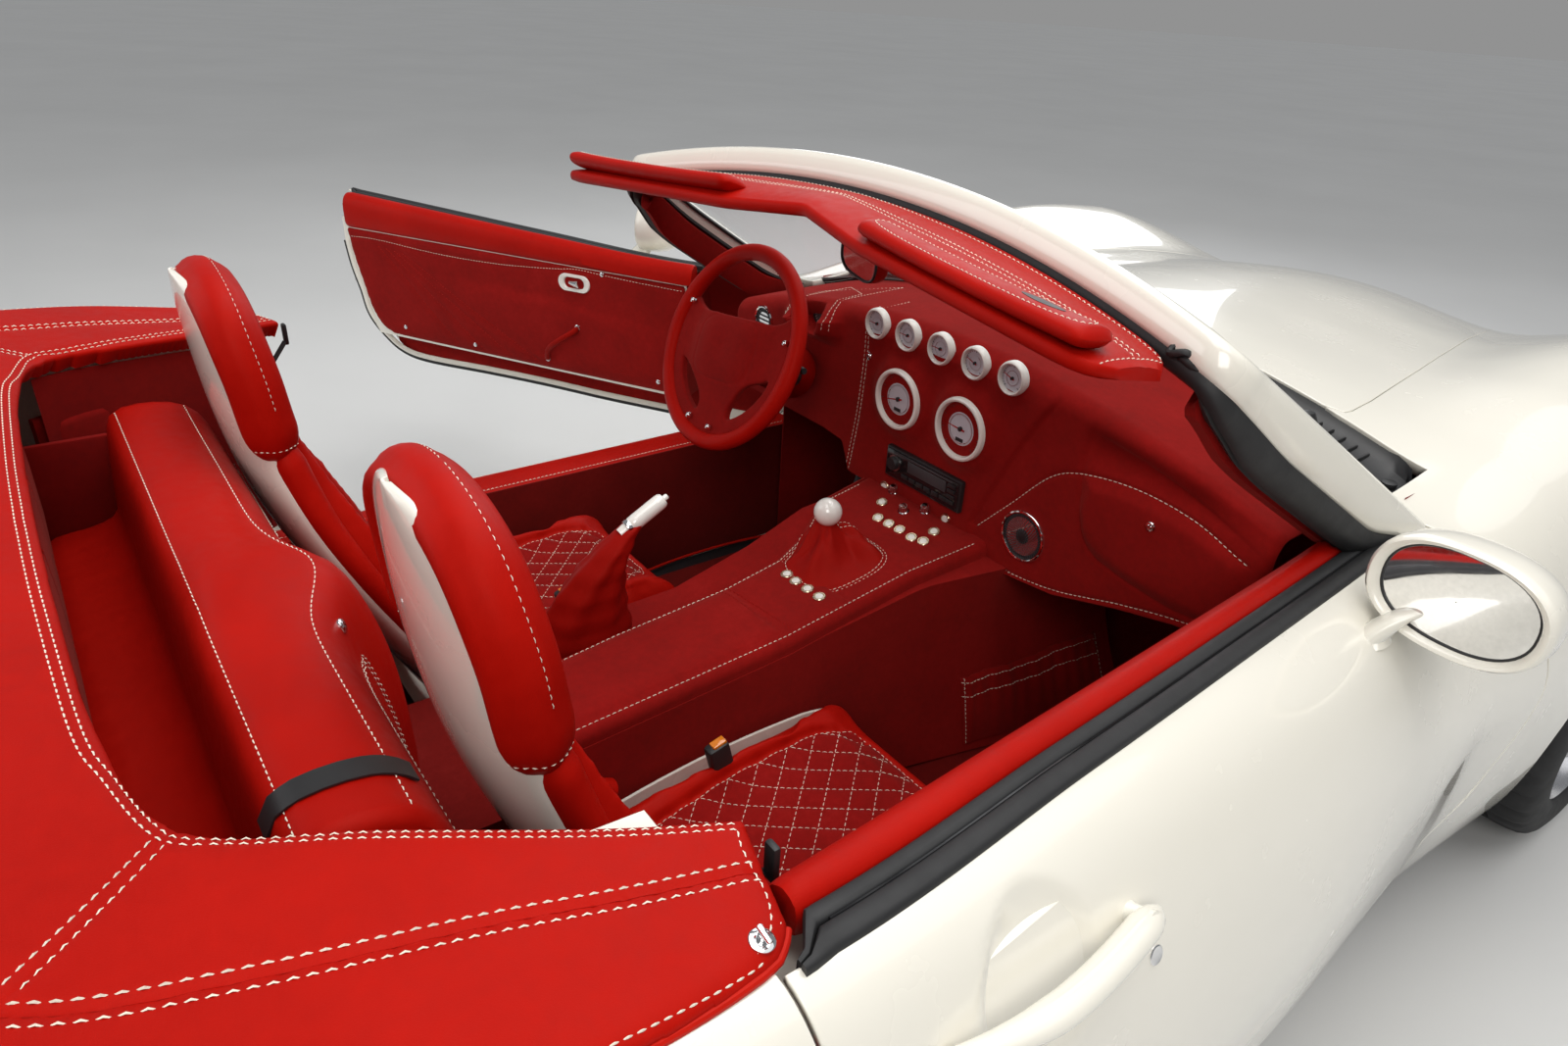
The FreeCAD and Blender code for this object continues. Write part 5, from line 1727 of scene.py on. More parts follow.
def trim_path(pts, lift=0.1):
    return [(vec(trim_point(f, z, lift)), vec((-0.0959, -0.9954, 0))) for f, z in pts]


def along(points, n=60):
    return [(p[0], p[1]) for p in smooth_path([(a, b, 0) for a, b in points], n)]


def rail_rings():
    rings = []
    fs = np.concatenate([np.linspace(-603, -585, 5), np.linspace(-570, 415, 60), np.linspace(422, 434, 4)])
    n = len(fs)
    for i, f in enumerate(fs):
        lc = float(C_LC(f))
        lo, li = lc - 33.0, door_inner(f)
        zt = top_z(f, lo - 8)
        ring = [(lo, zt - 26), (lo + 0.5, zt - 6), (lo - 2, zt + 2), (lo - 9, zt + 6.5), (lo - 18, zt + 8), (li + 15, zt + 6.5), (li + 6, zt + 1), (li, zt - 8),
                (li - 4, zt - 20), (li - 5, zt - 36), (li - 4, 760), (li - 1, 752), (li + 8, 750), (li + 20, zt - 40)]
        c = np.mean(ring, axis=0)
        e = min(i, n - 1 - i)
        k = (0.90, 0.96, 0.985, 0.995)[e] if e < 4 else 1.0
        rings.append([(f, c[0] + (a - c[0]) * k, c[1] + (b - c[1]) * k) for a, b in ring])
    return rings


def strip_rings(offs):
    rings = []
    for f in np.linspace(446, -630, 110):
        lc = float(C_LC(f))
        squeeze = min(1.0, max(0.0, (-600 - f) / 24.0))
        ring = []
        for off, up in offs:
            o = off * (1 - squeeze) + squeeze * (4.0 + (off + 16) * 0.28)
            ring.append((f, lc + o, surf_z(f, lc + o) + up))
        rings.append(ring)
    return rings


def build_door(body, move, is_left):
    sheet = door_sheet if is_left else mirror_sheet(door_sheet)
    side = "left" if is_left else "right"
    skin = panel(side + "_door_skin", [sheet], PAINT, body, 6.0, 1.8, move=swing if is_left else None)
    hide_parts(side + "_door_shell")
    core = Moved(move)
    for v, f in door_core():
        core.add(v, f, PAINT)
    core_obj = core.done(side + "_door_frame", body, 28)
    # waist strip, padded rail, seals
    h = Moved(move)
    outer = [(7.0, -4.0), (7.5, 1.0), (6.0, 4.5), (3.0, 6.0), (-4.0, 6.6), (-11.0, 6.2), (-13.5, 4.0), (-14.0, -6.0)]
    h.add(*rings_mesh(strip_rings(outer)), RUBBER)
    inner = [(-15.5, -6.0), (-16.0, 2.5), (-18.0, 4.6), (-23.0, 5.2), (-29.0, 4.8), (-31.5, 2.8), (-32.0, -6.0)]
    h.add(*rings_mesh(strip_rings(inner)), RUBBER)
    # the window's scraper lip between them
    lip = []
    for f in np.linspace(430, -590, 60):
        lc = float(C_LC(f))
        lip.append((f, lc - 14.8, surf_z(f, lc - 14.8) + 3.2))
    h.add(*tube(lip, 1.5, 6), BLACK_GLOSS)
    # the door's lower edge: red inner face, painted lip, seal under it
    face = []
    for f in np.linspace(411, -505, 60):
        z = lip_z(f)
        face.append([(f, 767.5, 474), (f, 765.8, 470), (f, 765.8, 0.5 * (470 + z)), (f, 765.8, z + 2), (f, 768.0, z - 2)])
    h.add(*rings_mesh(face, False, False), SUEDE)
    # the trim turns the corner at the front and runs to the door's front edge
    for z_list in (np.linspace(398, 470, 6), np.linspace(473, 770, 16)):
        rows = []
        for z in z_list:
            li = 768.0 if z < 471 else door_inner(421) + 2.0
            s0 = float(side_l(424, z)) - 57.5
            f1 = outline_at(z, False) - 22.0
            rows.append([(421.6, li + 0.5, z), (424.6, li + 8, z), (424.6, 0.5 * (li + s0), z), (424.6, s0 - 8, z), (428, s0 - 1.5, z)] + [(f, float(side_l(f, z)) - 58.0, z) for f in np.linspace(436, f1, 8)])
        h.add(*rings_mesh(rows, False, False), SUEDE)
    lip = [vec((p[0], p[2] - 1.0, p[1])) for p in LIP_LINE]
    h.add(*tube(lip, 7.5, 14, hint=(0, 1, 0), flat=0.62), PAINT)
    low = [vec((p[0] + 12.5 * d, p[2] + 4.5, p[1] - 12.5 * c)) for p, c, d in ((q, math.cos(t), -math.sin(t)) for q, t in ((q, float(np.interp(q[0], [-600, -560, -520, -470, -420, 420], [1.25, 1.1, 0.95, 0.5, 0.08, 0.0]))) for q in LIP_LINE))]
    h.add(*tube(low, 5.6, 10), RUBBER)
    edge = [(outline_at(z, True) + 8, door_inner(-612) + 16 + (float(side_l(-620, z)) - 30 - door_inner(-612) - 16) * 0.5, z) for z in np.linspace(480, 760, 20)]
    h.add(*tube(edge, 5.0, 8), RUBBER)
    # latch plate on the rear edge, with two screw heads
    zf = outline_at(640, True)
    h.add(*rbox((zf + 13.0, 792, 640), (9, 44, 92), 1.2), STEEL)
    h.add(*rbox((zf + 8.0, 786, 640), (3, 14, 46), 1.2), DARK)
    for z in (625, 668):
        h.add(*lathe((zf + 9.0, 806, z), (-1, 0, 0), [(0, 5), (1.6, 5), (2.2, 3.6), (2.2, 0.01)], 14), STEEL)
    h.done(side + "_door_strips_and_seals", body, 40)
    rail = Moved(move)
    rail.add(*rings_mesh(rail_rings()), LEATHER)
    rail_obj = rail.done(side + "_door_padded_rail", body, 60)
    # soft trim panel
    fs, zs = np.linspace(-612, 420, 130), np.linspace(477, 750, 42)
    gf, gz = np.meshgrid(fs, zs, indexing="ij")
    bulge = trim_bulge(gf.ravel(), gz.ravel()).reshape(gf.shape)
    diag = []
    for k in range(4):
        line = [(-500 + 26 * k, 716 - 3 * k), (-258 + 86 * k, 492)]
        diag.append(line)
    seam_line = along([(-590, 728), (-500, 731), (-300, 722), (-120, 724), (40, 736), (120, 745), (200, 742), (330, 739), (412, 738)], 80)
    flat = np.stack([gf.ravel(), gz.ravel()], 1)
    d = np.minimum.reduce([line_dist(flat, line) for line in diag])
    groove = 2.2 * np.exp(-(d / 5.0) ** 2) + 2.0 * np.exp(-(line_dist(flat, seam_line) / 4.0) ** 2)
    crease = along([(-60, 660), (40, 668), (140, 655), (260, 624), (400, 600)], 40)
    groove = groove + 1.4 * np.exp(-(line_dist(flat, crease) / 9.0) ** 2)
    b = bulge - groove.reshape(gf.shape)
    pts = np.stack([gf - 0.0959 * b, 634.0 + 106.0 * (440.0 - gf) / 1100.0 - 0.9954 * b, gz], 2)
    g = grid_sheet(pts)
    if g.n[len(g.n) // 2][1] > 0:
        g = grid_sheet(pts, flip=True)
    g = clip(g, lambda p: panel_sdf(np.stack([p[:, 0], p[:, 2]], 1)) + 0.5)
    if not is_left:
        g = mirror_sheet(g)
    trim = panel(side + "_door_trim_leather", [g], SUEDE, body, 9.0, 2.5, move=swing if is_left else None)
    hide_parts(side + "_door_trim")
    h = Moved(move)
    tree = BVHTree.FromPolygons([P(*p) for p in pts.reshape(-1, 3)], [list(f) for f in grid_sheet(pts).faces])

    def on_trim(line, lift=0.15):
        return cast([(f, door_inner(f) - 60, z) for f, z in line], (0, 1, 0), tree, lift)

    stitches(h, on_trim(seam_line), pitch=8.5, length=6.0, r=0.7)
    for line in diag:
        stitches(h, on_trim([(line[0][0] + (line[1][0] - line[0][0]) * k / 30.0, line[0][1] + (line[1][1] - line[0][1]) * k / 30.0) for k in range(31)]), pitch=8.5, length=6.0, r=0.6, mat=PIPING)
    n_in = vec((-0.0959, -0.9954, 0))
    t_in = vec((0.9954, -0.0959, 0))
    up = vec((0, 0, 1))
    # release plate with its lever
    c = vec(trim_point(115, 712, 2.2))
    ring = []
    for k in range(48):
        a = 2 * math.pi * k / 48
        x, y = 24 * (1 if math.cos(a) > 0 else -1) + 21 * math.cos(a), 21 * math.sin(a)
        ring.append((x, y))
    plate = [[c + t_in * x * s + up * y * s + n_in * o for x, y in ring] for s, o in ((1.0, -3.0), (1.0, 1.2), (0.97, 2.6), (0.70, 2.6), (0.66, 1.4), (0.62, -4.0), (0.2, -4.2))]
    h.add(*rings_mesh(plate[:6], True, False), BEZEL)
    h.add(*rings_mesh([plate[5], plate[6]]), BLACK)
    h.add(*tube([c + t_in * -12 + n_in * 0, c + t_in * 2 + n_in * 3.5, c + t_in * 15 + n_in * 5.5], [4.5, 6.5, 8.5], 14), CHROME)
    # grab strap with its two caps; the strap in the darker leather, painted shade
    pull = along([(30, 506), (44, 538), (78, 566), (118, 594), (124, 604)], 22)
    path = [vec(trim_point(f, z, 4 + 15 * math.sin(math.pi * i / 21.0))) for i, (f, z) in enumerate(pull)]
    h.add(*tube(path, 7.0, 12, hint=(0, 1, 0), flat=0.6), LEATHER_SHADED)
    for f, z in ((30, 506), (124, 604)):
        h.add(*lathe(trim_point(f, z, -0.5), n_in, [(0, 7), (2.4, 7), (3.4, 5.4), (3.6, 0.01)], 18), CHROME)
    for f, z in ((193, 744), (-435, 506), (352, 506), (-200, 500)):
        h.add(*lathe(trim_point(f, z, 0.2), n_in, [(-1, 5.5), (1.0, 5.5), (2.0, 4.0), (2.2, 0.01)], 16), CHROME)
    # outer handle over its cup
    path = []
    for k in range(26):
        q = k / 25.0
        f, z = -308 - 246 * q, 737 + 15 * q - 5 * math.sin(q * math.pi)
        n = surf_n(f, z)
        off = 9 + 19 * math.sin(min(1.0, (q + 0.12) * 1.3) * math.pi / 2) * (1 - max(0.0, (q - 0.55) / 0.45) ** 2 * 1.05)
        path.append(vec((f, float(side_l(f, z)), z)) + n * off)
    radius = [14.0 * math.sqrt(max(0.02, 1 - (1 - min(1.0, (k + 0.2) / 3.2)) ** 2)) * (1 - 0.42 * max(0.0, (k - 16) / 9.0)) for k in range(26)]
    h.add(*tube(path, radius, 18, hint=(0, 0, 1), flat=0.82), PAINT)
    f, z = -326, 738
    n = surf_n(f, z)
    base = vec((f, float(side_l(f, z)), z))
    h.add(*lathe(base, n, [(-3, 12), (0, 11), (4, 9.5), (16, 9), (24, 9)], 20), PAINT)
    # key barrel below it
    f, z = -300, 690
    n = surf_n(f, z)
    h.add(*lathe(vec((f, float(side_l(f, z)), z)), n, [(-3, 9), (1.0, 9), (1.6, 8), (1.2, 6.2), (1.0, 0.01)], 24), CHROME)
    h.done(side + "_door_fittings", body, 38)
    # mirror
    h = Moved(move)
    c = vec((258, 844, 837))
    prof = [(-16, 0.84, 0), (-24, 0.87, 0), (-28, 0.91, 0), (-29, 0.95, 0), (-26, 0.985, 0), (-16, 1.0, 0), (0, 1.0, 0), (18, 0.975, 0), (36, 0.90, 0), (52, 0.78, 0), (64, 0.62, 0), (72, 0.44, 0), (77, 0.22, 0), (78, 0.03, 0)]
    rings = []
    for df, k, _ in prof:
        ring = []
        for i in range(56):
            a = 2 * math.pi * i / 56
            e = 0.86
            x = math.copysign(abs(math.cos(a)) ** e, math.cos(a))
            y = math.copysign(abs(math.sin(a)) ** e, math.sin(a))
            ring.append(c + vec((df - 5 * x * (df < 0), 97 * k * x, 65 * k * y)))
        rings.append(ring)
    h.add(*rings_mesh(rings, True, False), PAINT)
    glass_ring = [p + vec((-1.0, 0, 0)) for p in rings[0]]
    centre = c + vec((-17, 0, 0))
    dish = [[centre + (p - centre) * k + vec((3.0 * (k * k - 1), 0, 0)) for p in glass_ring] for k in (0.999, 0.9, 0.7, 0.5, 0.3, 0.1, 0.01)]
    h.add(*rings_mesh([[p + vec((2, 0, 0)) for p in dish[0]]] + dish, True, False), MIRROR)
    h.add(*tube([p + vec((-1.5, 0, 0)) for p in rings[0]], 1.8, 8, closed=True, caps=False), BLACK)
    st = []
    for q in np.linspace(0, 1, 12):
        base = vec((224, 778, 758)) * (1 - q) + vec((252, 812, 806)) * q
        base = base + vec((0, 0, 6)) * math.sin(q * math.pi)
        wf, wl = 30 - 14 * q, 17 - 7 * q
        if q == 0:
            wf, wl = 37, 24
        st.append([base + vec((wf * math.cos(a), wl * math.sin(a), 0)) for a in [2 * math.pi * i / 28 for i in range(28)]])
    h.add(*rings_mesh(st), PAINT)
    mirror = h.done(side + "_mirror_housing", body, 50)
    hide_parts(side + "_door_mirror")


build_door("left_door", swing, True)
build_door("right_door", across, False)
# ------------------------------------------------------------------ windscreen frame, glass, header trim, visors, mirror
SLOPE_N = vec((0.512, 0.0, 0.859))


def screen(u, v, t=0.0):
    """u across, v from the header (0) to the base (1), t out along the screen's normal."""
    a = vec((119 - 0.00018 * u * u, u, 1163 - 0.0002 * u * u))
    b = vec((560 - 0.000122 * u * u, u, 900 - 0.00021 * u * u))
    return a + (b - a) * v + SLOPE_N * t


def pillar(v):
    return 606 + 97 * math.sqrt(max(0.0, v))


def frame_loop(side):
    """Stations up one pillar, over the header and down the other: (u, v)."""
    out = []
    for v in np.linspace(1.0, 0.10, 26):
        out.append((side * pillar(v), v))
    # rounded corner at the top
    r_v, r_u = 0.10, 44.0
    for k in range(1, 12):
        a = math.pi / 2 * k / 12
        v = r_v * (1 - math.sin(a))
        out.append((side * (pillar(r_v) - r_u * (1 - math.cos(a)) + 0), v + 0.0))
    for u in np.linspace(pillar(r_v) - r_u, 0, 40):
        out.append((side * u, 0.0))
    return out


left_half = frame_loop(1)
right_half = frame_loop(-1)[::-1]
loop_uv = left_half + right_half[1:]


def frame_depth(v, on_header):
    """How deep the frame is along the screen's normal: deepest half way down the pillars."""
    if on_header:
        return 40.0
    rise, fall = min(1.0, v / 0.34), min(1.0, max(0.0, (v - 0.74) / 0.26))
    return 40.0 + 13.0 * rise * rise * (3 - 2 * rise) - 25.0 * fall * fall * (3 - 2 * fall)


def sweep_frame(profile, shift=False):
    """profile: (outwards, along the normal) in mm, swept over the screen's outline. shift moves it with the frame's inner face."""
    pts = [screen(u, v) for u, v in loop_uv]
    rings = []
    n = len(pts)
    for i, p in enumerate(pts):
        t = unit(pts[min(i + 1, n - 1)] - pts[max(i - 1, 0)])
        out = unit(np.cross(t, SLOPE_N))
        if out @ (p - screen(0, 0.5)) < 0:
            out = -out
        deep = frame_depth(loop_uv[i][1], abs(loop_uv[i][0]) < 540)
        if shift:
            wide = 1.0 if abs(loop_uv[i][0]) < 540 else 1.0 + 1.1 * min(1.0, loop_uv[i][1] / 0.2)
            rings.append([p + out * (a + 3.0 * (wide - 1)) + SLOPE_N * (-27 + (b + 27) * wide - (deep - 28.0)) for a, b in profile])
        else:
            rings.append([p + out * a + SLOPE_N * (b if b > -6 else -6 + (b + 6) * (deep - 6) / 22.0) for a, b in profile])
    return rings_mesh(rings)


h = Heap()
bowed = [(-44, -27), (-46, -20), (-46, -14), (-44, -8), (-38, -3), (-28, 1.5), (-16, 3.6), (-4, 3.4), (4, 1.5), (8, -3), (9, -10), (8, -18), (5, -25), (0, -28), (-20, -29)]
h.add(*sweep_frame(bowed), PAINT)
frame_obj = h.done("windscreen_frame_skin", "body", 50, clean=True)
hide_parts("windscreen_frame")

# glass: a curved pane 5 mm thick
gu, gv = 40, 26
grid_top, grid_low = [], []
for i in range(gv + 1):
    v = 0.035 + (0.99 - 0.035) * i / gv
    row_t, row_l = [], []
    for j in range(gu + 1):
        w = (pillar(v) - 38) * (2.0 * j / gu - 1)
        row_t.append(screen(w, v, -11.0))
        row_l.append(screen(w, v, -15.5))
    grid_top.append(row_t)
    grid_low.append(row_l)
vv = [tuple(p) for r in grid_top for p in r] + [tuple(p) for r in grid_low for p in r]
m = gu + 1
k0 = (gv + 1) * m
ff = []
for i in range(gv):
    for j in range(gu):
        a, b, c, d = i * m + j, i * m + j + 1, (i + 1) * m + j + 1, (i + 1) * m + j
        ff.append((a, b, c, d))
        ff.append((k0 + d, k0 + c, k0 + b, k0 + a))
rim = [j for j in range(m)] + [i * m + gu for i in range(1, gv + 1)] + [gv * m + j for j in range(gu - 1, -1, -1)] + [i * m for i in range(gv - 1, 0, -1)]
for a, b in zip(rim, rim[1:] + rim[:1]):
    ff.append((b, a, k0 + a, k0 + b))
glass_obj = make("windscreen_pane", vv, ff, GLASS, "body", 40)
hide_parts("windscreen_glass")

h = Heap()
# rubbers on both faces of the pane, and the black band on its inner edge
for t0, t1, wide in ((-9.5, -6.0, 9), (-16.5, -22.0, 13)):
    h.add(*sweep_frame([(-46 + wide, t0), (-47, t0), (-49 - 0.3 * wide, (t0 + t1) / 2), (-47, t1), (-40, t1), (-40, t0)]), RUBBER)
# seal the hood closes on: broad double-lip rubber along the inner face of the pillars and header
seal_prof = [(0, -27), (1, -35), (-4, -42), (-12, -45), (-16, -39.5), (-20, -45), (-30, -43), (-36, -34), (-35, -27)]
h.add(*sweep_frame(seal_prof, True), RUBBER)
# red trim inside the seal
h.add(*sweep_frame([(-35, -27), (-35, -40), (-38, -45), (-53, -46), (-58, -41), (-57, -22), (-46, -18)], True), SUEDE)
# crumpled corner pieces of the seal
for side in (1, -1):
    for k, (u, v, s) in enumerate(((588, 0.01, 1.0), (600, 0.045, 0.9), (606, 0.085, 0.8), (572, -0.006, 0.8))):
        c = screen(side * u, v, -36)
        pts = []
        for q in range(15):
            a = 2 * math.pi * q / 15
            pts.append(c + vec((math.cos(a) * 6, side * math.sin(a) * 15 * s, math.sin(a * 2 + k) * 3)))
        h.add(*tube(pts, 5.2 * s, 8, closed=True, caps=False), RUBBER)
    # locking tab at the corner
    h.add(*rbox(screen(side * 604, 0.11, -44), (26, 9, 12), 2.5), BLACK)
h.done("windscreen_seals", "body", 45)

# header trim: a broad padded leather band behind the header, with two seams
def trim_edge(u):
    """Rear edge of the band at u: (f, z)."""
    q = abs(u)
    return float(np.interp(q, [0, 154, 566, 580], [-24, -58, -112, -112])), float(np.interp(q, [0, 154, 566], [1122, 1106, 1082]))


def trim_rings():
    rings = []
    n = 90
    for i in range(n):
        u = -582 + 1164.0 * i / (n - 1)
        e = min(i, n - 1 - i)
        k = (0.55, 0.80, 0.92, 0.97, 0.99)[e] if e < 5 else 1.0
        a = screen(u, 0.0) + vec((-30, 0, -40))
        fr, zr = trim_edge(u)
        ring = []
        for q in np.linspace(0, 1, 16):
            seam_dip = 1.8 * math.exp(-((q - 0.42) / 0.035) ** 2)
            ring.append(vec((a[0] + (fr - a[0]) * q, u, a[2] + (zr - a[2]) * q + 7.0 * math.sin(math.pi * q) ** 0.7 - seam_dip)))
        for t in np.linspace(0.25, 2.9, 8):
            ring.append(vec((fr - 6 * math.sin(t), u, zr - 9 + 9 * math.cos(t))))
        for q in np.linspace(0.95, 0.0, 9):
            ring.append(vec((a[0] + (fr - a[0]) * q, u, a[2] + (zr - a[2]) * q - 20.0)))
        mid = vec((0.5 * (a[0] + fr), u, 0.5 * (a[2] + zr) - 8))
        rings.append([mid + (p - mid) * k for p in ring])
    return rings


v_, f_ = rings_mesh(trim_rings())
trim = make("header_trim_leather", v_, f_, LEATHER, "body", 60)
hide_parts("header_trim")
tt = bvh_of(trim)
h = Heap()
for q in (0.10, 0.38, 0.46):
    line = []
    for u in np.linspace(-566, 566, 150):
        a, (fr, zr) = screen(u, 0.0) + vec((-30, 0, -40)), trim_edge(u)
        line.append((a[0] + (fr - a[0]) * q, u, 1400))
    stitches(h, cast(line, (0, 0, -1), tt, 0.1), pitch=8.5, length=6.2, r=0.8)
for s_ in (1, -1):
    line = []
    for q in np.linspace(0.12, 0.9, 20):
        u = s_ * 570
        a, (fr, zr) = screen(u, 0.0) + vec((-30, 0, -40)), trim_edge(u)
        line.append((a[0] + (fr - a[0]) * q, u, 1400))
    stitches(h, cast(line, (0, 0, -1), tt, 0.1), pitch=8.5, length=6.2, r=0.8)
h.done("header_trim_stitching", "body")

# sun visors: long flat padded rolls with a stitched outline
for side in (1, -1):
    a, b = vec((-36, side * 152, 1121)), vec((-90, side * 560, 1097))
    d = unit(b - a)
    upn = unit(vec((0.25, 0, 1)) - d * (vec((0.25, 0, 1)) @ d))
    wn = np.cross(d, upn)
    length = np.linalg.norm(b - a)
    rings = []
    n = 52
    for i in range(n):
        q = i / (n - 1.0)
        k = math.sqrt(max(0.0, 1 - max(0.0, abs(q - 0.5) * 2 - 0.93) ** 2 / 0.07 ** 2)) if abs(q - 0.5) * 2 > 0.93 else 1.0
        k = max(k, 0.12)
        c = a + d * length * q + upn * (-3.0 * math.sin(q * math.pi))
        ring = []
        for j in range(24):
            t = 2 * math.pi * j / 24
            x = math.copysign(abs(math.cos(t)) ** 0.8, math.cos(t)) * 27 * (0.62 + 0.38 * k)
            y = math.copysign(abs(math.sin(t)) ** 0.9, math.sin(t)) * 12.5 * k
            ring.append(c + wn * x + upn * (y - 0.10 * x))
        rings.append(ring)
    v_, f_ = rings_mesh(rings)
    name = ("left" if side > 0 else "right") + "_sun_visor"
    visor = make(name, v_, f_, LEATHER, "body", 60)
    if side > 0:
        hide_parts("sun_visors")
    tv = bvh_of(visor)
    h = Heap()
    outline = []
    for k in range(90):
        t = 2 * math.pi * k / 90
        x = math.copysign(abs(math.cos(t)) ** 0.35, math.cos(t)) * (length / 2 - 15)
        y = math.copysign(abs(math.sin(t)) ** 0.55, math.sin(t)) * 19
        outline.append(a + d * (length / 2 + x) + wn * y + upn * 60)
    outline.append(outline[0])
    stitches(h, cast(outline, -upn, tv, 0.1), pitch=8.0, length=5.8, r=0.7)
    if side < 0:
        # a black piece painted in as the shade in the gap of the folded vanity flap
        c = a + d * length * 0.79 + upn * 13.2
        lens = []
        for k in range(30):
            t = 2 * math.pi * k / 30
            x, y = 34 * math.cos(t), 7.5 * math.sin(t) * abs(math.sin(t)) ** 0.3
            lens.append(c + d * x + wn * (y + 2))
        path = cast([p + upn * 40 for p in lens], -upn, tv, 0.5)
        ring = [p for p, _ in path]
        if len(ring) > 6:
            mid = sum(ring) / len(ring)
            low = [p - upn * 1.2 for p in ring]
            h.add(*rings_mesh([low, ring, [mid + (p - mid) * 0.6 for p in ring], [mid + (p - mid) * 0.05 for p in ring]]), BLACK)
    h.done(name + "_details", "body")

# interior mirror
h = Heap()
c = vec((97, 0, 1035))
n_back = unit(vec((-1.0, 0.34, 0.05)))
ax = unit(np.cross((0, 0, 1), n_back))
upm = np.cross(n_back, ax)
rings = []
for df, k in ((12, 0.30), (11, 0.62), (8, 0.84), (3, 0.95), (-4, 1.0), (-9, 1.0), (-11.5, 0.975), (-12.5, 0.94), (-12.5, 0.9)):
    ring = []
    for j in range(48):
        t = 2 * math.pi * j / 48
        x = math.copysign(abs(math.cos(t)) ** 0.6, math.cos(t)) * 70 * (1 - (1 - k) * 0.45)
        z = math.copysign(abs(math.sin(t)) ** 0.75, math.sin(t)) * 31 * k
        ring.append(c - n_back * df + ax * x + upm * z)
    rings.append(ring)
h.add(*rings_mesh(rings, True, True), LEATHER)
face = [c + n_back * 12.9 + (p - c - n_back * 12.5) * 1.0 for p in rings[-1]]
mid = sum(face) / len(face)
h.add(*rings_mesh([[mid + (p - mid) * k for p in face] for k in (0.97, 0.9, 0.6, 0.3, 0.02)], True, False), MIRROR)
h.add(*tube([p + n_back * 0.6 for p in rings[-2]], 2.2, 8, closed=True, caps=False), BLACK)
h.add(*tube([c - n_back * 8, vec((125, 0, 1058)), vec((134, 0, 1090)), vec((126, 0, 1122))], [8, 7, 8, 13], 16), BLACK)
h.add(*lathe(c - n_back * 8, n_back, [(-9, 9), (-2, 12), (3, 12)], 20), BLACK)
mir = h.done("interior_mirror_skin", "body", 45)
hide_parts("interior_mirror")
# ------------------------------------------------------------------ dashboard
def near_line(l, z, pts):
    """Distance from points (l, z) to a polyline."""
    q = np.stack([np.asarray(l, float).ravel(), np.asarray(z, float).ravel()], 1)
    return line_dist(q, pts).reshape(np.shape(l))


def curve2(pts, n=60):
    return [(p[0], p[1]) for p in smooth_path([(a, b, 0) for a, b in pts], n)]


BIG = [(77, 750), (-77, 750)]
SMALL = [(160, 863), (80, 864), (0, 864), (-80, 864), (-160, 864)]
R_SEAM = curve2([(-268, 884), (-244, 847), (-193, 755), (-158, 678), (-128, 612), (-118, 590)])
L_SEAM = curve2([(196, 884), (192, 860), (190, 782), (196, 683), (206, 610), (214, 560)])
BROW = curve2([(-352, 872), (-322, 845), (-311, 777), (-322, 700), (-346, 650), (-395, 632), (-510, 622), (-588, 640)])
LINE_A = curve2([(-128, 586), (-190, 656), (-259, 733), (-321, 761), (-412, 772), (-509, 764), (-592, 738)], 90)
LINE_B = curve2([(-122, 552), (-189, 534), (-301, 548), (-418, 585), (-513, 610), (-590, 622)], 90)
SPEAKER = (-226, 612)
VENTS = [(470, 760)]


def top_line(l):
    return 0.5 * (top_z(300.0, l) + top_z(420.0, l)) - 9.0


def low_line(l):
    """Lower edge of the dash face across the car."""
    l = np.asarray(l, float)
    right = np.interp(-l, [118, 150, 190, 301, 418, 513, 600], [556, 540, 526, 540, 577, 602, 612])
    left = np.interp(l, [118, 170, 214, 240, 300, 600], [556, 556, 556, 606, 612, 612])
    return np.where(l < -118, right, np.where(l > 118, left, 556.0))


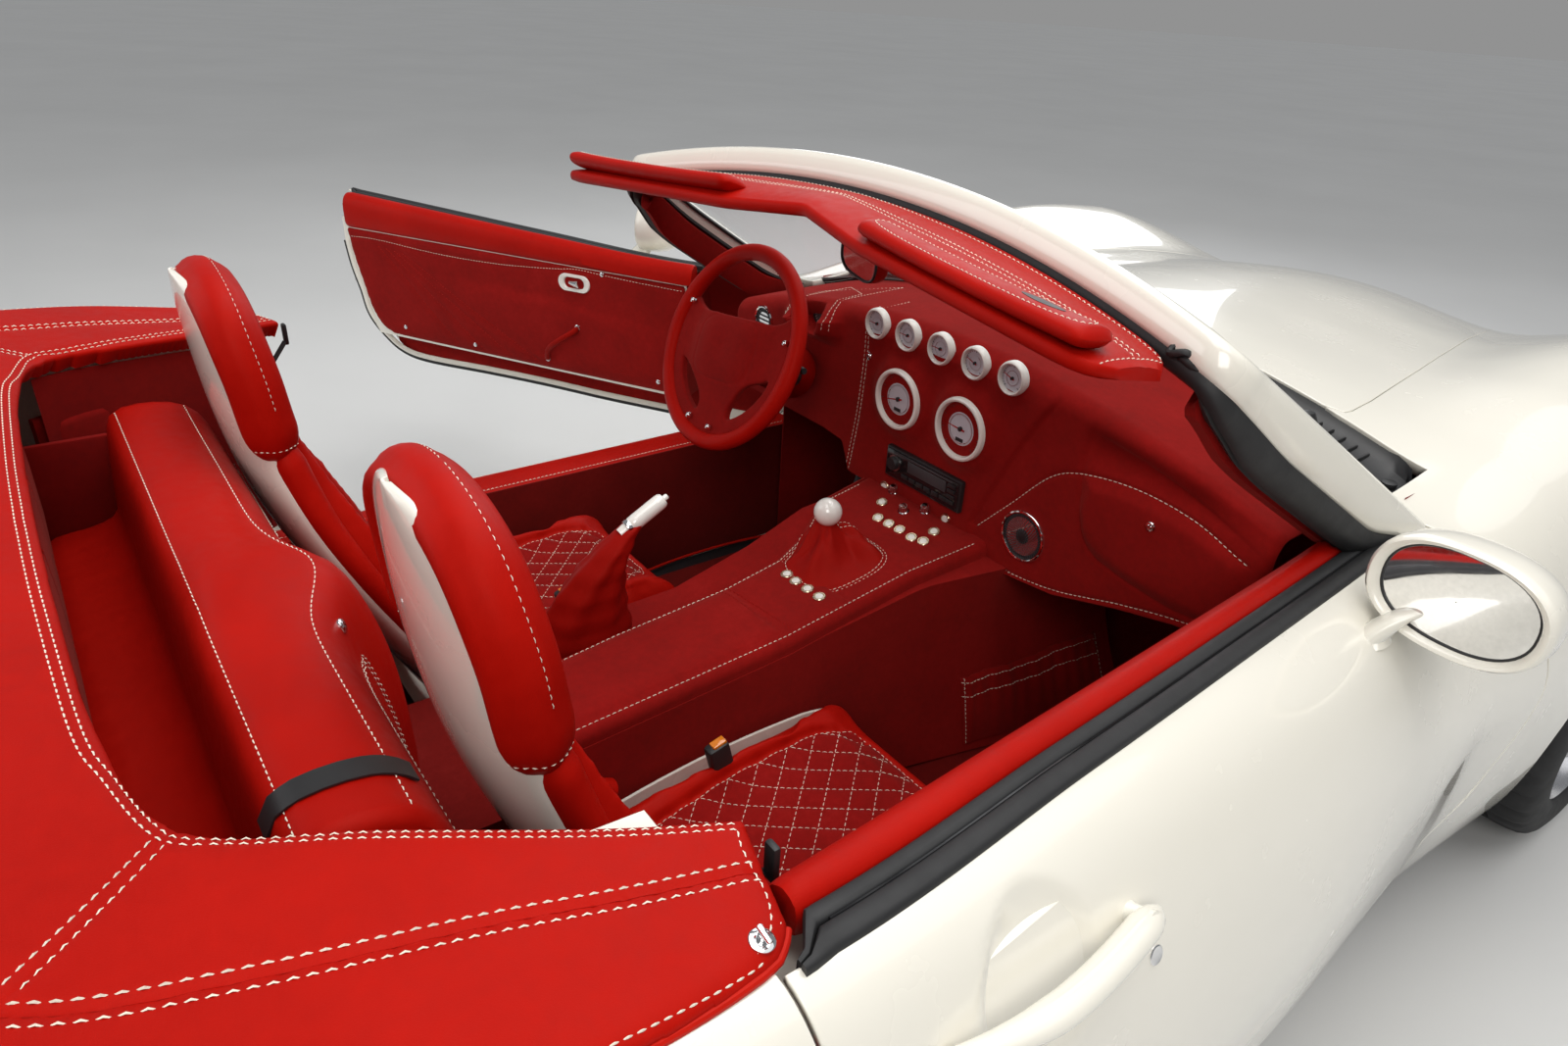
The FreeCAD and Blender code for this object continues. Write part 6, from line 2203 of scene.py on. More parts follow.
def face_depth(l, z):
    """How far the face stands back from f 290 (positive is towards the seats)."""
    d = np.zeros(np.shape(l))
    # raised centre panel between its two seams
    inside = 1 / (1 + np.exp(-(l - np.interp(z, [p[1] for p in R_SEAM[::-1]], [p[0] for p in R_SEAM[::-1]])) / 5.0)) * 1 / (1 + np.exp((l - np.interp(z, [p[1] for p in L_SEAM[::-1]], [p[0] for p in L_SEAM[::-1]])) / 5.0))
    d += 7.0 * inside
    for bl, bz in BIG:
        r = np.hypot(l - bl, z - bz)
        d += 12.0 * np.exp(-(np.clip(r - 58, 0, None) / 17.0) ** 2)
    for bl, bz in SMALL:
        r = np.hypot(l - bl, z - bz)
        d += 3.0 * np.exp(-(np.clip(r - 30, 0, None) / 8.0) ** 2)
    # glovebox and brow on the passenger's side
    glove = poly_sdf(curve2([(-330, 752), (-420, 762), (-505, 754), (-580, 730), (-584, 652), (-510, 634), (-400, 642), (-344, 664), (-324, 706)], 60))(np.stack([l.ravel(), z.ravel()], 1)).reshape(l.shape)
    d += 9.0 / (1 + np.exp(glove / 4.0))
    hollow = np.exp(-((z - (806 + 0.04 * (l + 400))) / 26.0) ** 2) / (1 + np.exp((l + 318) / 9.0))
    d -= 15.0 * hollow
    # hood over the driver's dial
    arc = np.hypot((l - 352) / 1.25, (z - 826))
    d += 34.0 * np.exp(-(np.clip(arc - 44, 0, None) / 20.0) ** 2) * (arc > 34) * np.clip((z - 780) / 26.0, 0, 1)
    d -= 26.0 * (1 / (1 + np.exp((arc - 33) / 2.2)))
    # grooves
    for line, depth, w in ((R_SEAM, 3.0, 3.6), (L_SEAM, 3.0, 3.6), (LINE_A, 2.2, 3.4), (LINE_B, 1.8, 3.4), (BROW, 2.6, 4.0)):
        d -= depth * np.exp(-(near_line(l, z, line) / w) ** 2)
    return d


NL, NF = 300, 110
ls = np.linspace(-619, 619, NL)
tops = np.array([top_line(abs(a)) for a in ls])
lows = low_line(ls)
grid = np.zeros((NL, NF + 26 + 10, 3))
for i, l in enumerate(ls):
    zt, zl = tops[i], lows[i]
    row = []
    e = min(1.0, (619 - abs(l)) / 16.0)
    shut = 12.0 * (1 - math.sqrt(max(0.0, 1 - (1 - e) ** 2)))
    r = 30.0
    for q in np.linspace(0, 1, 14):
        row.append((540 - (540 - 290 - r) * q, l, zt - 4 * q * q))
    for a in np.linspace(0, math.pi / 2, 13)[1:]:
        row.append((290 + r - r * math.sin(a), l, zt - 4 - r * (1 - math.cos(a))))
    for q in np.linspace(0, 1, NF + 1)[1:]:
        z = (zt - 4 - r) + (zl - (zt - 4 - r)) * q
        row.append((290.0, l, z))
    for q in np.linspace(0, 1, 11)[1:]:
        a = q * math.pi / 2 * 1.0
        row.append((290 + 90 * (1 - math.cos(a)) + 20 * q, l, zl - 14 * math.sin(a)))
    row = row[:grid.shape[1]]
    while len(row) < grid.shape[1]:
        row.append(row[-1])
    grid[i] = np.array(row) + np.array([shut, 0, -shut * 0.4])
k0, k1 = 14 + 4, 14 + 12 + NF
L, Z = grid[:, k0:k1, 1], grid[:, k0:k1, 2]
depth = face_depth(L, Z)
fade = np.clip(np.arange(k1 - k0) / 10.0, 0, 1)
grid[:, k0:k1, 0] -= depth * fade[None, :]
# the last rows hold the same step as the face's lower edge, so the roll under starts there
for k in range(k1, grid.shape[1]):
    grid[:, k, 0] -= depth[:, -1] * (1 - (k - k1) / 9.0)
dash_sheet = grid_sheet(grid)
if dash_sheet.n[(NL // 2) * grid.shape[1] + 60][0] > 0:
    dash_sheet = grid_sheet(grid, flip=True)
dash_sheet = Sheet(dash_sheet.v, vertex_normals(dash_sheet.v, dash_sheet.faces), dash_sheet.faces)
_k = (NL // 2) * grid.shape[1] + 60
if dash_sheet.n[_k][0] > 0:
    dash_sheet.n = -dash_sheet.n
dash = panel("dashboard_leather", [dash_sheet], SUEDE, "body", 7.0, 2.0)
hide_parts("dashboard")
dash_tree = BVHTree.FromPolygons([P(*p) for p in dash_sheet.v], [list(f) for f in dash_sheet.faces])


def on_dash(pts, lift=0.2):
    return cast([(100.0, l, z) for l, z in pts], (1, 0, 0), dash_tree, lift)


def face_f(l, z, default=285.0):
    hit = on_dash([(l, z)], 0.0)
    return float(hit[0][0][0]) if hit else default


h = Heap()
for line in (LINE_A, LINE_B):
    stitches(h, on_dash(line), pitch=8.5, length=6.2, r=0.75)
stitches(h, on_dash(inset_line(L_SEAM, -7)), pitch=8.5, length=6.2, r=0.75)
stitches(h, on_dash(inset_line(L_SEAM, 6)), pitch=8.5, length=6.2, r=0.7)
for k in (50.0, 58.0):
    arc = [(352 + 1.25 * k * math.cos(a), 826 + k * math.sin(a)) for a in np.linspace(-0.25, math.pi + 0.2, 50)]
    stitches(h, on_dash(arc), pitch=8.0, length=5.8, r=0.7)
h.done("dashboard_stitching", "body")

BACK = vec((-1.0, 0, 0))


def gauge(heap, l, z, r, wide, big):
    f = face_f(l + r * 0.96, z)
    f = min(f, face_f(l - r * 0.96, z), face_f(l, z + r * 0.9), face_f(l, z - r * 0.9)) + 1.0
    c = vec((f, l, z))
    out = (10.0 if big else 8.0)
    prof = [(-6, r + 1.0), (out - 5, r + 1.0), (out - 1.6, r - 0.3), (out, r - wide * 0.45), (out - 0.8, r - wide * 0.85), (out - 4, r - wide), (0.5, r - wide - 0.6)]
    heap.add(*lathe(c, BACK, prof, 56, closed=False), BEZEL)
    face = [(0.6, r - wide), (1.0, (r - wide) * 0.6), (1.2, 0.02)]
    heap.add(*lathe(c, BACK, [(-2, r - wide)] + face, 48), DIAL)
    a0, a1 = math.radians(225), math.radians(-45)
    n = 41 if big else 21
    for k in range(n):
        a = a0 + (a1 - a0) * k / (n - 1.0)
        major = k % 5 == 0
        d = vec((0, -math.cos(a), math.sin(a)))
        w = vec((0, -math.sin(a), -math.cos(a)))
        r1 = (r - wide) * 0.94
        length = (5.5 if major else 3.0) * (1.0 if big else 0.62)
        heap.add(*rbox(c + BACK * 1.5 + d * (r1 - length / 2), (0.5, 0.9 if major else 0.5, length), 0.1, (BACK, w, d), 1), BLACK)
    # a fine ring inside, and the pointer
    heap.add(*lathe(c, BACK, [(1.2, (r - wide) * 0.56), (1.7, (r - wide) * 0.56), (1.7, (r - wide) * 0.53), (1.2, (r - wide) * 0.53)], 40, closed=True), STEEL)
    a = math.radians(205 if big else 190) - (0.5 if l < 0 else 0.2)
    d = vec((0, -math.cos(a), math.sin(a)))
    w = vec((0, -math.sin(a), -math.cos(a)))
    tip = c + BACK * 3.0 + d * (r - wide) * 0.86
    tail = c + BACK * 3.0 - d * (r - wide) * 0.22
    hw = 1.5 if big else 1.0
    pv = [tail + w * hw, tail - w * hw, tip - w * 0.3, tip + w * 0.3]
    pv += [p + BACK * 0.8 for p in pv]
    heap.add(pv, [(3, 2, 1, 0), (4, 5, 6, 7), (0, 1, 5, 4), (1, 2, 6, 5), (2, 3, 7, 6), (3, 0, 4, 7)], REDLENS)
    heap.add(*lathe(c, BACK, [(1, 4.4 if big else 2.8), (4.4, 4.2 if big else 2.6), (5.0, 3.0 if big else 1.8), (5.0, 0.02)], 20), BLACK)
    # counter window in the big ones
    if big:
        heap.add(*rbox(c + BACK * 1.5 + vec((0, 0, -(r - wide) * 0.42)), (0.8, 17, 6.5), 0.3, None, 1), BLACK)


h = Heap()
for l, z in SMALL:
    gauge(h, l, z, 27.0, 5.0, False)
for l, z in BIG:
    gauge(h, l, z, 54.0, 7.5, True)
# the driver's dial deep inside its hood
f = face_f(352, 822, 300) - 1.0
for dl in (0,):
    c = vec((f, 352 + dl, 822))
    h.add(*lathe(c, BACK, [(-2, 31), (1, 31), (1, 27), (0.4, 0.02)], 40), BLACK)
    h.add(*lathe(c, BACK, [(0.5, 25), (1.2, 24), (1.2, 0.02)], 40), DARK)
    for k in range(21):
        a = math.radians(225 - 270 * k / 20.0)
        d, w = vec((0, -math.cos(a), math.sin(a))), vec((0, -math.sin(a), -math.cos(a)))
        h.add(*rbox(c + BACK * 1.5 + d * 21, (0.5, 0.8, 3.4), 0.1, (BACK, w, d), 1), BEZEL)
inst = h.done("instrument_dials", "body", 35)
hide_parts("instruments")

h = Heap()
# radio, single slot, with its keys and knob
f = face_f(0, 627) - 1.0
c = vec((f, 0, 627))
h.add(*rbox(c + BACK * 1, (14, 190, 60), 3.0), BLACK)
h.add(*rbox(c + BACK * 8.0, (3, 182, 52), 1.5), BLACK_GLOSS)
h.add(*rbox(c + BACK * 9.6 + vec((0, -12, 8)), (1.6, 96, 21), 0.7), DARK)
h.add(*rbox(c + BACK * 10.0 + vec((0, 0, 22.5)), (1.2, 150, 4.0), 0.5), DARK)
h.add(*lathe(c + BACK * 9 + vec((0, 70, 2)), BACK, [(0, 13), (8, 12.5), (10, 11), (10, 0.02)], 32), BLACK)
h.add(*lathe(c + BACK * 9 + vec((0, 70, 2)), BACK, [(0, 15), (2.2, 15), (2.2, 13.4)], 32), STEEL)
for k in range(6):
    h.add(*rbox(c + BACK * 10.2 + vec((0, 41 - 19.5 * k, -15)), (2.6, 16, 8.0), 1.0), BLACK)
for k in range(4):
    h.add(*rbox(c + BACK * 10.2 + vec((0, -74, 15 - 10 * k)), (2.6, 18, 7.0), 1.0), BLACK)
# places of round buttons under the radio; this loop adds nothing, the buttons and knobs are made with the console's
# fittings
for l, z in ((91, 572), (94, 536), (100, 500), (69, 502), (39, 503), (7, 503), (-23, 507), (-46, 539), (-69, 577)):
    l2, z2 = l * 0.98, 560 + (z - 536) * 0.42
    l2, z2 = l, z
    if z2 < 560:
        continue
f_up = vec((0.72, 0, 0.69))
h.done("radio_unit", "body", 35)

h = Heap()
# loudspeaker with its chrome ring
l, z = SPEAKER
f = face_f(l, z) - 0.5
hit = on_dash([(l, z)], 0.0)
nrm = hit[0][1] if hit else BACK
c = vec((f, l, z))
h.add(*lathe(c, nrm, [(-6, 45), (1.6, 45), (3.6, 43.6), (4.2, 41.5), (3.4, 39.6), (1.5, 39)], 64), CHROME)
h.add(*lathe(c, nrm, [(-3, 40), (1.4, 39.5), (2.4, 36), (0.6, 30), (-1, 18), (2.0, 12), (3.4, 6), (3.8, 0.02)], 48), BLACK)
a, b = frame_of(nrm)
for ring in range(3, 19):
    r = ring * 2.05
    n = max(6, int(2 * math.pi * r / 4.6))
    for k in range(n):
        t = 2 * math.pi * (k + 0.5 * (ring % 2)) / n
        p = c + (a * math.cos(t) + b * math.sin(t)) * r
        h.add(*rbox(p + nrm * 2.6, (1.4, 1.4, 1.2), 0.3, (a, b, nrm), 1), DARK)
# glovebox lock, small knob beside the dials, vents
for l, z, r in ((-448, 735, 7.5), (176, 798, 8.0)):
    hit = on_dash([(l, z)], 0.0)
    if hit:
        p, n = hit[0]
        h.add(*lathe(p, n, [(-2, r), (2.0, r), (3.4, r * 0.86), (3.6, r * 0.5), (6.5, r * 0.45), (7.0, 0.02)], 24), CHROME)
for l, z in ((512, 772),):
    hit = on_dash([(l, z)], 0.0)
    if hit:
        p, n = hit[0]
        h.add(*lathe(p, n, [(-2, 30), (3, 30), (5, 28), (4, 25.5), (1, 25)], 40), CHROME)
        h.add(*lathe(p, n, [(-2, 26), (1.2, 25), (0.6, 0.02)], 36), BLACK)
        a, b = frame_of(n)
        for k in range(-2, 3):
            h.add(*rbox(p + n * 2.2 + b * (k * 8.6), (2 * math.sqrt(24 ** 2 - (k * 8.6) ** 2), 1.8, 3.0), 0.6, (a, b, n)), BLACK)
h.done("dashboard_fittings", "body", 35)

# ------------------------------------------------------------------ steering wheel, built about its hub
HUB = vec((109, 368, 784))
AX = unit(vec((-math.cos(math.radians(24)), 0, math.sin(math.radians(24)))))
WU = unit(vec((math.sin(math.radians(24)), 0, math.cos(math.radians(24)))))
WR = vec((0, 1, 0))


def wheel_at(x, y, d):
    return HUB + WR * x + WU * y + AX * d


h = Heap()
ring = [wheel_at(180 * math.cos(t), 180 * math.sin(t), 0) for t in np.linspace(0, 2 * math.pi, 121)[:-1]]
thick = [15.5 + 1.6 * max(0.0, math.cos(2 * (t - math.pi * 0.04)) - 0.55) * 2 for t in np.linspace(0, 2 * math.pi, 121)[:-1]]
rings = []
for i, t in enumerate(np.linspace(0, 2 * math.pi, 121)[:-1]):
    rad = unit(ring[i] - HUB)
    rings.append([ring[i] + rad * thick[i] * math.cos(q) + AX * thick[i] * 0.92 * math.sin(q) for q in [2 * math.pi * k / 20 for k in range(20)]])
h.add(*rings_mesh(rings, True, False, True), LEATHER)
# sewn seam on the inside of the rim, in the darker leather as painted shade
inner = [(p - unit(p - HUB) * (thick[i] - 0.2) + AX * 3, -unit(p - HUB)) for i, p in enumerate(ring)]
inner.append(inner[0])
stitches(h, inner, pitch=7.0, length=4.6, r=0.8, mat=LEATHER_SHADED)
# boss behind the pad, in the darker leather as painted shade
h.add(*lathe(HUB, AX, [(-30, 20), (-30, 50), (-22, 58), (-8, 60), (-6, 0.02)], 56), LEATHER_SHADED)
for x, y in ((150, 50), (-150, 50), (34, -150), (-34, -150)):
    h.add(*lathe(wheel_at(x, y, 6), AX, [(0, 5.5), (6.5, 5.2), (8.0, 4.0), (8.3, 0.01)], 16), CHROME)
wheel = h.done("steering_wheel_leather", "steering_wheel", 50)
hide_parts("steering_wheel")
# broad pad that carries the three spokes, with a slot on either side of the lower one
TURN = math.radians(7.0)
SLOT_OUT = smooth_poly([(137, -42), (132, -62), (119, -84), (101, -104), (79, -121), (54, -133), (41, -127), (41, -107), (58, -81), (84, -57), (112, -43), (128, -36)], 90)
slot_l = poly_sdf(SLOT_OUT)
slot_r = poly_sdf([(-a, b) for a, b in SLOT_OUT])


def pad_xy(p):
    x, y = (p - HUB) @ WR, (p - HUB) @ WU
    return x * math.cos(TURN) - y * math.sin(TURN), x * math.sin(TURN) + y * math.cos(TURN)


def pad_point(x, y):
    r = math.hypot(x, y)
    d = 3.0 + 17.0 * math.exp(-((x / 92.0) ** 4 + ((y + 6) / 66.0) ** 4)) + 3.0 * max(0.0, 1 - ((r - 60) / 60.0) ** 2)
    d -= 1.6 * math.exp(-(((x / 84.0) ** 4 + ((y + 6) / 60.0) ** 4 - 1) / 0.12) ** 2)
    return wheel_at(x * math.cos(TURN) + y * math.sin(TURN), -x * math.sin(TURN) + y * math.cos(TURN), d)


pad = grid_sheet(np.array([[pad_point(x, y) for y in np.linspace(-170, 100, 92)] for x in np.linspace(-170, 170, 116)]))
if pad.n[len(pad.n) // 2] @ AX < 0:
    pad = grid_sheet(np.array([[pad_point(x, y) for y in np.linspace(-170, 100, 92)] for x in np.linspace(-170, 170, 116)]), flip=True)
pad = clip(pad, lambda p: np.hypot(*pad_xy(p)) - 166.0)
pad = clip(pad, lambda p: pad_xy(p)[1] - 53.0 - 26.0 * np.clip((np.abs(pad_xy(p)[0]) - 96.0) / 56.0, 0, 1) ** 2)
pad = clip(pad, lambda p: -slot_l(np.stack(pad_xy(p), 1)))
pad = clip(pad, lambda p: -slot_r(np.stack(pad_xy(p), 1)))
panel("steering_wheel_pad_leather", [pad], SUEDE, "steering_wheel", 13.0, 5.0)
h = Heap()
# column shroud, stalks and ignition; the shroud in the darker leather, painted shade under the wheel
prof = [(-34.5, 26), (-36, 44), (-60, 50), (-110, 54), (-170, 60), (-176, 56), (-176, 20)]
rings = []
for s, r in prof:
    rings.append([HUB + AX * s + WR * (r * math.cos(t)) + WU * (r * 0.86 * math.sin(t) - 6) for t in [2 * math.pi * k / 40 for k in range(40)]])
h.add(*rings_mesh(rings), LEATHER_SHADED)
for side, length in ((1, 130), (-1, 118)):
    p0 = HUB + AX * -62 + WR * side * 40
    pts = [p0, p0 + WR * side * 40 + WU * 4 + AX * 4, p0 + WR * side * length + WU * 16 + AX * 12]
    h.add(*tube(smooth_path(pts, 14), [6.5 - 0.12 * k for k in range(12)] + [7.5, 6.0], 12), BLACK)
p = HUB + AX * -120 + WR * -56 + WU * -10
h.add(*lathe(p, unit(vec((-0.75, -0.6, -0.1))), [(-6, 17), (6, 17), (8, 15), (8, 11), (5, 10.5), (5, 0.02)], 32), BLACK)
h.add(*lathe(p, unit(vec((-0.75, -0.6, -0.1))), [(5, 9.5), (9, 9), (9.5, 7), (9.5, 0.02)], 24), CHROME)
h.add(*rbox(p + unit(vec((-0.75, -0.6, -0.1))) * 18, (22, 3.2, 20), 1.4, (unit(vec((-0.75, -0.6, -0.1))), unit(vec((0.6, -0.75, 0))), vec((0, 0, 1)))), BLACK)
col = h.done("steering_column_shroud", "body", 45)
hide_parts("steering_column")
# ------------------------------------------------------------------ console with its padded armrest
def console_z(f):
    return float(np.interp(f, [-520, -126, 121, 292], [494, 521, 559, 567]))


def console_left(f):
    """Left edge of the raised pad; beside it the hand brake stands on a lower ledge."""
    return float(np.interp(f, [-520, -330, -150, -20, 60, 150, 292], [6, 20, 24, 30, 62, 128, 152]))


stations = np.linspace(-524, 293, 150)
rings = []
for i, f in enumerate(stations):
    zt, ll = console_z(f), console_left(f)
    lr = -158.0
    cross = 2.6 * math.exp(-((f + 128) / 4.0) ** 2) + 2.2 * math.exp(-((f + 4) / 4.0) ** 2 * 0.8)
    puff = 7.0 * (1 / (1 + math.exp((f + 128) / 6.0))) + 3.0 * (1 / (1 + math.exp(-(f + 122) / 5.0))) * (1 / (1 + math.exp((f + 8) / 5.0)))
    end = min(1.0, (f + 524) / 22.0)
    roll = 20 * (1 - math.sqrt(max(0.0, 1 - (1 - end) ** 2)))
    ring = []
    # right side up
    for z in (403, 430, 455, 475):
        ring.append((f, lr + 4 - (z - 403) * 0.05, z))
    zt2 = zt - roll
    for a in np.linspace(0, math.pi / 2, 8):
        r = 17.0
        ring.append((f, lr + r - r * math.cos(a), zt2 - r + r * math.sin(a)))
    for q in np.linspace(0.04, 0.96, 22):
        l = lr + 17 + (ll - 17 - lr - 17) * q
        e = min(q, 1 - q) * (ll - lr - 34)
        lift = puff * math.sqrt(max(0.0, 1 - (1 - min(1.0, e / 26.0)) ** 2)) - cross * min(1.0, e / 10.0)
        ring.append((f, l, zt2 + lift))
    low = float(np.interp(f, [-520, -150, 0, 120, 292], [452, 462, 500, 545, 560]))
    low = min(low, zt2 - 2)
    for a in np.linspace(math.pi / 2, 0, 8):
        r = 15.0
        ring.append((f, ll - r + r * math.cos(a), zt2 - r + r * math.sin(a) if zt2 - r > low else zt2 - (zt2 - low) * (1 - math.sin(a))))
    wall = min(zt2 - 15, zt2 - 2)
    for q in (0.4, 0.8, 1.0):
        ring.append((f, ll + 2 * q, wall + (low + 5 - wall) * q if wall > low + 5 else wall - 0.2 * q))
    lo_l = max(ll + 10, 140.0)
    for q in np.linspace(0.1, 1, 6):
        ring.append((f, ll + 4 + (lo_l - ll - 4) * q, low + 2 - 1.5 * q))
    for z in (low - 8, 440, 420, 403):
        ring.append((f, lo_l + 6, min(z, low - 8)))
    rings.append(ring)
v_, f_ = rings_mesh(rings)
console = make("centre_console_leather", v_, f_, SUEDE, "body", 40)
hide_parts("centre_console")
ct = bvh_of(console)


def on_console(pts, lift=0.15):
    return cast([(f, l, 1000.0) for f, l in pts], (0, 0, -1), ct, lift)


h = Heap()
right_row = [(f, -146.0) for f in np.linspace(-512, 270, 120)]
stitches(h, on_console(right_row), pitch=9, length=6.4, r=0.8)
left_row = [(f, console_left(f) - 12.0) for f in np.linspace(-512, 250, 120)]
stitches(h, on_console(left_row), pitch=9, length=6.4, r=0.8)
# the cross seam's stitches and crease in the darker leather, painted shade
for f0 in (-136, -121):
    stitches(h, on_console([(f0 - 0.10 * (l + 60), l) for l in np.linspace(-138, 8, 24)]), pitch=9, length=6.4, r=0.75, mat=LEATHER_SHADED)
seam(h, on_console([(-4, l) for l in np.linspace(-142, 18, 30)], 0.0), LEATHER_SHADED, 2.0)


def seen_at(px, py, *trees):
    """Where the photo's point lands on the nearest of some surfaces: (point, normal)."""
    d = photo_ray(px, py)
    best = None
    for tree in trees:
        hit, nrm, _, dist = tree.ray_cast(P(*CAM), Vector((d[1], -d[0], d[2])))
        if hit is not None and (best is None or dist < best[2]):
            n = vec((-nrm.y, nrm.x, nrm.z))
            best = (vec(U(hit)), -n if n @ d > 0 else n, dist)
    return best[:2] if best else None


for px, py in ((803, 586), (812, 593), (824, 601), (836, 609)):
    hit = seen_at(px, py, ct)
    if hit:
        p, n = hit
        h.add(*lathe(p, n, [(-2, 10.5), (1.6, 10.5), (2.6, 9.6), (2.6, 7.8), (1.4, 7.4), (1.8, 4), (2.2, 0.02)], 28), GOLD)
        h.add(*lathe(p, n, [(1.2, 7.0), (2.6, 6.2), (3.0, 0.02)], 24), BEZEL)
# round buttons and turned knobs under the radio
for px, py in ((903, 496), (900, 513), (896, 529), (907, 535), (918, 541), (930, 549), (942, 553), (953, 543), (965, 529)):
    hit = seen_at(px, py, ct, dash_tree)
    if hit:
        p, n = hit
        n = unit(n + vec((-0.3, -0.1, 0.1)))
        h.add(*lathe(p, n, [(-4, 10.4), (2.6, 10.4), (3.8, 9.4), (3.8, 7.6), (2.8, 7.2), (3.2, 3.5), (3.4, 0.02)], 28), GOLD)
        h.add(*lathe(p, n, [(2.6, 6.8), (3.8, 6.2), (4.4, 0.02)], 24), BEZEL)
for px, py in ((912, 502), (922, 522), (944, 522)):
    hit = seen_at(px, py, ct, dash_tree)
    if hit:
        p, n = hit
        n = unit(n + vec((-0.3, -0.1, 0.1)))
        h.add(*lathe(p, n, [(-3, 10), (3, 10), (4, 8), (6, 7), (15, 6.4), (17, 5.0), (17.4, 0.02)], 28), CHROME)
        a, b = frame_of(n)
        for k in range(14):
            t = 2 * math.pi * k / 14
            h.add(*rbox(p + n * 10.5 + (a * math.cos(t) + b * math.sin(t)) * 6.9, (1.0, 1.0, 9), 0.3, (a * math.cos(t) + b * math.sin(t), b * math.cos(t) - a * math.sin(t), n), 1), STEEL)
hit = seen_at(833, 700, ct)
if hit:
    h.add(*lathe(hit[0], hit[1], [(-1, 7), (1.2, 7), (2.6, 5), (2.8, 0.02)], 20), CHROME)
h.done("console_stitching_and_buttons", "body", 35)

# flared side of the console in the passenger's footwell, with its gathered pocket
def flare(f, q):
    """Point on the side at station f; q 0 at the console's edge, 1 on the floor."""
    top_l, top_zz = -159.0, min(console_z(min(f, 285.0)) - 26.0, 540.0)
    low_l = -float(np.interp(f, [-524, -60, 60, 285, 600], [161, 163, 182, 236, 300]))
    out_l = -float(np.interp(f, [-524, -60, 150, 285, 600], [159, 160, 172, 205, 215]))
    l = top_l + (low_l - top_l) * q ** 1.6 + (out_l + 159.0) * (1 - q) ** 3
    return vec((f, l, top_zz + (183.0 - top_zz) * q))


rings = []
for f in np.linspace(-522, 600, 110):
    ring = [flare(f, q) for q in np.linspace(0, 1, 26)]
    ring += [vec((f, -150.0, 183.0)), vec((f, -150.0, ring[0][2]))]
    rings.append(ring)
v_, f_ = rings_mesh(rings)
side_piece = make("console_side_suede", v_, f_, SUEDE, "body", 50)
h = Heap()
n_side = lambda f, q: unit(np.cross(flare(f + 4, q) - flare(f, q), flare(f, q + 0.02) - flare(f, q)))
sgn = -1.0 if n_side(100, 0.5)[1] > 0 else 1.0
grid_p = []
for i in range(71):
    u = i / 70.0
    f = 236 + 330 * u
    pucker = 3.4 * math.sin(u * 66) * 0.5 + 1.8 * math.sin(u * 25 + 1)
    col = []
    for j, q in enumerate((0.60, 0.625, 0.65, 0.70, 0.78, 0.88, 0.96)):
        s_ = (0.4, 0.9, 0.8, 1.0, 1.0, 0.8, 0.1)[j]
        gather = pucker * (1.0, 0.9, 0.5, 1.1, 0.8, 0.4, 0.1)[j]
        e = min(1.0, min(u, 1 - u) / 0.04)
        col.append(flare(f, q) + n_side(f, q) * sgn * (1.0 + (13.0 * s_ + gather) * e) + vec((0, 0, 2.4 * math.sin(u * 11))))
    grid_p.append(col)
back = [[p - n_side(236 + 330 * i / 70.0, 0.8) * sgn * 3 for p in reversed(col)] for i, col in enumerate(grid_p)]
h.add(*rings_mesh([a + b for a, b in zip(grid_p, back)]), SUEDE)
for row in (1, 3):
    stitches(h, [(col[row] + n_side(236 + 330 * i / 70.0, 0.7) * sgn * 0.6, n_side(236 + 330 * i / 70.0, 0.7) * sgn) for i, col in enumerate(grid_p)], pitch=8.0, length=5.6, r=0.85)
for i in (1, 69):
    stitches(h, [(p + n_side(236 + 330 * i / 70.0, 0.8) * sgn * 0.8, n_side(236 + 330 * i / 70.0, 0.8) * sgn) for p in grid_p[i]], pitch=8.0, length=5.6, r=0.85)
h.done("footwell_pocket", "body", 50)

# gear boot: a loose leather bag with folds, in the darker leather as painted shade
rings = []
NB = 72
for i, q in enumerate(np.linspace(0, 1, 22)):
    ring = []
    for k in range(NB):
        a = 2 * math.pi * k / NB
        bx = math.copysign(abs(math.cos(a)) ** 0.7, math.cos(a)) * 86
        by = math.copysign(abs(math.sin(a)) ** 0.7, math.sin(a)) * 72
        cx, cy = 62 - 16 * q ** 1.3, -44 * q ** 1.3
        s = 0.16 + 0.84 * q ** 1.25
        fold = (0.06 * math.sin(5 * a + 2.2 * q * 3) + 0.045 * math.sin(9 * a + 1.3 + q * 2)) * math.sin(math.pi * min(1.0, q * 1.05)) * (0.4 + q)
        x, y = cx + bx * s * (1 + fold), cy + by * s * (1 + fold)
        z0 = console_z(x)
        z = z0 - 1.0 + (600 - z0) * (1 - q) ** 1.5 + 7.0 * math.sin(math.pi * q) * (1 + 1.2 * math.sin(3 * a + 5 * q)) + 3.0 * math.sin(7 * a + 2) * math.sin(math.pi * q)
        ring.append((x, y, z))
    rings.append(ring)
rings = [[(62 + 13 * math.cos(2 * math.pi * k / NB), 13 * math.sin(2 * math.pi * k / NB), 597) for k in range(NB)]] + rings
rings.append([(x, y, z - 14) for x, y, z in rings[-1]])
v_, f_ = rings_mesh(rings)
boot_bag = make("gear_boot_leather", v_, f_, LEATHER_SHADED, "body", 60)
bt = bvh_of(boot_bag)
h = Heap()
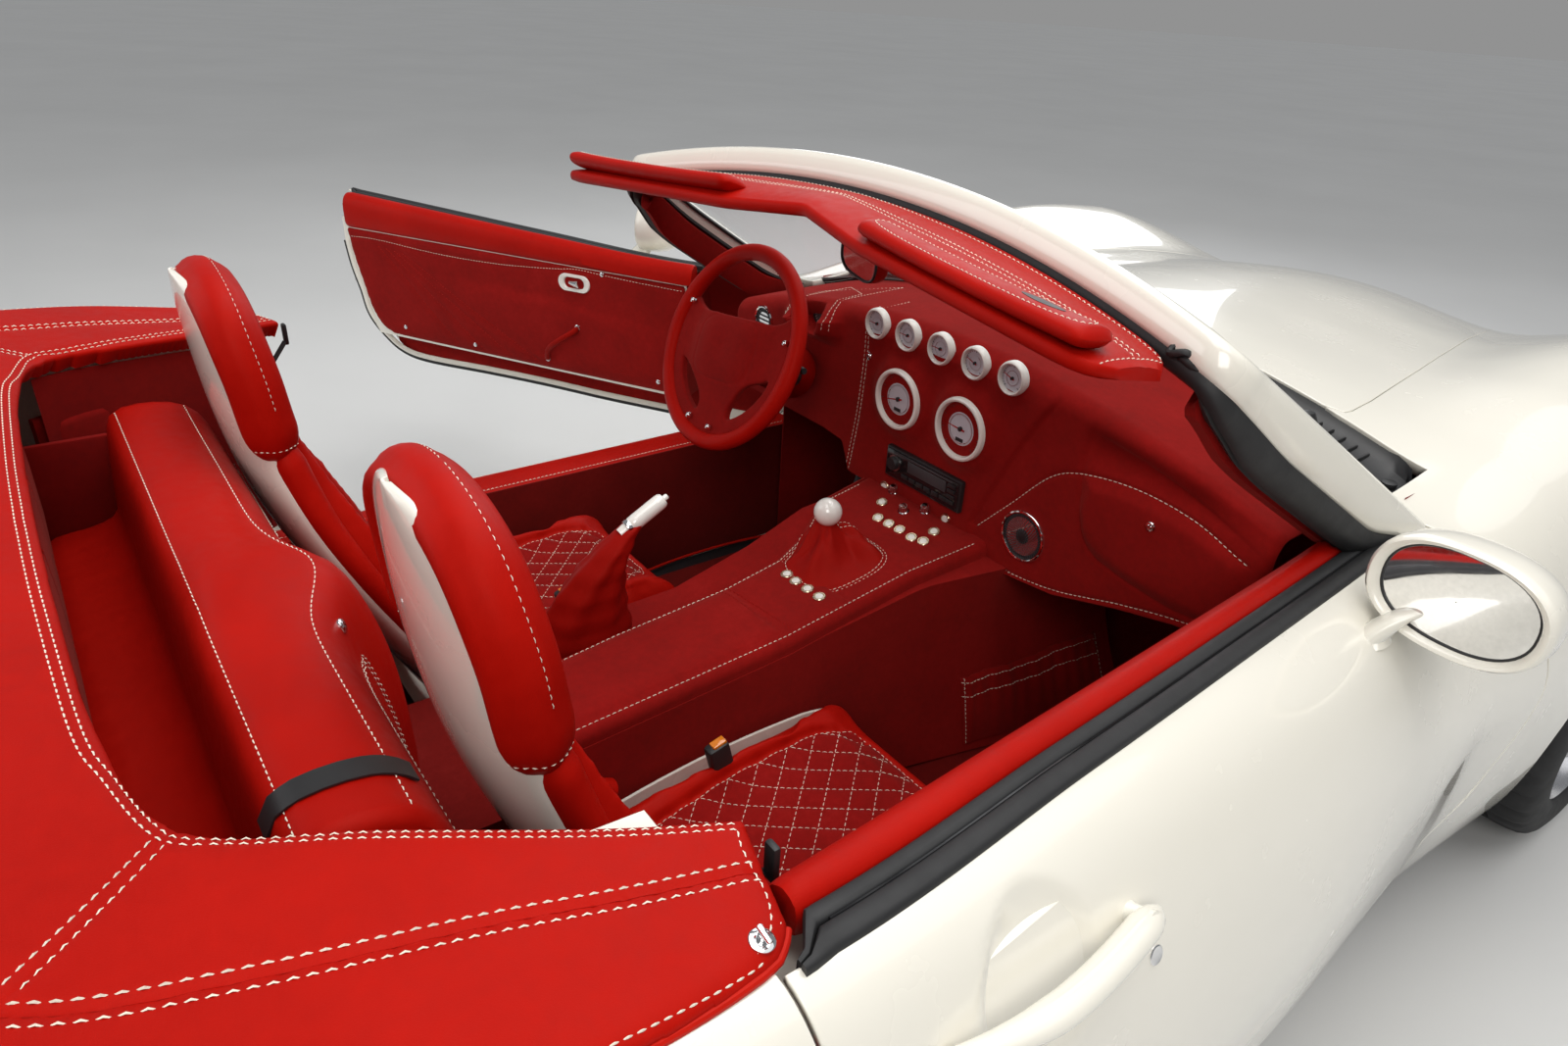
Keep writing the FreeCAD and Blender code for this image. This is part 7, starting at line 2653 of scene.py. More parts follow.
for off in (0.90, 0.97):
    edge = [(46 + math.copysign(abs(math.cos(a)) ** 0.7, math.cos(a)) * 86 * off, -44 + math.copysign(abs(math.sin(a)) ** 0.7, math.sin(a)) * 72 * off) for a in np.linspace(0, 2 * math.pi, 90)]
    stitches(h, cast([(f, l, 900) for f, l in edge], (0, 0, -1), bt, 0.2), pitch=8.5, length=6, r=0.7)
front_seam = [(62 + 100 * q, 0 - 60 * q) for q in np.linspace(0.12, 0.62, 20)]
for off in (-3.5, 3.5):
    stitches(h, cast([(f, l + off, 900) for f, l in front_seam], (0, 0, -1), bt, 0.2), pitch=7, length=5, r=0.7)
h.done("gear_boot_stitching", "body")
h = Heap()
h.add(*lathe((62, 0, 616), (0, 0, 1), [(24 * math.sin(t), max(0.02, 24 * math.cos(t))) for t in np.linspace(-math.pi / 2 * 0.86, math.pi / 2, 26)], 48), KNOB)
h.add(*lathe((62, 0, 570), (0, 0, 1), [(0, 8), (20, 8), (24, 11), (27, 12), (28, 10), (30, 7), (32, 7)], 24), CHROME)
lever = h.done("gear_lever_knob", "body", 45)
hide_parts("gear_lever")

# hand brake: pale grip rising out of a leather gaiter; the gaiter in the darker leather, painted shade
tip, base = vec((-216, 60, 687)), vec((-276, 60, 655))
d = unit(tip - base)
h = Heap()
h.add(*lathe(base, d, [(-20, 9), (0, 10.5), (3, 12.2), (12, 12.6), (52, 12.6), (61, 12.2), (65, 10), (66.5, 6), (66.8, 4.8), (72, 4.6), (73.5, 3.6), (73.8, 0.02)], 32), KNOB)
h.add(*lathe(base, d, [(-6, 12.5), (-2, 13.2), (1, 12.5)], 28), CHROME)
hb = h.done("hand_brake_grip", "body", 40)
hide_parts("handbrake_lever")
rings = []
spine = smooth_path([(-270, 60, 658), (-296, 62, 634), (-334, 66, 584), (-356, 72, 524), (-362, 78, 462)], 22)
for i, p in enumerate(spine):
    q = i / 21.0
    ring = []
    rf, rl = 14.5 + 80 * q ** 1.0, 14 + 46 * q ** 0.9
    for k in range(56):
        a = 2 * math.pi * k / 56
        fold = 1 + 0.07 * math.sin(6 * a + 4 * q) * math.sin(math.pi * q) + 0.05 * math.sin(q * 38) * (1 - 0.5 * q)
        ring.append((p[0] + rf * math.cos(a) * fold * 0.9 + 8 * q, p[1] + rl * math.sin(a) * fold, p[2] + 20 * q * math.cos(a) * (1 - q)))
    rings.append(ring)
v_, f_ = rings_mesh(rings)
gaiter = make("hand_brake_gaiter", v_, f_, LEATHER_SHADED, "body", 60)

# pedals: steel pads with rubber ribs on bent arms
h = Heap()
for l, w in ((300, 62), (400, 62), (480, 52)):
    gas = l == 300
    c = vec((540, l, 300 if not gas else 290))
    up_p, n_p = unit(vec((0.5, 0, 0.86))), unit(vec((-0.86, 0, 0.5)))
    hgt = 64 if not gas else 150
    h.add(*rbox(c + up_p * (20 if gas else 0), (w if not gas else 48, hgt, 7), 3.0, (vec((0, 1, 0)), up_p, n_p)), STEEL)
    for k in range(4 if not gas else 8):
        h.add(*rbox(c + up_p * ((k - 1.5) * 14 if not gas else (k - 3.5) * 16 + 20) + n_p * 4.4, ((w if not gas else 48) - 12, 6, 3), 1.2, (vec((0, 1, 0)), up_p, n_p)), RUBBER)
    h.add(*tube(smooth_path([c - n_p * 4, c - n_p * 24 + vec((0, 0, 60)), vec((600, l, 470)), vec((606, l, 560))], 16), 8, 10), DARK)
ped = h.done("pedal_set", "body", 35)
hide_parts("pedals")

# ------------------------------------------------------------------ roll behind the seats, shelf and well
def shelf_profile(l):
    """Closed outline (f, z) of the roll at l, with its hump between the seats."""
    hump = math.exp(-((l + 70) / 78.0) ** 2)
    wave = 3.0 * math.sin(l / 83.0) + 2.0 * math.sin(l / 37.0 + 1)
    fz_pts = [(-846, 585), (-838, 700), (-826, 752), (-800, 752), (-744 + 2, 440), (-706, 424), (-694 + 26 * hump, 470), (-704 + 38 * hump, 560), (-722 + 46 * hump, 660),
              (-744 + 44 * hump, 745 + 4 * hump), (-762 + 34 * hump, 784 + 10 * hump), (-790, 802 + 14 * hump + wave * 0.3), (-828, 808 + 12 * hump), (-858, 804 + 6 * hump), (-874, 788), (-882, 740), (-888, 680),
              (-894, 644), (-930, 628), (-986, 620), (-988, 584)]
    return fz_pts


rings = []
for l in np.linspace(505, -505, 116):
    ring = [(p[0], l, p[1]) for p in smooth_path([(a, b, 0) for a, b in shelf_profile(l)], 72, True)]
    e = min(1.0, (505 - abs(l)) / 14.0)
    k = 1 - 0.06 * (1 - math.sqrt(max(0.0, 1 - (1 - e) ** 2)))
    c = (-820, 640)
    rings.append([(c[0] + (a[0] - c[0]) * k, a[1], c[1] + (a[2] - c[1]) * k) for a in [(p[0], l, p[2]) for p in [(q[0], q[1], q[2]) for q in ring]]])
rings = [[(p[0], p[1], p[2]) for p in r] for r in rings]
v_, f_ = rings_mesh(rings)
shelf = make("rear_shelf_leather", v_, f_, LEATHER, "body", 60)
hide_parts("rear_shelf")
st = bvh_of(shelf)
h = Heap()
for f0 in (-776, -862):
    stitches(h, cast([(f0 + (34 if f0 > -800 else 0) * math.exp(-((l + 70) / 78.0) ** 2), l, 1200) for l in np.linspace(492, -492, 150)], (0, 0, -1), st, 0.15), pitch=9, length=6.4, r=0.8)
for side in (1, -1):
    pocket = curve2([(side * 150, 470), (side * 156, 700), (side * 175, 722), (side * 205, 724), (side * 440, 700), (side * 468, 680), (side * 470, 470)], 80)
    for off in (0, 7):
        line = inset_line(pocket, off * -side)
        stitches(h, cast([(-560, l, z) for l, z in line], (-1, 0, 0), st, 0.15), pitch=9, length=6.4, r=0.8)
hit = cast([(-723 + 40, -164, 1200)], (0, 0, -1), st, 0.0)
for f, l in ((-742, -164), (-742, 60)):
    hit = cast([(f, l, 1200)], (0, 0, -1), st, 0.0)
    if hit:
        p, n = hit[0]
        h.add(*lathe(p, n, [(-1, 9), (1.5, 9), (3.4, 7.4), (4.6, 4), (4.9, 0.02)], 24), CHROME)
# black strap hanging over the roll on the right
strap = []
for f in np.linspace(-760, -876, 14):
    hit = cast([(f, -440, 1200)], (0, 0, -1), st, 1.4)
    if hit:
        strap.append(hit[0])
rings = []
for p, n in strap:
    rings.append([p + vec((0, w, 0)) + n * t for w, t in ((-13, 0), (-13, 2), (13, 2), (13, 0))])
if len(rings) > 2:
    h.add(*rings_mesh(rings), BLACK)
h.done("rear_shelf_stitching", "body")

# padded panel on the bulkhead at the back of the well, with upright seams, in the darker suede as painted shade in the
# well
rings = []
for l in np.linspace(520, -520, 130):
    groove = sum(5.0 * math.exp(-((l - c) / 4.0) ** 2) for c in (-330, -110, 110, 330))
    e = min(1.0, (520 - abs(l)) / 16.0)
    puff = (11.0 - groove) * math.sqrt(max(0.0, 1 - (1 - e) ** 2))
    rings.append([(-990, l, 632), (-988 + 0.5 * puff, l, 640), (-988 + puff, l, 665), (-988 + puff * 1.1, l, 740), (-988 + puff, l, 792), (-988 + 0.6 * puff, l, 806), (-990, l, 808)])
h = Heap()
h.add(*rings_mesh(rings), SUEDE_SHADED)
back_pad = h.done("well_back_panel", "body", 60)
h = Heap()
for c in (-330, -110, 110, 330):
    for off in (-6, 6):
        stitches(h, [(vec((-978 - 0.0, c + off, z)), vec((1, 0, 0))) for z in np.linspace(650, 796, 14)], pitch=9, length=6.4, r=0.75, mat=PIPING)
# side cheeks of the well, in the darker suede as painted shade
for side in (1, -1):
    h.add(*rbox((-930, side * 512, 690), (112, 12, 150), 5.0), SUEDE_SHADED)
h.done("well_details", "body")

# quarter trims beside the seats
h = Heap()
for side in (1, -1):
    a, b = vec((-652, side * 712, 0)), vec((-958, side * 540, 0))
    d = unit(b - a)
    n = unit(vec((d[1], -d[0], 0)))
    if n[1] * side > 0:
        n = -n
    rings = []
    for z in np.linspace(458, 790, 36):
        e = min(1.0, min(z - 458, 790 - z) / 14.0)
        out = 13.0 * math.sqrt(max(0.0, 1 - (1 - e) ** 2))
        groove = 3.0 * math.exp(-((z - 735) / 4.0) ** 2)
        ring = []
        for q in np.linspace(0.0, 1.0, 22):
            eq = min(1.0, min(q, 1 - q) * np.linalg.norm(b - a) / 12.0)
            ring.append(a + (b - a) * q + n * (out * math.sqrt(max(0.0, 1 - (1 - eq) ** 2)) - groove * eq) + vec((0, 0, z)))
        ring += [a + (b - a) * q - n * 9 + vec((0, 0, z)) for q in (1.0, 0.5, 0.0)]
        rings.append(ring)
    h.add(*rings_mesh(rings), SUEDE)
    row = [(a + (b - a) * q + n * 11.4 + vec((0, 0, 735 + off)), n) for q in np.linspace(0.04, 0.96, 40) for off in (0,)]
    for off in (-6, 6):
        stitches(h, [(p + vec((0, 0, off)) + n * 1.3, nn) for p, nn in row], pitch=9, length=6.4, r=0.8)
    p = a + (b - a) * 0.55 + n * 13 + vec((0, 0, 700))
    h.add(*lathe(p, n, [(-2, 9), (1.5, 9), (3.4, 7.4), (4.6, 4), (4.9, 0.02)], 24), CHROME)
quarter = h.done("quarter_trim_panels", "body", 50)
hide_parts("quarter_trims")

# sill covers: painted beam with a padded red top and two rows of stitches
def sill_in(f, l):
    """The sill's outer side draws in at its rear end, where the shut door's lower corner comes down beside it."""
    q = min(1.0, max(0.0, (-425.0 - f) / 50.0))
    return l - 32.0 * q * q * (3 - 2 * q) * (l > 730)


h = Heap()
for side in (1, -1):
    rings = []
    for f in np.linspace(-688, 503, 60):
        rings.append([(f, side * sill_in(f, l), z) for l, z in ((652, 160), (652, 420), (656, 424), (752, 424), (757, 418), (757, 160))])
    h.add(*rings_mesh(rings), PAINT)
    rings = []
    for f in np.linspace(-686, 501, 90):
        e = min(1.0, min(f + 686, 501 - f) / 10.0)
        k = math.sqrt(max(0.0, 1 - (1 - e) ** 2))
        rings.append([(f, side * sill_in(f, l), z) for l, z in ((650, 330), (649, 420), (650, 436), (655, 446 + 3 * k), (668, 451 + 2 * k), (698, 452 + 2.5 * k), (735, 450 + 2 * k), (750, 444 + 2 * k), (757, 434), (758, 422), (690, 420), (654, 400))])
    h.add(*rings_mesh(rings), LEATHER)
    for l in (668, 744):
        stitches(h, [(vec((f, side * sill_in(f, l), 454.6 if l == 668 else 449.6)), vec((0, 0, 1))) for f in np.linspace(-670, 490, 120)], pitch=9, length=6.4, r=0.85)
sill_obj2 = h.done("sill_covers", "body", 45)
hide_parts("sills")

# belts, buckles and anchor posts
h = Heap()
for side in (1, -1):
    # buckles beside each seat
    c = vec((-303, side * 236, 430))
    h.add(*rbox(c, (34, 22, 62), 6, (unit(vec((1, 0, 0.25))), vec((0, 1, 0)), unit(vec((-0.25, 0, 1))))), BLACK)
    h.add(*rbox(c + vec((-4, 0, 31)), (22, 14, 6), 2, (unit(vec((1, 0, 0.25))), vec((0, 1, 0)), unit(vec((-0.25, 0, 1))))), AMBER)
    h.add(*tube([c + vec((8, 0, -30)), c + vec((20, -side * 4, -80)), c + vec((30, -side * 20, -130))], 7, 10), BLACK)
    # belt from the quarter panel over the seat's outer side
    path = smooth_path([(-690, side * 640, 770), (-660, side * 622, 690), (-610, side * 600, 560), (-560, side * 596, 440), (-540, side * 600, 330)], 30)
    rings = []
    for i, p in enumerate(path):
        t = unit(path[min(i + 1, 29)] - path[max(i - 1, 0)])
        w = unit(np.cross(t, (0, 1, 0)))
        nn = np.cross(t, w)
        rings.append([p + w * a + nn * b for a, b in ((-23, -0.8), (-23, 0.8), (23, 0.8), (23, -0.8))])
    h.add(*rings_mesh(rings), BLACK)
    h.add(*rbox((-690, side * 640, 774), (40, 16, 34), 4), BLACK)
    # small black post at the cover's front tip
    h.add(*rbox((-581, side * 712, 812), (7, 14, 36), 2.5), BLACK)
    h.add(*tube([(-584, side * 708, 800), (-610, side * 700, 770), (-655, side * 696, 740)], 4.0, 8), BLACK)
h.done("belts_and_buckles", "body", 35)

# carpet mats over the floor on both sides, with bound edges
h = Heap()
for side in (1, -1):
    rings = []
    for f in np.linspace(-40, 500, 30):
        e = min(1.0, min(f + 40, 500 - f) / 20.0)
        rings.append([(f, side * l, z) for l, z in ((190, 169), (192, 176), (215, 179), (575, 179), (598, 176), (600, 169))])
    h.add(*rings_mesh(rings), CARPET)
    edge = [(-30, side * 200, 180), (490, side * 200, 180), (490, side * 590, 180), (-30, side * 590, 180)]
    h.add(*tube(smooth_path(edge, 80, True), 3.2, 8, closed=True, caps=False), PIPING)
h.done("floor_mats", "body", 40)

# kick panels beside the footwells, and the panels that close the wing ahead of each door, all in the darker suede as
# painted shade
h = Heap()
for side in (1, -1):
    h.add(*rbox((530, side * 597.0, 404), (222, 4, 464), 1.5), SUEDE_SHADED)
    rows = []
    for l in np.linspace(655, 846, 14):
        top = surf_z(708, l) - 28.0
        rows.append([(708, side * l, z) for z in np.linspace(300, top, 10)])
    h.add(*rings_mesh(rows, False, False), SUEDE_SHADED)
    rows = []
    for f in np.linspace(556, 708, 8):
        rows.append([(f, side * 655.0, z) for z in np.linspace(300, 800, 8)])
    h.add(*rings_mesh(rows, False, False), SUEDE_SHADED)
    # inner faces of the sills down to the floor, and the lining beside the well under the cover; the lining in the
    # darker suede as painted shade
    h.add(*rbox((-68, side * 651.0, 312), (1150, 4, 288), 1.5), CARPET)
    rows = []
    for f, l in along([(-664, 676), (-700, 660), (-817, 600), (-905, 558), (-946, 528)], 16):
        rows.append([(f, side * l, z) for z in np.linspace(430, surf_z(f, l) - 20.0, 8)])
    h.add(*rings_mesh(rows, False, False), SUEDE_SHADED)
    # painted step that closes the sill's top between its inner beam and the outer skin
    rings = []
    for f in np.linspace(-500, 498, 40):
        lo = float(side_l(np.array([f]), np.array([318.0]))[0]) - 14.0
        rings.append([(f, side * 655.0, 316.0), (f, side * 655.0, 322.0), (f, side * lo, 322.0), (f, side * lo, 316.0)])
    h.add(*rings_mesh(rings), PAINT)
h.done("kick_panels", "body")
# ------------------------------------------------------------------ lamps, grille, plates, cowl, liners, exhaust
def disc_sheet(l, z, r, f0, lift):
    def phi(p):
        d = np.hypot(p[:, 1] - l, p[:, 2] - z) - r
        beyond = (f0 - p[:, 0]) if f0 > 0 else (p[:, 0] - f0)
        return np.where(beyond > 0, 60.0, d)
    s = clip(BODY_SHEET, phi)
    d = -phi(s.v)
    return lifted(s, lift * np.sqrt(np.clip(1 - (1 - np.clip(d / (r * 0.8), 0, 1)) ** 2, 0, 1)) - 2.0)


def surface_f(l, z, front=True):
    """Where the nose (or tail) is at (l, z)."""
    origin, d = (4000.0 if front else -4000.0, l, z), (-1 if front else 1, 0, 0)
    hit, _, _, _ = SKIN_TREE.ray_cast(P(*origin), Vector((0, 1 if front else -1, 0)))
    return U(hit)[0] if hit is not None else (2000.0 if front else -2100.0)


SKIN_TREE = BVHTree.FromPolygons([P(*p) for p in BODY_SHEET.v], [list(f) for f in BODY_SHEET.faces])


def lamp_rim(heap, l, z, r, front, mat, w=3.2):
    pts = []
    for k in range(96):
        a = 2 * math.pi * k / 96
        y, q = l + r * math.cos(a), z + r * math.sin(a)
        pts.append((surface_f(y, q, front) + (1.5 if front else -1.5), y, q))
    heap.add(*tube(pts, w, 10, closed=True, caps=False), mat)
    return pts


inner_lamps = Heap()
glass_sheets, red_sheets = [], []
for side in (1, -1):
    glass_sheets.append(disc_sheet(side * HEAD_L, HEAD_Z, HEAD_R - 3.0, 1700.0, 9.0))
    glass_sheets.append(disc_sheet(side * FOG_L, FOG_Z, FOG_R - 2.5, 1850.0, 5.0))
    for l, z, r in ((side * HEAD_L, HEAD_Z, HEAD_R - 6), (side * FOG_L, FOG_Z, FOG_R - 4)):
        rim = lamp_rim(inner_lamps, l, z, r + 4.0, True, CHROME, 3.0 if r > 60 else 2.4)
        back = min(p[0] for p in rim)
        rings = [[(p[0] - 7, l + (p[1] - l) * 0.965, z + (p[2] - z) * 0.965) for p in rim]]
        for q, k in ((0.25, 0.93), (0.5, 0.84), (0.75, 0.68), (0.92, 0.46), (1.0, 0.25), (1.0, 0.01)):
            rings.append([((p[0] - 7) * (1 - q) + (back - 46 * r / 100.0) * q, l + (p[1] - l) * k, z + (p[2] - z) * k) for p in rim])
        inner_lamps.add(*rings_mesh(rings, True, False), CHROME)
        bowl_f = back - 46 * r / 100.0
        if r > 60:
            for dl, dz, rr in ((-26 * side, 8, 33), (36 * side, -6, 27)):
                c = vec((bowl_f + 4, l + dl, z + dz))
                inner_lamps.add(*lathe(c, (1, 0, 0), [(0, rr), (34, rr), (38, rr - 2), (38, rr - 5), (30, rr - 6)], 40), BLACK)
                inner_lamps.add(*lathe(c, (1, 0, 0), [(28, rr - 6), (34, rr - 9), (40, rr * 0.4), (42, 0.02)], 36), MIRROR)
            inner_lamps.add(*lathe((bowl_f + 6, l + 8 * side, z - 52), (1, 0, 0), [(0, 15), (24, 15), (26, 12), (14, 0.02)], 24), AMBER)
        else:
            inner_lamps.add(*lathe((bowl_f, l, z), (1, 0, 0), [(0, 15), (18, 14), (24, 9), (26, 0.02)], 28), MIRROR)
    red_sheets.append(disc_sheet(side * TAIL_L, TAIL_Z, TAIL_R - 3.0, -1850.0, 13.0))
    red_sheets.append(disc_sheet(side * REV_L, REV_Z, REV_R - 3.0, -1850.0, 10.0))
lens_obj = panel("headlamp_glasses", glass_sheets, LENS, "body", 4.0, 1.2)
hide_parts("headlamps")
inner_lamps.done("headlamp_reflectors", "body", 40)
tail_lens = panel("tail_lamp_lenses", red_sheets, REDLENS, "body", 12.0, 2.0)
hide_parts("tail_lamps")
h = Heap()
for side in (1, -1):
    for l, z, r in ((side * TAIL_L, TAIL_Z, TAIL_R), (side * REV_L, REV_Z, REV_R)):
        lamp_rim(h, l, z, r - 1.0, False, CHROME, 3.4)
        f = surface_f(l, z, False)
        for k in (0.62, 0.34):
            pts = []
            for j in range(60):
                a = 2 * math.pi * j / 60
                y, q = l + r * k * math.cos(a), z + r * k * math.sin(a)
                pts.append((surface_f(y, q, False) - 11.5 * (r / 60.0) * (1.0 if k < 0.5 else 0.93), y, q))
            h.add(*tube(pts, 1.5, 8, closed=True, caps=False), REDLENS)
# high stop lamp and a number-plate lamp bar, plain
h.add(*rbox((surface_f(0, 560, False) - 2, 0, 560), (14, 250, 16), 4), BLACK)
for side in (1, -1):
    h.add(*rbox((surface_f(60 * side, 560, False) - 6, 60 * side, 553), (12, 40, 7), 2), KNOB)
h.done("tail_lamp_rims", "body", 40)

# grille: oval chrome surround, upright bars, dark mesh and duct behind; a dark disc closes the duct, painted shade of
# its depth
h = Heap()
GW, GH, GZ = 335.0, 112.0, 462.0
ring = []
for k in range(120):
    a = 2 * math.pi * k / 120
    l, z = (GW - 1) * math.cos(a), GZ + (GH - 1) * math.sin(a)
    ring.append((surface_f(l, z) - 1.0, l, z))
h.add(*tube(ring, 6.5, 12, closed=True, caps=False), CHROME)
inner = [(1990.0, p[1] * 0.985, GZ + (p[2] - GZ) * 0.97) for p in ring]
h.add(*rings_mesh([ring, inner, [(1985, p[1] * 0.97, GZ + (p[2] - GZ) * 0.95) for p in ring]], True, False), BLACK)
h.add(*rings_mesh([[(1986, p[1], p[2]) for p in inner], [(1984, 0.5 * p[1], GZ + 0.5 * (p[2] - GZ)) for p in inner], [(1984, 0.01 * p[1], GZ + 0.01 * (p[2] - GZ)) for p in inner]], True, False), DARK)
for k in range(-12, 13):
    l = k * 25.0
    hh = (GH - 7) * math.sqrt(max(0.0, 1 - (l / (GW - 6)) ** 2))
    if hh < 12:
        continue
    pts = []
    for q in np.linspace(-1, 1, 9):
        z = GZ + hh * q
        pts.append((min(2020.0, surface_f(l, z) - 12), l, z))
    rings = []
    for p in pts:
        rings.append([(p[0] + 7, l, p[2]), (p[0] + 4, l + 3.4, p[2]), (p[0] - 12, l + 3.0, p[2]), (p[0] - 12, l - 3.0, p[2]), (p[0] + 4, l - 3.4, p[2])])
    h.add(*rings_mesh(rings), CHROME)
for z in np.linspace(GZ - 96, GZ + 96, 13):
    w = (GW - 12) * math.sqrt(max(0.0, 1 - ((z - GZ) / (GH - 2)) ** 2))
    h.add(*rbox((1998, 0, z), (2.4, 2 * w, 2.4), 0.6, None, 1), BLACK)
grille_obj = h.done("grille_bars", "body", 40)
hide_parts("grille")

# blank plates on their carriers
h = Heap()
for f, z, hgt, d in ((2081, 319, 50, 1), (-2149, 450, 60, -1)):
    h.add(*rbox((f - d * 1.5, 0, z), (7, 358, hgt + 6 if d > 0 else hgt), 2.0), BLACK)
    h.add(*rbox((f + d * 2.2, 0, z), (3, 344, hgt - 8), 1.2), KNOB)
    for l in (150, -150):
        h.add(*lathe((f + d * 3.4, l, z), (d, 0, 0), [(-1, 5), (1.4, 5), (2.2, 3.6), (2.2, 0.02)], 16), STEEL)
plates = h.done("blank_plates", "body", 35)
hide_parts("plate_carriers")

# cowl: black recessed panel with slats, and two wipers parked on it
def cowl_point(f, l, drop_):
    return (f, l, top_z(f, min(abs(l), 636.0)) - drop_)


h = Heap()
rings = []
for l in np.linspace(-636, 636, 90):
    e = min(1.0, (636 - abs(l)) / 60.0)
    cut = 42 * (1 - math.sqrt(max(0.0, 1 - (1 - e) ** 2)))
    row = []
    for f, dz in ((544, 9), (556, 20), (600, 22), (640 - cut * 0.4, 20), (652 - cut, 10), (656.5 - cut, 4), (656.5 - cut, 12), (640 - cut * 0.4, 30), (600, 34), (548, 30)):
        row.append(cowl_point(f, l, dz))
    rings.append(row)
h.add(*rings_mesh(rings), BLACK)
for l in np.linspace(-560, 560, 57):
    h.add(*rbox(vec(cowl_point(612, l, 18.5)), (52, 3.2, 7), 1.2), BLACK)
for l in (-612, 612):
    h.add(*lathe(cowl_point(604, l, 20), (0, 0, 1), [(-2, 11), (3, 11), (5, 8), (5, 0.02)], 20), BLACK)
edge = [cowl_point(543, l, 3.0) for l in np.linspace(-640, 640, 70)]
h.add(*tube(edge, 5.0, 10), RUBBER)
for pivot, u0, u1 in ((-470, -590, -70), (60, -20, 520)):
    c = vec(cowl_point(606, pivot, 18))
    h.add(*lathe(c, (0, 0, 1), [(-4, 15), (8, 15), (14, 12), (20, 9), (22, 0.02)], 28), BLACK)
    blade = [screen(u, 0.955, -4.0) + vec((3, 0, 2)) for u in np.linspace(u0, u1, 24)]
    mid = blade[12] + SLOPE_N * 12
    arm = smooth_path([c + vec((0, 0, 14)), c + vec((-16, (mid[1] - c[1]) * 0.25, 20)), mid + vec((8, -(mid[1] - c[1]) * 0.25, 6)), mid], 16)
    h.add(*tube(arm, [6.5 - 0.2 * k for k in range(16)], 10, flat=0.6), BLACK)
    h.add(*tube([b + SLOPE_N * 8 for b in blade], 3.6, 8), BLACK)
    rings = []
    for b in blade:
        rings.append([b + SLOPE_N * 7 + vec((2.0, 0, -1)), b + SLOPE_N * 7 - vec((2.0, 0, -1)), b - SLOPE_N * 4.5 - vec((0.6, 0, -0.3)), b - SLOPE_N * 4.5 + vec((0.6, 0, -0.3))])
    h.add(*rings_mesh(rings), RUBBER)
cowl_obj = h.done("cowl_and_wipers", "body", 40)
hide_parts("cowl_panel")

# wheel-arch liners
h = Heap()
for f_w, z_w, r, l_in in ((F_FRONT, 330.0, 383.0, 470.0), (F_REAR, 340.0, 392.0, 590.0)):
    for side in (1, -1):
        rings = []
        for a in np.linspace(math.radians(-20), math.radians(200), 64):
            f, z = f_w + r * math.cos(a), z_w + r * math.sin(a)
            lo = min(float(side_l(f, z)) - 24.0, 866.0)
            ribs = 2.0 * (math.sin(a * 26) > 0.6)
            ring = []
            for l in np.linspace(l_in, lo, 10):
                ring.append((f - ribs * math.cos(a), side * l, z - ribs * math.sin(a)))
            for l in np.linspace(lo, l_in - 4, 10):
                ring.append((f_w + (r + 4) * math.cos(a), side * l, z_w + (r + 4) * math.sin(a)))
            # inner wall
            ring.append((f_w + (r * 0.5) * math.cos(a), side * (l_in - 4), z_w + (r * 0.5) * math.sin(a)))
            ring.append((f_w + (r * 0.5) * math.cos(a), side * l_in, z_w + (r * 0.5) * math.sin(a)))
            rings.append(ring)
        h.add(*rings_mesh(rings), BLACK)
h.done("wheel_arch_liners", "body", 40)

# exhaust tips; a black disc just inside each tip stands for the pipe's soot and paints the shade of its depth
h = Heap()
for l in (150, 215, -150, -215):
    c = (-2060, l, 275)
    h.add(*lathe(c, (-1, 0, 0), [(0, 35.5), (62, 36.5), (69, 36.0), (71, 34.0), (69, 32.0), (20, 31.0), (0, 31.0)], 48, closed=True), CHROME)
    h.add(*lathe((-2128.5, l, 275), (-1, 0, 0), [(0, 31.5), (0.6, 31), (0.2, 0.02)], 40), BLACK)
h.done("exhaust_tips", "body", 40)

# under the bonnet: covers, tanks and hoses over the engine block; the covers in the darker leather, painted shade under
# the bonnet
h = Heap()
for side in (1, -1):
    rings = []
    for f in np.linspace(800, 1380, 60):
        e = min(1.0, min(f - 800, 1380 - f) / 16.0)
        k = 0.8 + 0.2 * math.sqrt(max(0.0, 1 - (1 - e) ** 2))
        rib = 2.5 * (math.sin(f / 9.0) > 0.2)
        rings.append([(f, side * (130 + a * k), 700 + (b + (rib if b > 40 else 0)) * k) for a, b in ((-92, 0), (-92, 40), (-80, 56), (-50, 64), (50, 64), (80, 56), (92, 40), (92, 0))])
    h.add(*rings_mesh(rings), LEATHER_SHADED)
    for f in np.linspace(830, 1350, 5):
        h.add(*lathe((f, side * 130, 764), (0, 0, 1), [(0, 9), (6, 9), (8, 6), (8, 0.02)], 16), STEEL)
h.add(*rbox((1090, 0, 748), (430, 70, 50), 16), ALLOY)
for k in range(8):
    f = 920 + 48 * k
    h.add(*tube(smooth_path([(f, 20, 770), (f, 60, 782), (f + 4, 92, 762)], 10), 9, 12), STEEL)
    h.add(*tube(smooth_path([(f, -20, 770), (f, -60, 782), (f + 4, -92, 762)], 10), 9, 12), STEEL)
h.add(*lathe((1480, 0, 610), (0, 1, 0), [(-230, 30), (-230, 60), (-224, 66), (224, 66), (230, 60), (230, 30)], 40), BLACK)
h.add(*rbox((1640, 0, 560), (50, 560, 260), 6), DARK)
for k in range(40):
    h.add(*rbox((1668, -266 + 13.6 * k, 560), (6, 1.6, 236), 0.4, None, 1), STEEL)
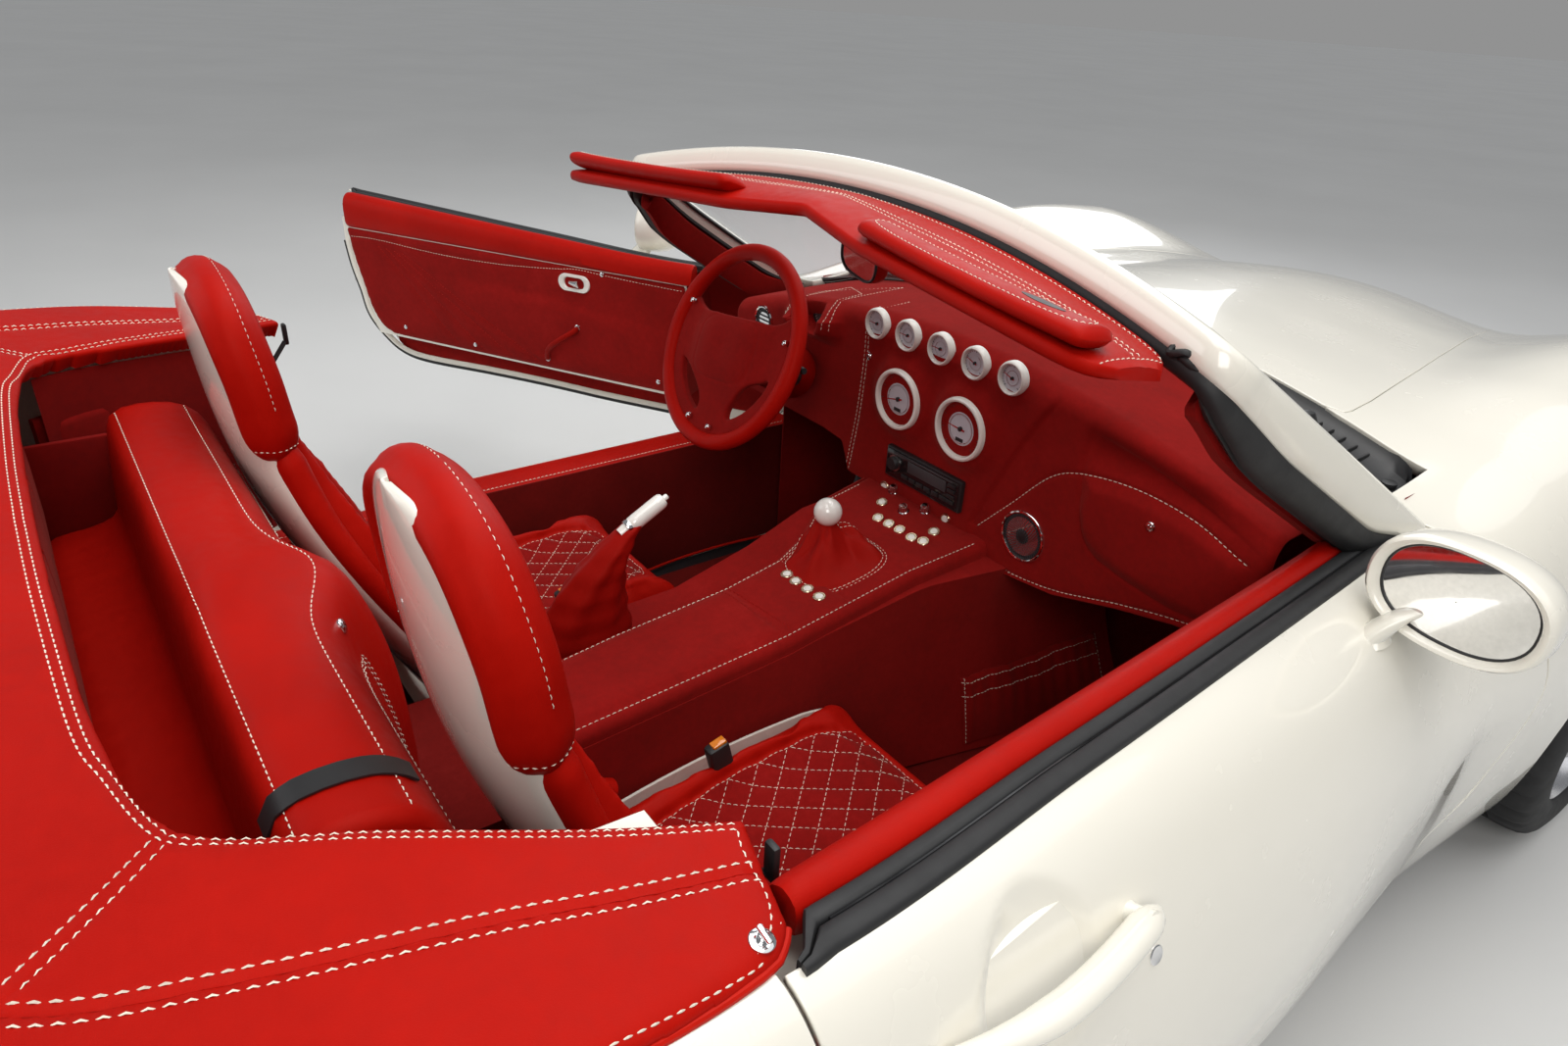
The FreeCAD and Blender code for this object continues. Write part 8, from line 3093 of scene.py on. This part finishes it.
h.add(*rbox((760, -400, 640), (170, 190, 150), 8), BLACK)
h.add(*lathe((760, -350, 716), (0, 0, 1), [(0, 11), (12, 10), (13, 0.02)], 20), STEEL)
h.add(*lathe((760, -450, 716), (0, 0, 1), [(0, 11), (12, 10), (13, 0.02)], 20), STEEL)
h.add(*rbox((780, 400, 650), (150, 150, 130), 26), KNOB)
h.add(*lathe((780, 400, 714), (0, 0, 1), [(0, 26), (14, 26), (16, 22), (16, 0.02)], 28), BLACK)
h.add(*tube(smooth_path([(1360, 120, 720), (1460, 180, 740), (1560, 190, 700), (1620, 190, 650)], 30), 21, 16), RUBBER)
h.add(*tube(smooth_path([(1360, -150, 700), (1440, -240, 660), (1560, -230, 560), (1620, -220, 480)], 30), 21, 16), RUBBER)
h.add(*tube([(700, 470, 700), (700, 0, 742), (700, -470, 700)], 12, 12), ALLOY)
h.done("engine_dressing", "body", 40)

# ------------------------------------------------------------------ wheels and tyres
def tyre_mesh(f_w, z_w, r, w, side):
    n = 216
    half = w / 2.0
    base = [(-half + 16, 241.0, 0), (-half + 6, 243, 0), (-half + 1, 250, 0), (-half - 1.5, 266, 0), (-half - 2.0, r - 56, 0), (-half + 0.5, r - 34, 0), (-half + 5, r - 20, 0), (-half + 12, r - 10, 1), (-half + 22, r - 4.5, 1), (-half + 40, r - 1.6, 1)]
    grooves = [-0.52, -0.18, 0.18, 0.52]
    tread = []
    for x in grooves:
        c = x * (half - 20)
        tread += [(c - 8, r - 0.6, 1), (c - 4.6, r - 0.4, 0), (c - 3.6, r - 7.0, 0), (c + 3.6, r - 7.0, 0), (c + 4.6, r - 0.4, 0), (c + 8, r - 0.3, 1)]
    prof = base + tread + [(-a, b, m) for a, b, m in reversed(base)]
    inner = [(half - 20, 236.0, 0), (0, 232.0, 0), (-half + 20, 236.0, 0)]
    prof = prof + inner
    rings = []
    for i in range(n):
        a = 2 * math.pi * i / n
        ring = []
        for x, rad, m in prof:
            cut = 5.0 if (m and (i + (1 if abs(x) < 40 else 0)) % 6 == 0) else 0.0
            rr = rad - cut
            if 262 < rad < r - 50 and not m:
                rr = rad
            ring.append((f_w + rr * math.cos(a + 0.004 * x / 10), side * (765 + x), z_w + rr * math.sin(a + 0.004 * x / 10)))
        rings.append(ring)
    return rings_mesh(rings, True, False, True)


def wheel_heap(f_w, z_w, w, side):
    h = Heap()
    half = w / 2.0 - 10
    c = (f_w, side * 765.0, z_w)
    ax = (0, side, 0)
    rim = [(-half, 247), (-half + 3, 249.5), (-half + 8, 244), (-half + 12, 236), (-half + 40, 226), (0, 214), (half - 50, 222), (half - 14, 234), (half - 8, 241), (half - 3, 249.5), (half, 247.5),
           (half + 0.5, 243), (half - 5, 237), (half - 16, 229), (half - 54, 215), (0, 207), (-half + 36, 219), (-half + 8, 230), (-half, 240)]
    h.add(*lathe(c, ax, rim, 96, closed=True), ALLOY)
    n_sp = 10
    for k in range(n_sp):
        a0 = 2 * math.pi * k / n_sp
        rings = []
        for q in np.linspace(0, 1, 12):
            r = 40 + (229 - 40) * q
            wd = 15.0 - 4.0 * math.sin(math.pi * q) + 9.0 * max(0.0, q - 0.8) * 5 * 0.5
            x0 = 58 + 24 * (1 - (1 - q) ** 2) - 2 + (half - 100) * 0.25 * q
            ring = []
            for dx, dw in ((0, -0.55), (5, -0.2), (5, 0.2), (0, 0.55), (-10, 1.0), (-26, 0.9), (-26, -0.9), (-10, -1.0)):
                t = a0 + math.atan2(dw * wd, r)
                rr = math.hypot(r, dw * wd)
                ring.append((c[0] + rr * math.cos(t), c[1] + side * (x0 + dx), c[2] + rr * math.sin(t)))
            rings.append(ring)
        h.add(*rings_mesh(rings), ALLOY)
    hub = [(-30, 30.5), (-30, 68), (20, 68), (34, 66), (52, 60), (60, 52), (62, 40), (66, 33), (70, 30), (72, 26), (72, 0.02)]
    h.add(*lathe(c, ax, hub[1:], 64), ALLOY)
    h.add(*lathe(c, ax, [(60, 31), (74, 29.5), (77, 25), (78, 0.02)], 40), CHROME)
    for k in range(5):
        a = 2 * math.pi * k / 5 + 0.3
        p = (c[0] + 47 * math.cos(a), c[1] + side * 54, c[2] + 47 * math.sin(a))
        h.add(*lathe(p, ax, [(0, 8), (14, 8), (17, 5), (17, 0.02)], 6), STEEL)
    # brake disc with drilled rows, the holes drawn as dark discs that paint their shade, and valve
    h.add(*lathe(c, ax, [(-30, 68), (-30, 172), (-27, 173), (-11, 173), (-8, 172), (-8, 68)], 96, closed=True), STEEL)
    for k in range(36):
        for j, rr in enumerate((110, 132, 154)):
            a = 2 * math.pi * (k + j * 0.33) / 36
            p = (c[0] + rr * math.cos(a), c[1] + side * -8.0, c[2] + rr * math.sin(a))
            h.add(*lathe(p, ax, [(-0.5, 3.0), (0.25, 3.0), (0.3, 0.02)], 8), DARK)
    h.add(*tube([(c[0] + 218 * math.cos(0.3), c[1] + side * (half - 30), c[2] + 218 * math.sin(0.3)), (c[0] + 206 * math.cos(0.3), c[1] + side * (half - 14), c[2] + 206 * math.sin(0.3))], 3.4, 10), BLACK)
    return h


for where, f_w, z_w, r, w in (("front", F_FRONT, 330.0, 330.0, 245.0), ("rear", F_REAR, 340.0, 340.0, 275.0)):
    for label, side in (("left", 1), ("right", -1)):
        body = where + "_" + label + "_wheel"
        v_, f_ = tyre_mesh(f_w, z_w, r, w, side)
        t = make(where + "_" + label + "_tread", v_, f_, TYRE, body, 35)
        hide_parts(where + "_" + label + "_tyre")
        wo = wheel_heap(f_w, z_w, w, side).done(where + "_" + label + "_alloy", body, 35)
        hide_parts(where + "_" + label + "_wheel")
# ------------------------------------------------------------------ the densest soft pieces made lighter
def thin_out(name, ratio, angle=45):
    obj = bpy.data.objects[name]
    m = obj.modifiers.new("t", "DECIMATE")
    m.ratio = ratio
    light = bpy.data.meshes.new_from_object(obj.evaluated_get(bpy.context.evaluated_depsgraph_get()))
    obj.modifiers.clear()
    if "custom_normal" in light.attributes:
        light.attributes.remove(light.attributes["custom_normal"])
    light.validate()
    light.polygons.foreach_set("use_smooth", [True] * len(light.polygons))
    light.set_sharp_from_angle(angle=math.radians(angle))
    obj.data = light


for name, ratio in (
    ("dashboard_leather", 0.25), ("left_seat_back_pad", 0.36), ("right_seat_back_pad", 0.36), ("left_seat_cushion", 0.36), ("right_seat_cushion", 0.36),
    ("hood_cover_leather", 0.4), ("steering_wheel_pad_leather", 0.36), ("seat_shell_mouldings", 0.45), ("left_door_trim_leather", 0.5),
    ("right_door_trim_leather", 0.5), ("headlamp_reflectors", 0.4), ("tail_lamp_rims", 0.4), ("rear_shelf_leather", 0.6), ("centre_console_leather", 0.6),
):
    thin_out(name, ratio)


# ------------------------------------------------------------------ floor, light
def stage():
    m = Nodes("floor_paint")
    n = m.noise(0.6, 6)
    m.color(m.ramp(n.outputs["Fac"], [(0.3, (0.62, 0.62, 0.61)), (0.7, (0.66, 0.66, 0.65))]))
    m.rough(m.span(m.noise(2.5, 5).outputs["Fac"], 0.3, 0.7, 0.5, 0.62))
    m.bump(m.noise(60.0, 4).outputs["Fac"], 0.03, 0.001)
    me = bpy.data.meshes.new("floor")
    bm = bmesh.new()
    r, n_seg = 60.0, 96
    rings = []
    for q in (0.0, 3.0, 7.0, 14.0, 30.0, r):
        if q == 0:
            rings.append([bm.verts.new((0, 0, 0))])
        else:
            rings.append([bm.verts.new((q * math.cos(a), q * math.sin(a), 0)) for a in [2 * math.pi * k / n_seg for k in range(n_seg)]])
    for k in range(n_seg):
        bm.faces.new((rings[0][0], rings[1][k], rings[1][(k + 1) % n_seg]))
    for a, b in zip(rings[1:-1], rings[2:]):
        for k in range(n_seg):
            bm.faces.new((a[k], b[k], b[(k + 1) % n_seg], a[(k + 1) % n_seg]))
    bm.normal_update()
    bm.to_mesh(me)
    bm.free()
    me.materials.append(m.mat)
    floor = link(bpy.data.objects.new("floor", me))

    def area(name, at, to, size, power, color=(1, 1, 1), size_y=None):
        d = bpy.data.lights.new(name, "AREA")
        d.shape = "RECTANGLE"
        d.size, d.size_y = size, size_y or size
        d.energy = power
        d.color = color
        o = bpy.data.objects.new(name, d)
        link(o)
        a, b = P(*at), P(*to)
        o.matrix_world = Matrix.Translation(a) @ (b - a).to_track_quat("-Z", "Y").to_matrix().to_4x4()

    # a large soft light overhead, a key from behind the camera's left, a fill from the front
    area("overhead", (200, -200, 4600), (0, 0, 0), 5.0, 190, (1.0, 0.985, 0.96), 3.4)
    area("key", (-3200, -3600, 3800), (0, 0, 700), 2.6, 150, (1.0, 0.97, 0.93))
    area("fill", (3800, 3000, 3400), (0, 0, 700), 3.4, 80, (0.95, 0.97, 1.0))
    area("back", (-3600, 2600, 2600), (0, 0, 700), 2.6, 45, (0.97, 0.98, 1.0))
    wide = bpy.data.lights.new("wide", "SUN")
    wide.energy, wide.angle = 1.0, 1.2
    wide_obj = link(bpy.data.objects.new("wide", wide))
    wide_obj.rotation_euler = (0.35, -0.25, 0.0)
    world = bpy.data.worlds.new("studio")
    bpy.context.scene.world = world
    world.use_nodes = True
    bg = world.node_tree.nodes["Background"]
    bg.inputs["Color"].default_value = (0.80, 0.82, 0.85, 1)
    bg.inputs["Strength"].default_value = 0.40
    # what the camera sees beyond the floor has the floor's own tone
    t = world.node_tree
    seen = t.nodes.new("ShaderNodeBackground")
    seen.inputs["Color"].default_value = (0.60, 0.60, 0.60, 1)
    seen.inputs["Strength"].default_value = 0.64
    path = t.nodes.new("ShaderNodeLightPath")
    both = t.nodes.new("ShaderNodeMixShader")
    t.links.new(path.outputs["Is Camera Ray"], both.inputs[0])
    t.links.new(bg.outputs[0], both.inputs[1])
    t.links.new(seen.outputs[0], both.inputs[2])
    t.links.new(both.outputs[0], t.nodes["World Output"].inputs["Surface"])


stage()
scene = bpy.context.scene
try:
    scene.view_settings.view_transform = "Standard"
    scene.view_settings.look = "None"
    scene.view_settings.exposure = -0.42
except TypeError:
    pass

# ------------------------------------------------------------------ any CAD node still plain gets its own material
# the steering column takes the darker leather, painted shade under the wheel
NODE_MATS = {
    "engine_and_gearbox": DARK, "exhaust": STEEL, "subframes": DARK, "suspension_arms": DARK, "rear_axle": DARK, "left_knuckle": DARK,
    "right_knuckle": DARK, "floor_pan": BLACK, "transmission_tunnel": CARPET, "firewall": CARPET, "rear_bulkhead": CARPET, "boot_tub": CARPET,
    "sills": BLACK, "cowl_panel": BLACK, "windscreen_frame": PAINT, "windscreen_glass": GLASS, "headlamps": LENS, "tail_lamps": REDLENS,
    "grille": CHROME, "plate_carriers": BLACK, "header_trim": LEATHER, "sun_visors": LEATHER, "interior_mirror": LEATHER,
    "dashboard": SUEDE, "instruments": BEZEL, "centre_console": SUEDE, "steering_wheel": LEATHER, "steering_column": LEATHER_SHADED,
    "gear_lever": KNOB, "handbrake_lever": KNOB, "pedals": STEEL, "seat_shells": SHELL_WHITE, "seat_pads": LEATHER, "rear_shelf": LEATHER,
    "hood_cover": LEATHER, "quarter_trims": SUEDE,
}


def dress_nodes():
    for name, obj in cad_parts.items():
        if name.endswith("_tyre"):
            mat = TYRE
        elif name.endswith("_wheel"):
            mat = ALLOY if name != "steering_wheel" else LEATHER
        elif name.endswith("door_shell") or name.endswith("door_mirror"):
            mat = PAINT
        elif name.endswith("door_trim"):
            mat = SUEDE
        else:
            mat = NODE_MATS.get(name, PAINT)
        if obj.type == "MESH":
            if not obj.data.materials:
                obj.data.materials.append(mat)
            for slot in obj.material_slots:
                slot.material = mat


dress_nodes()
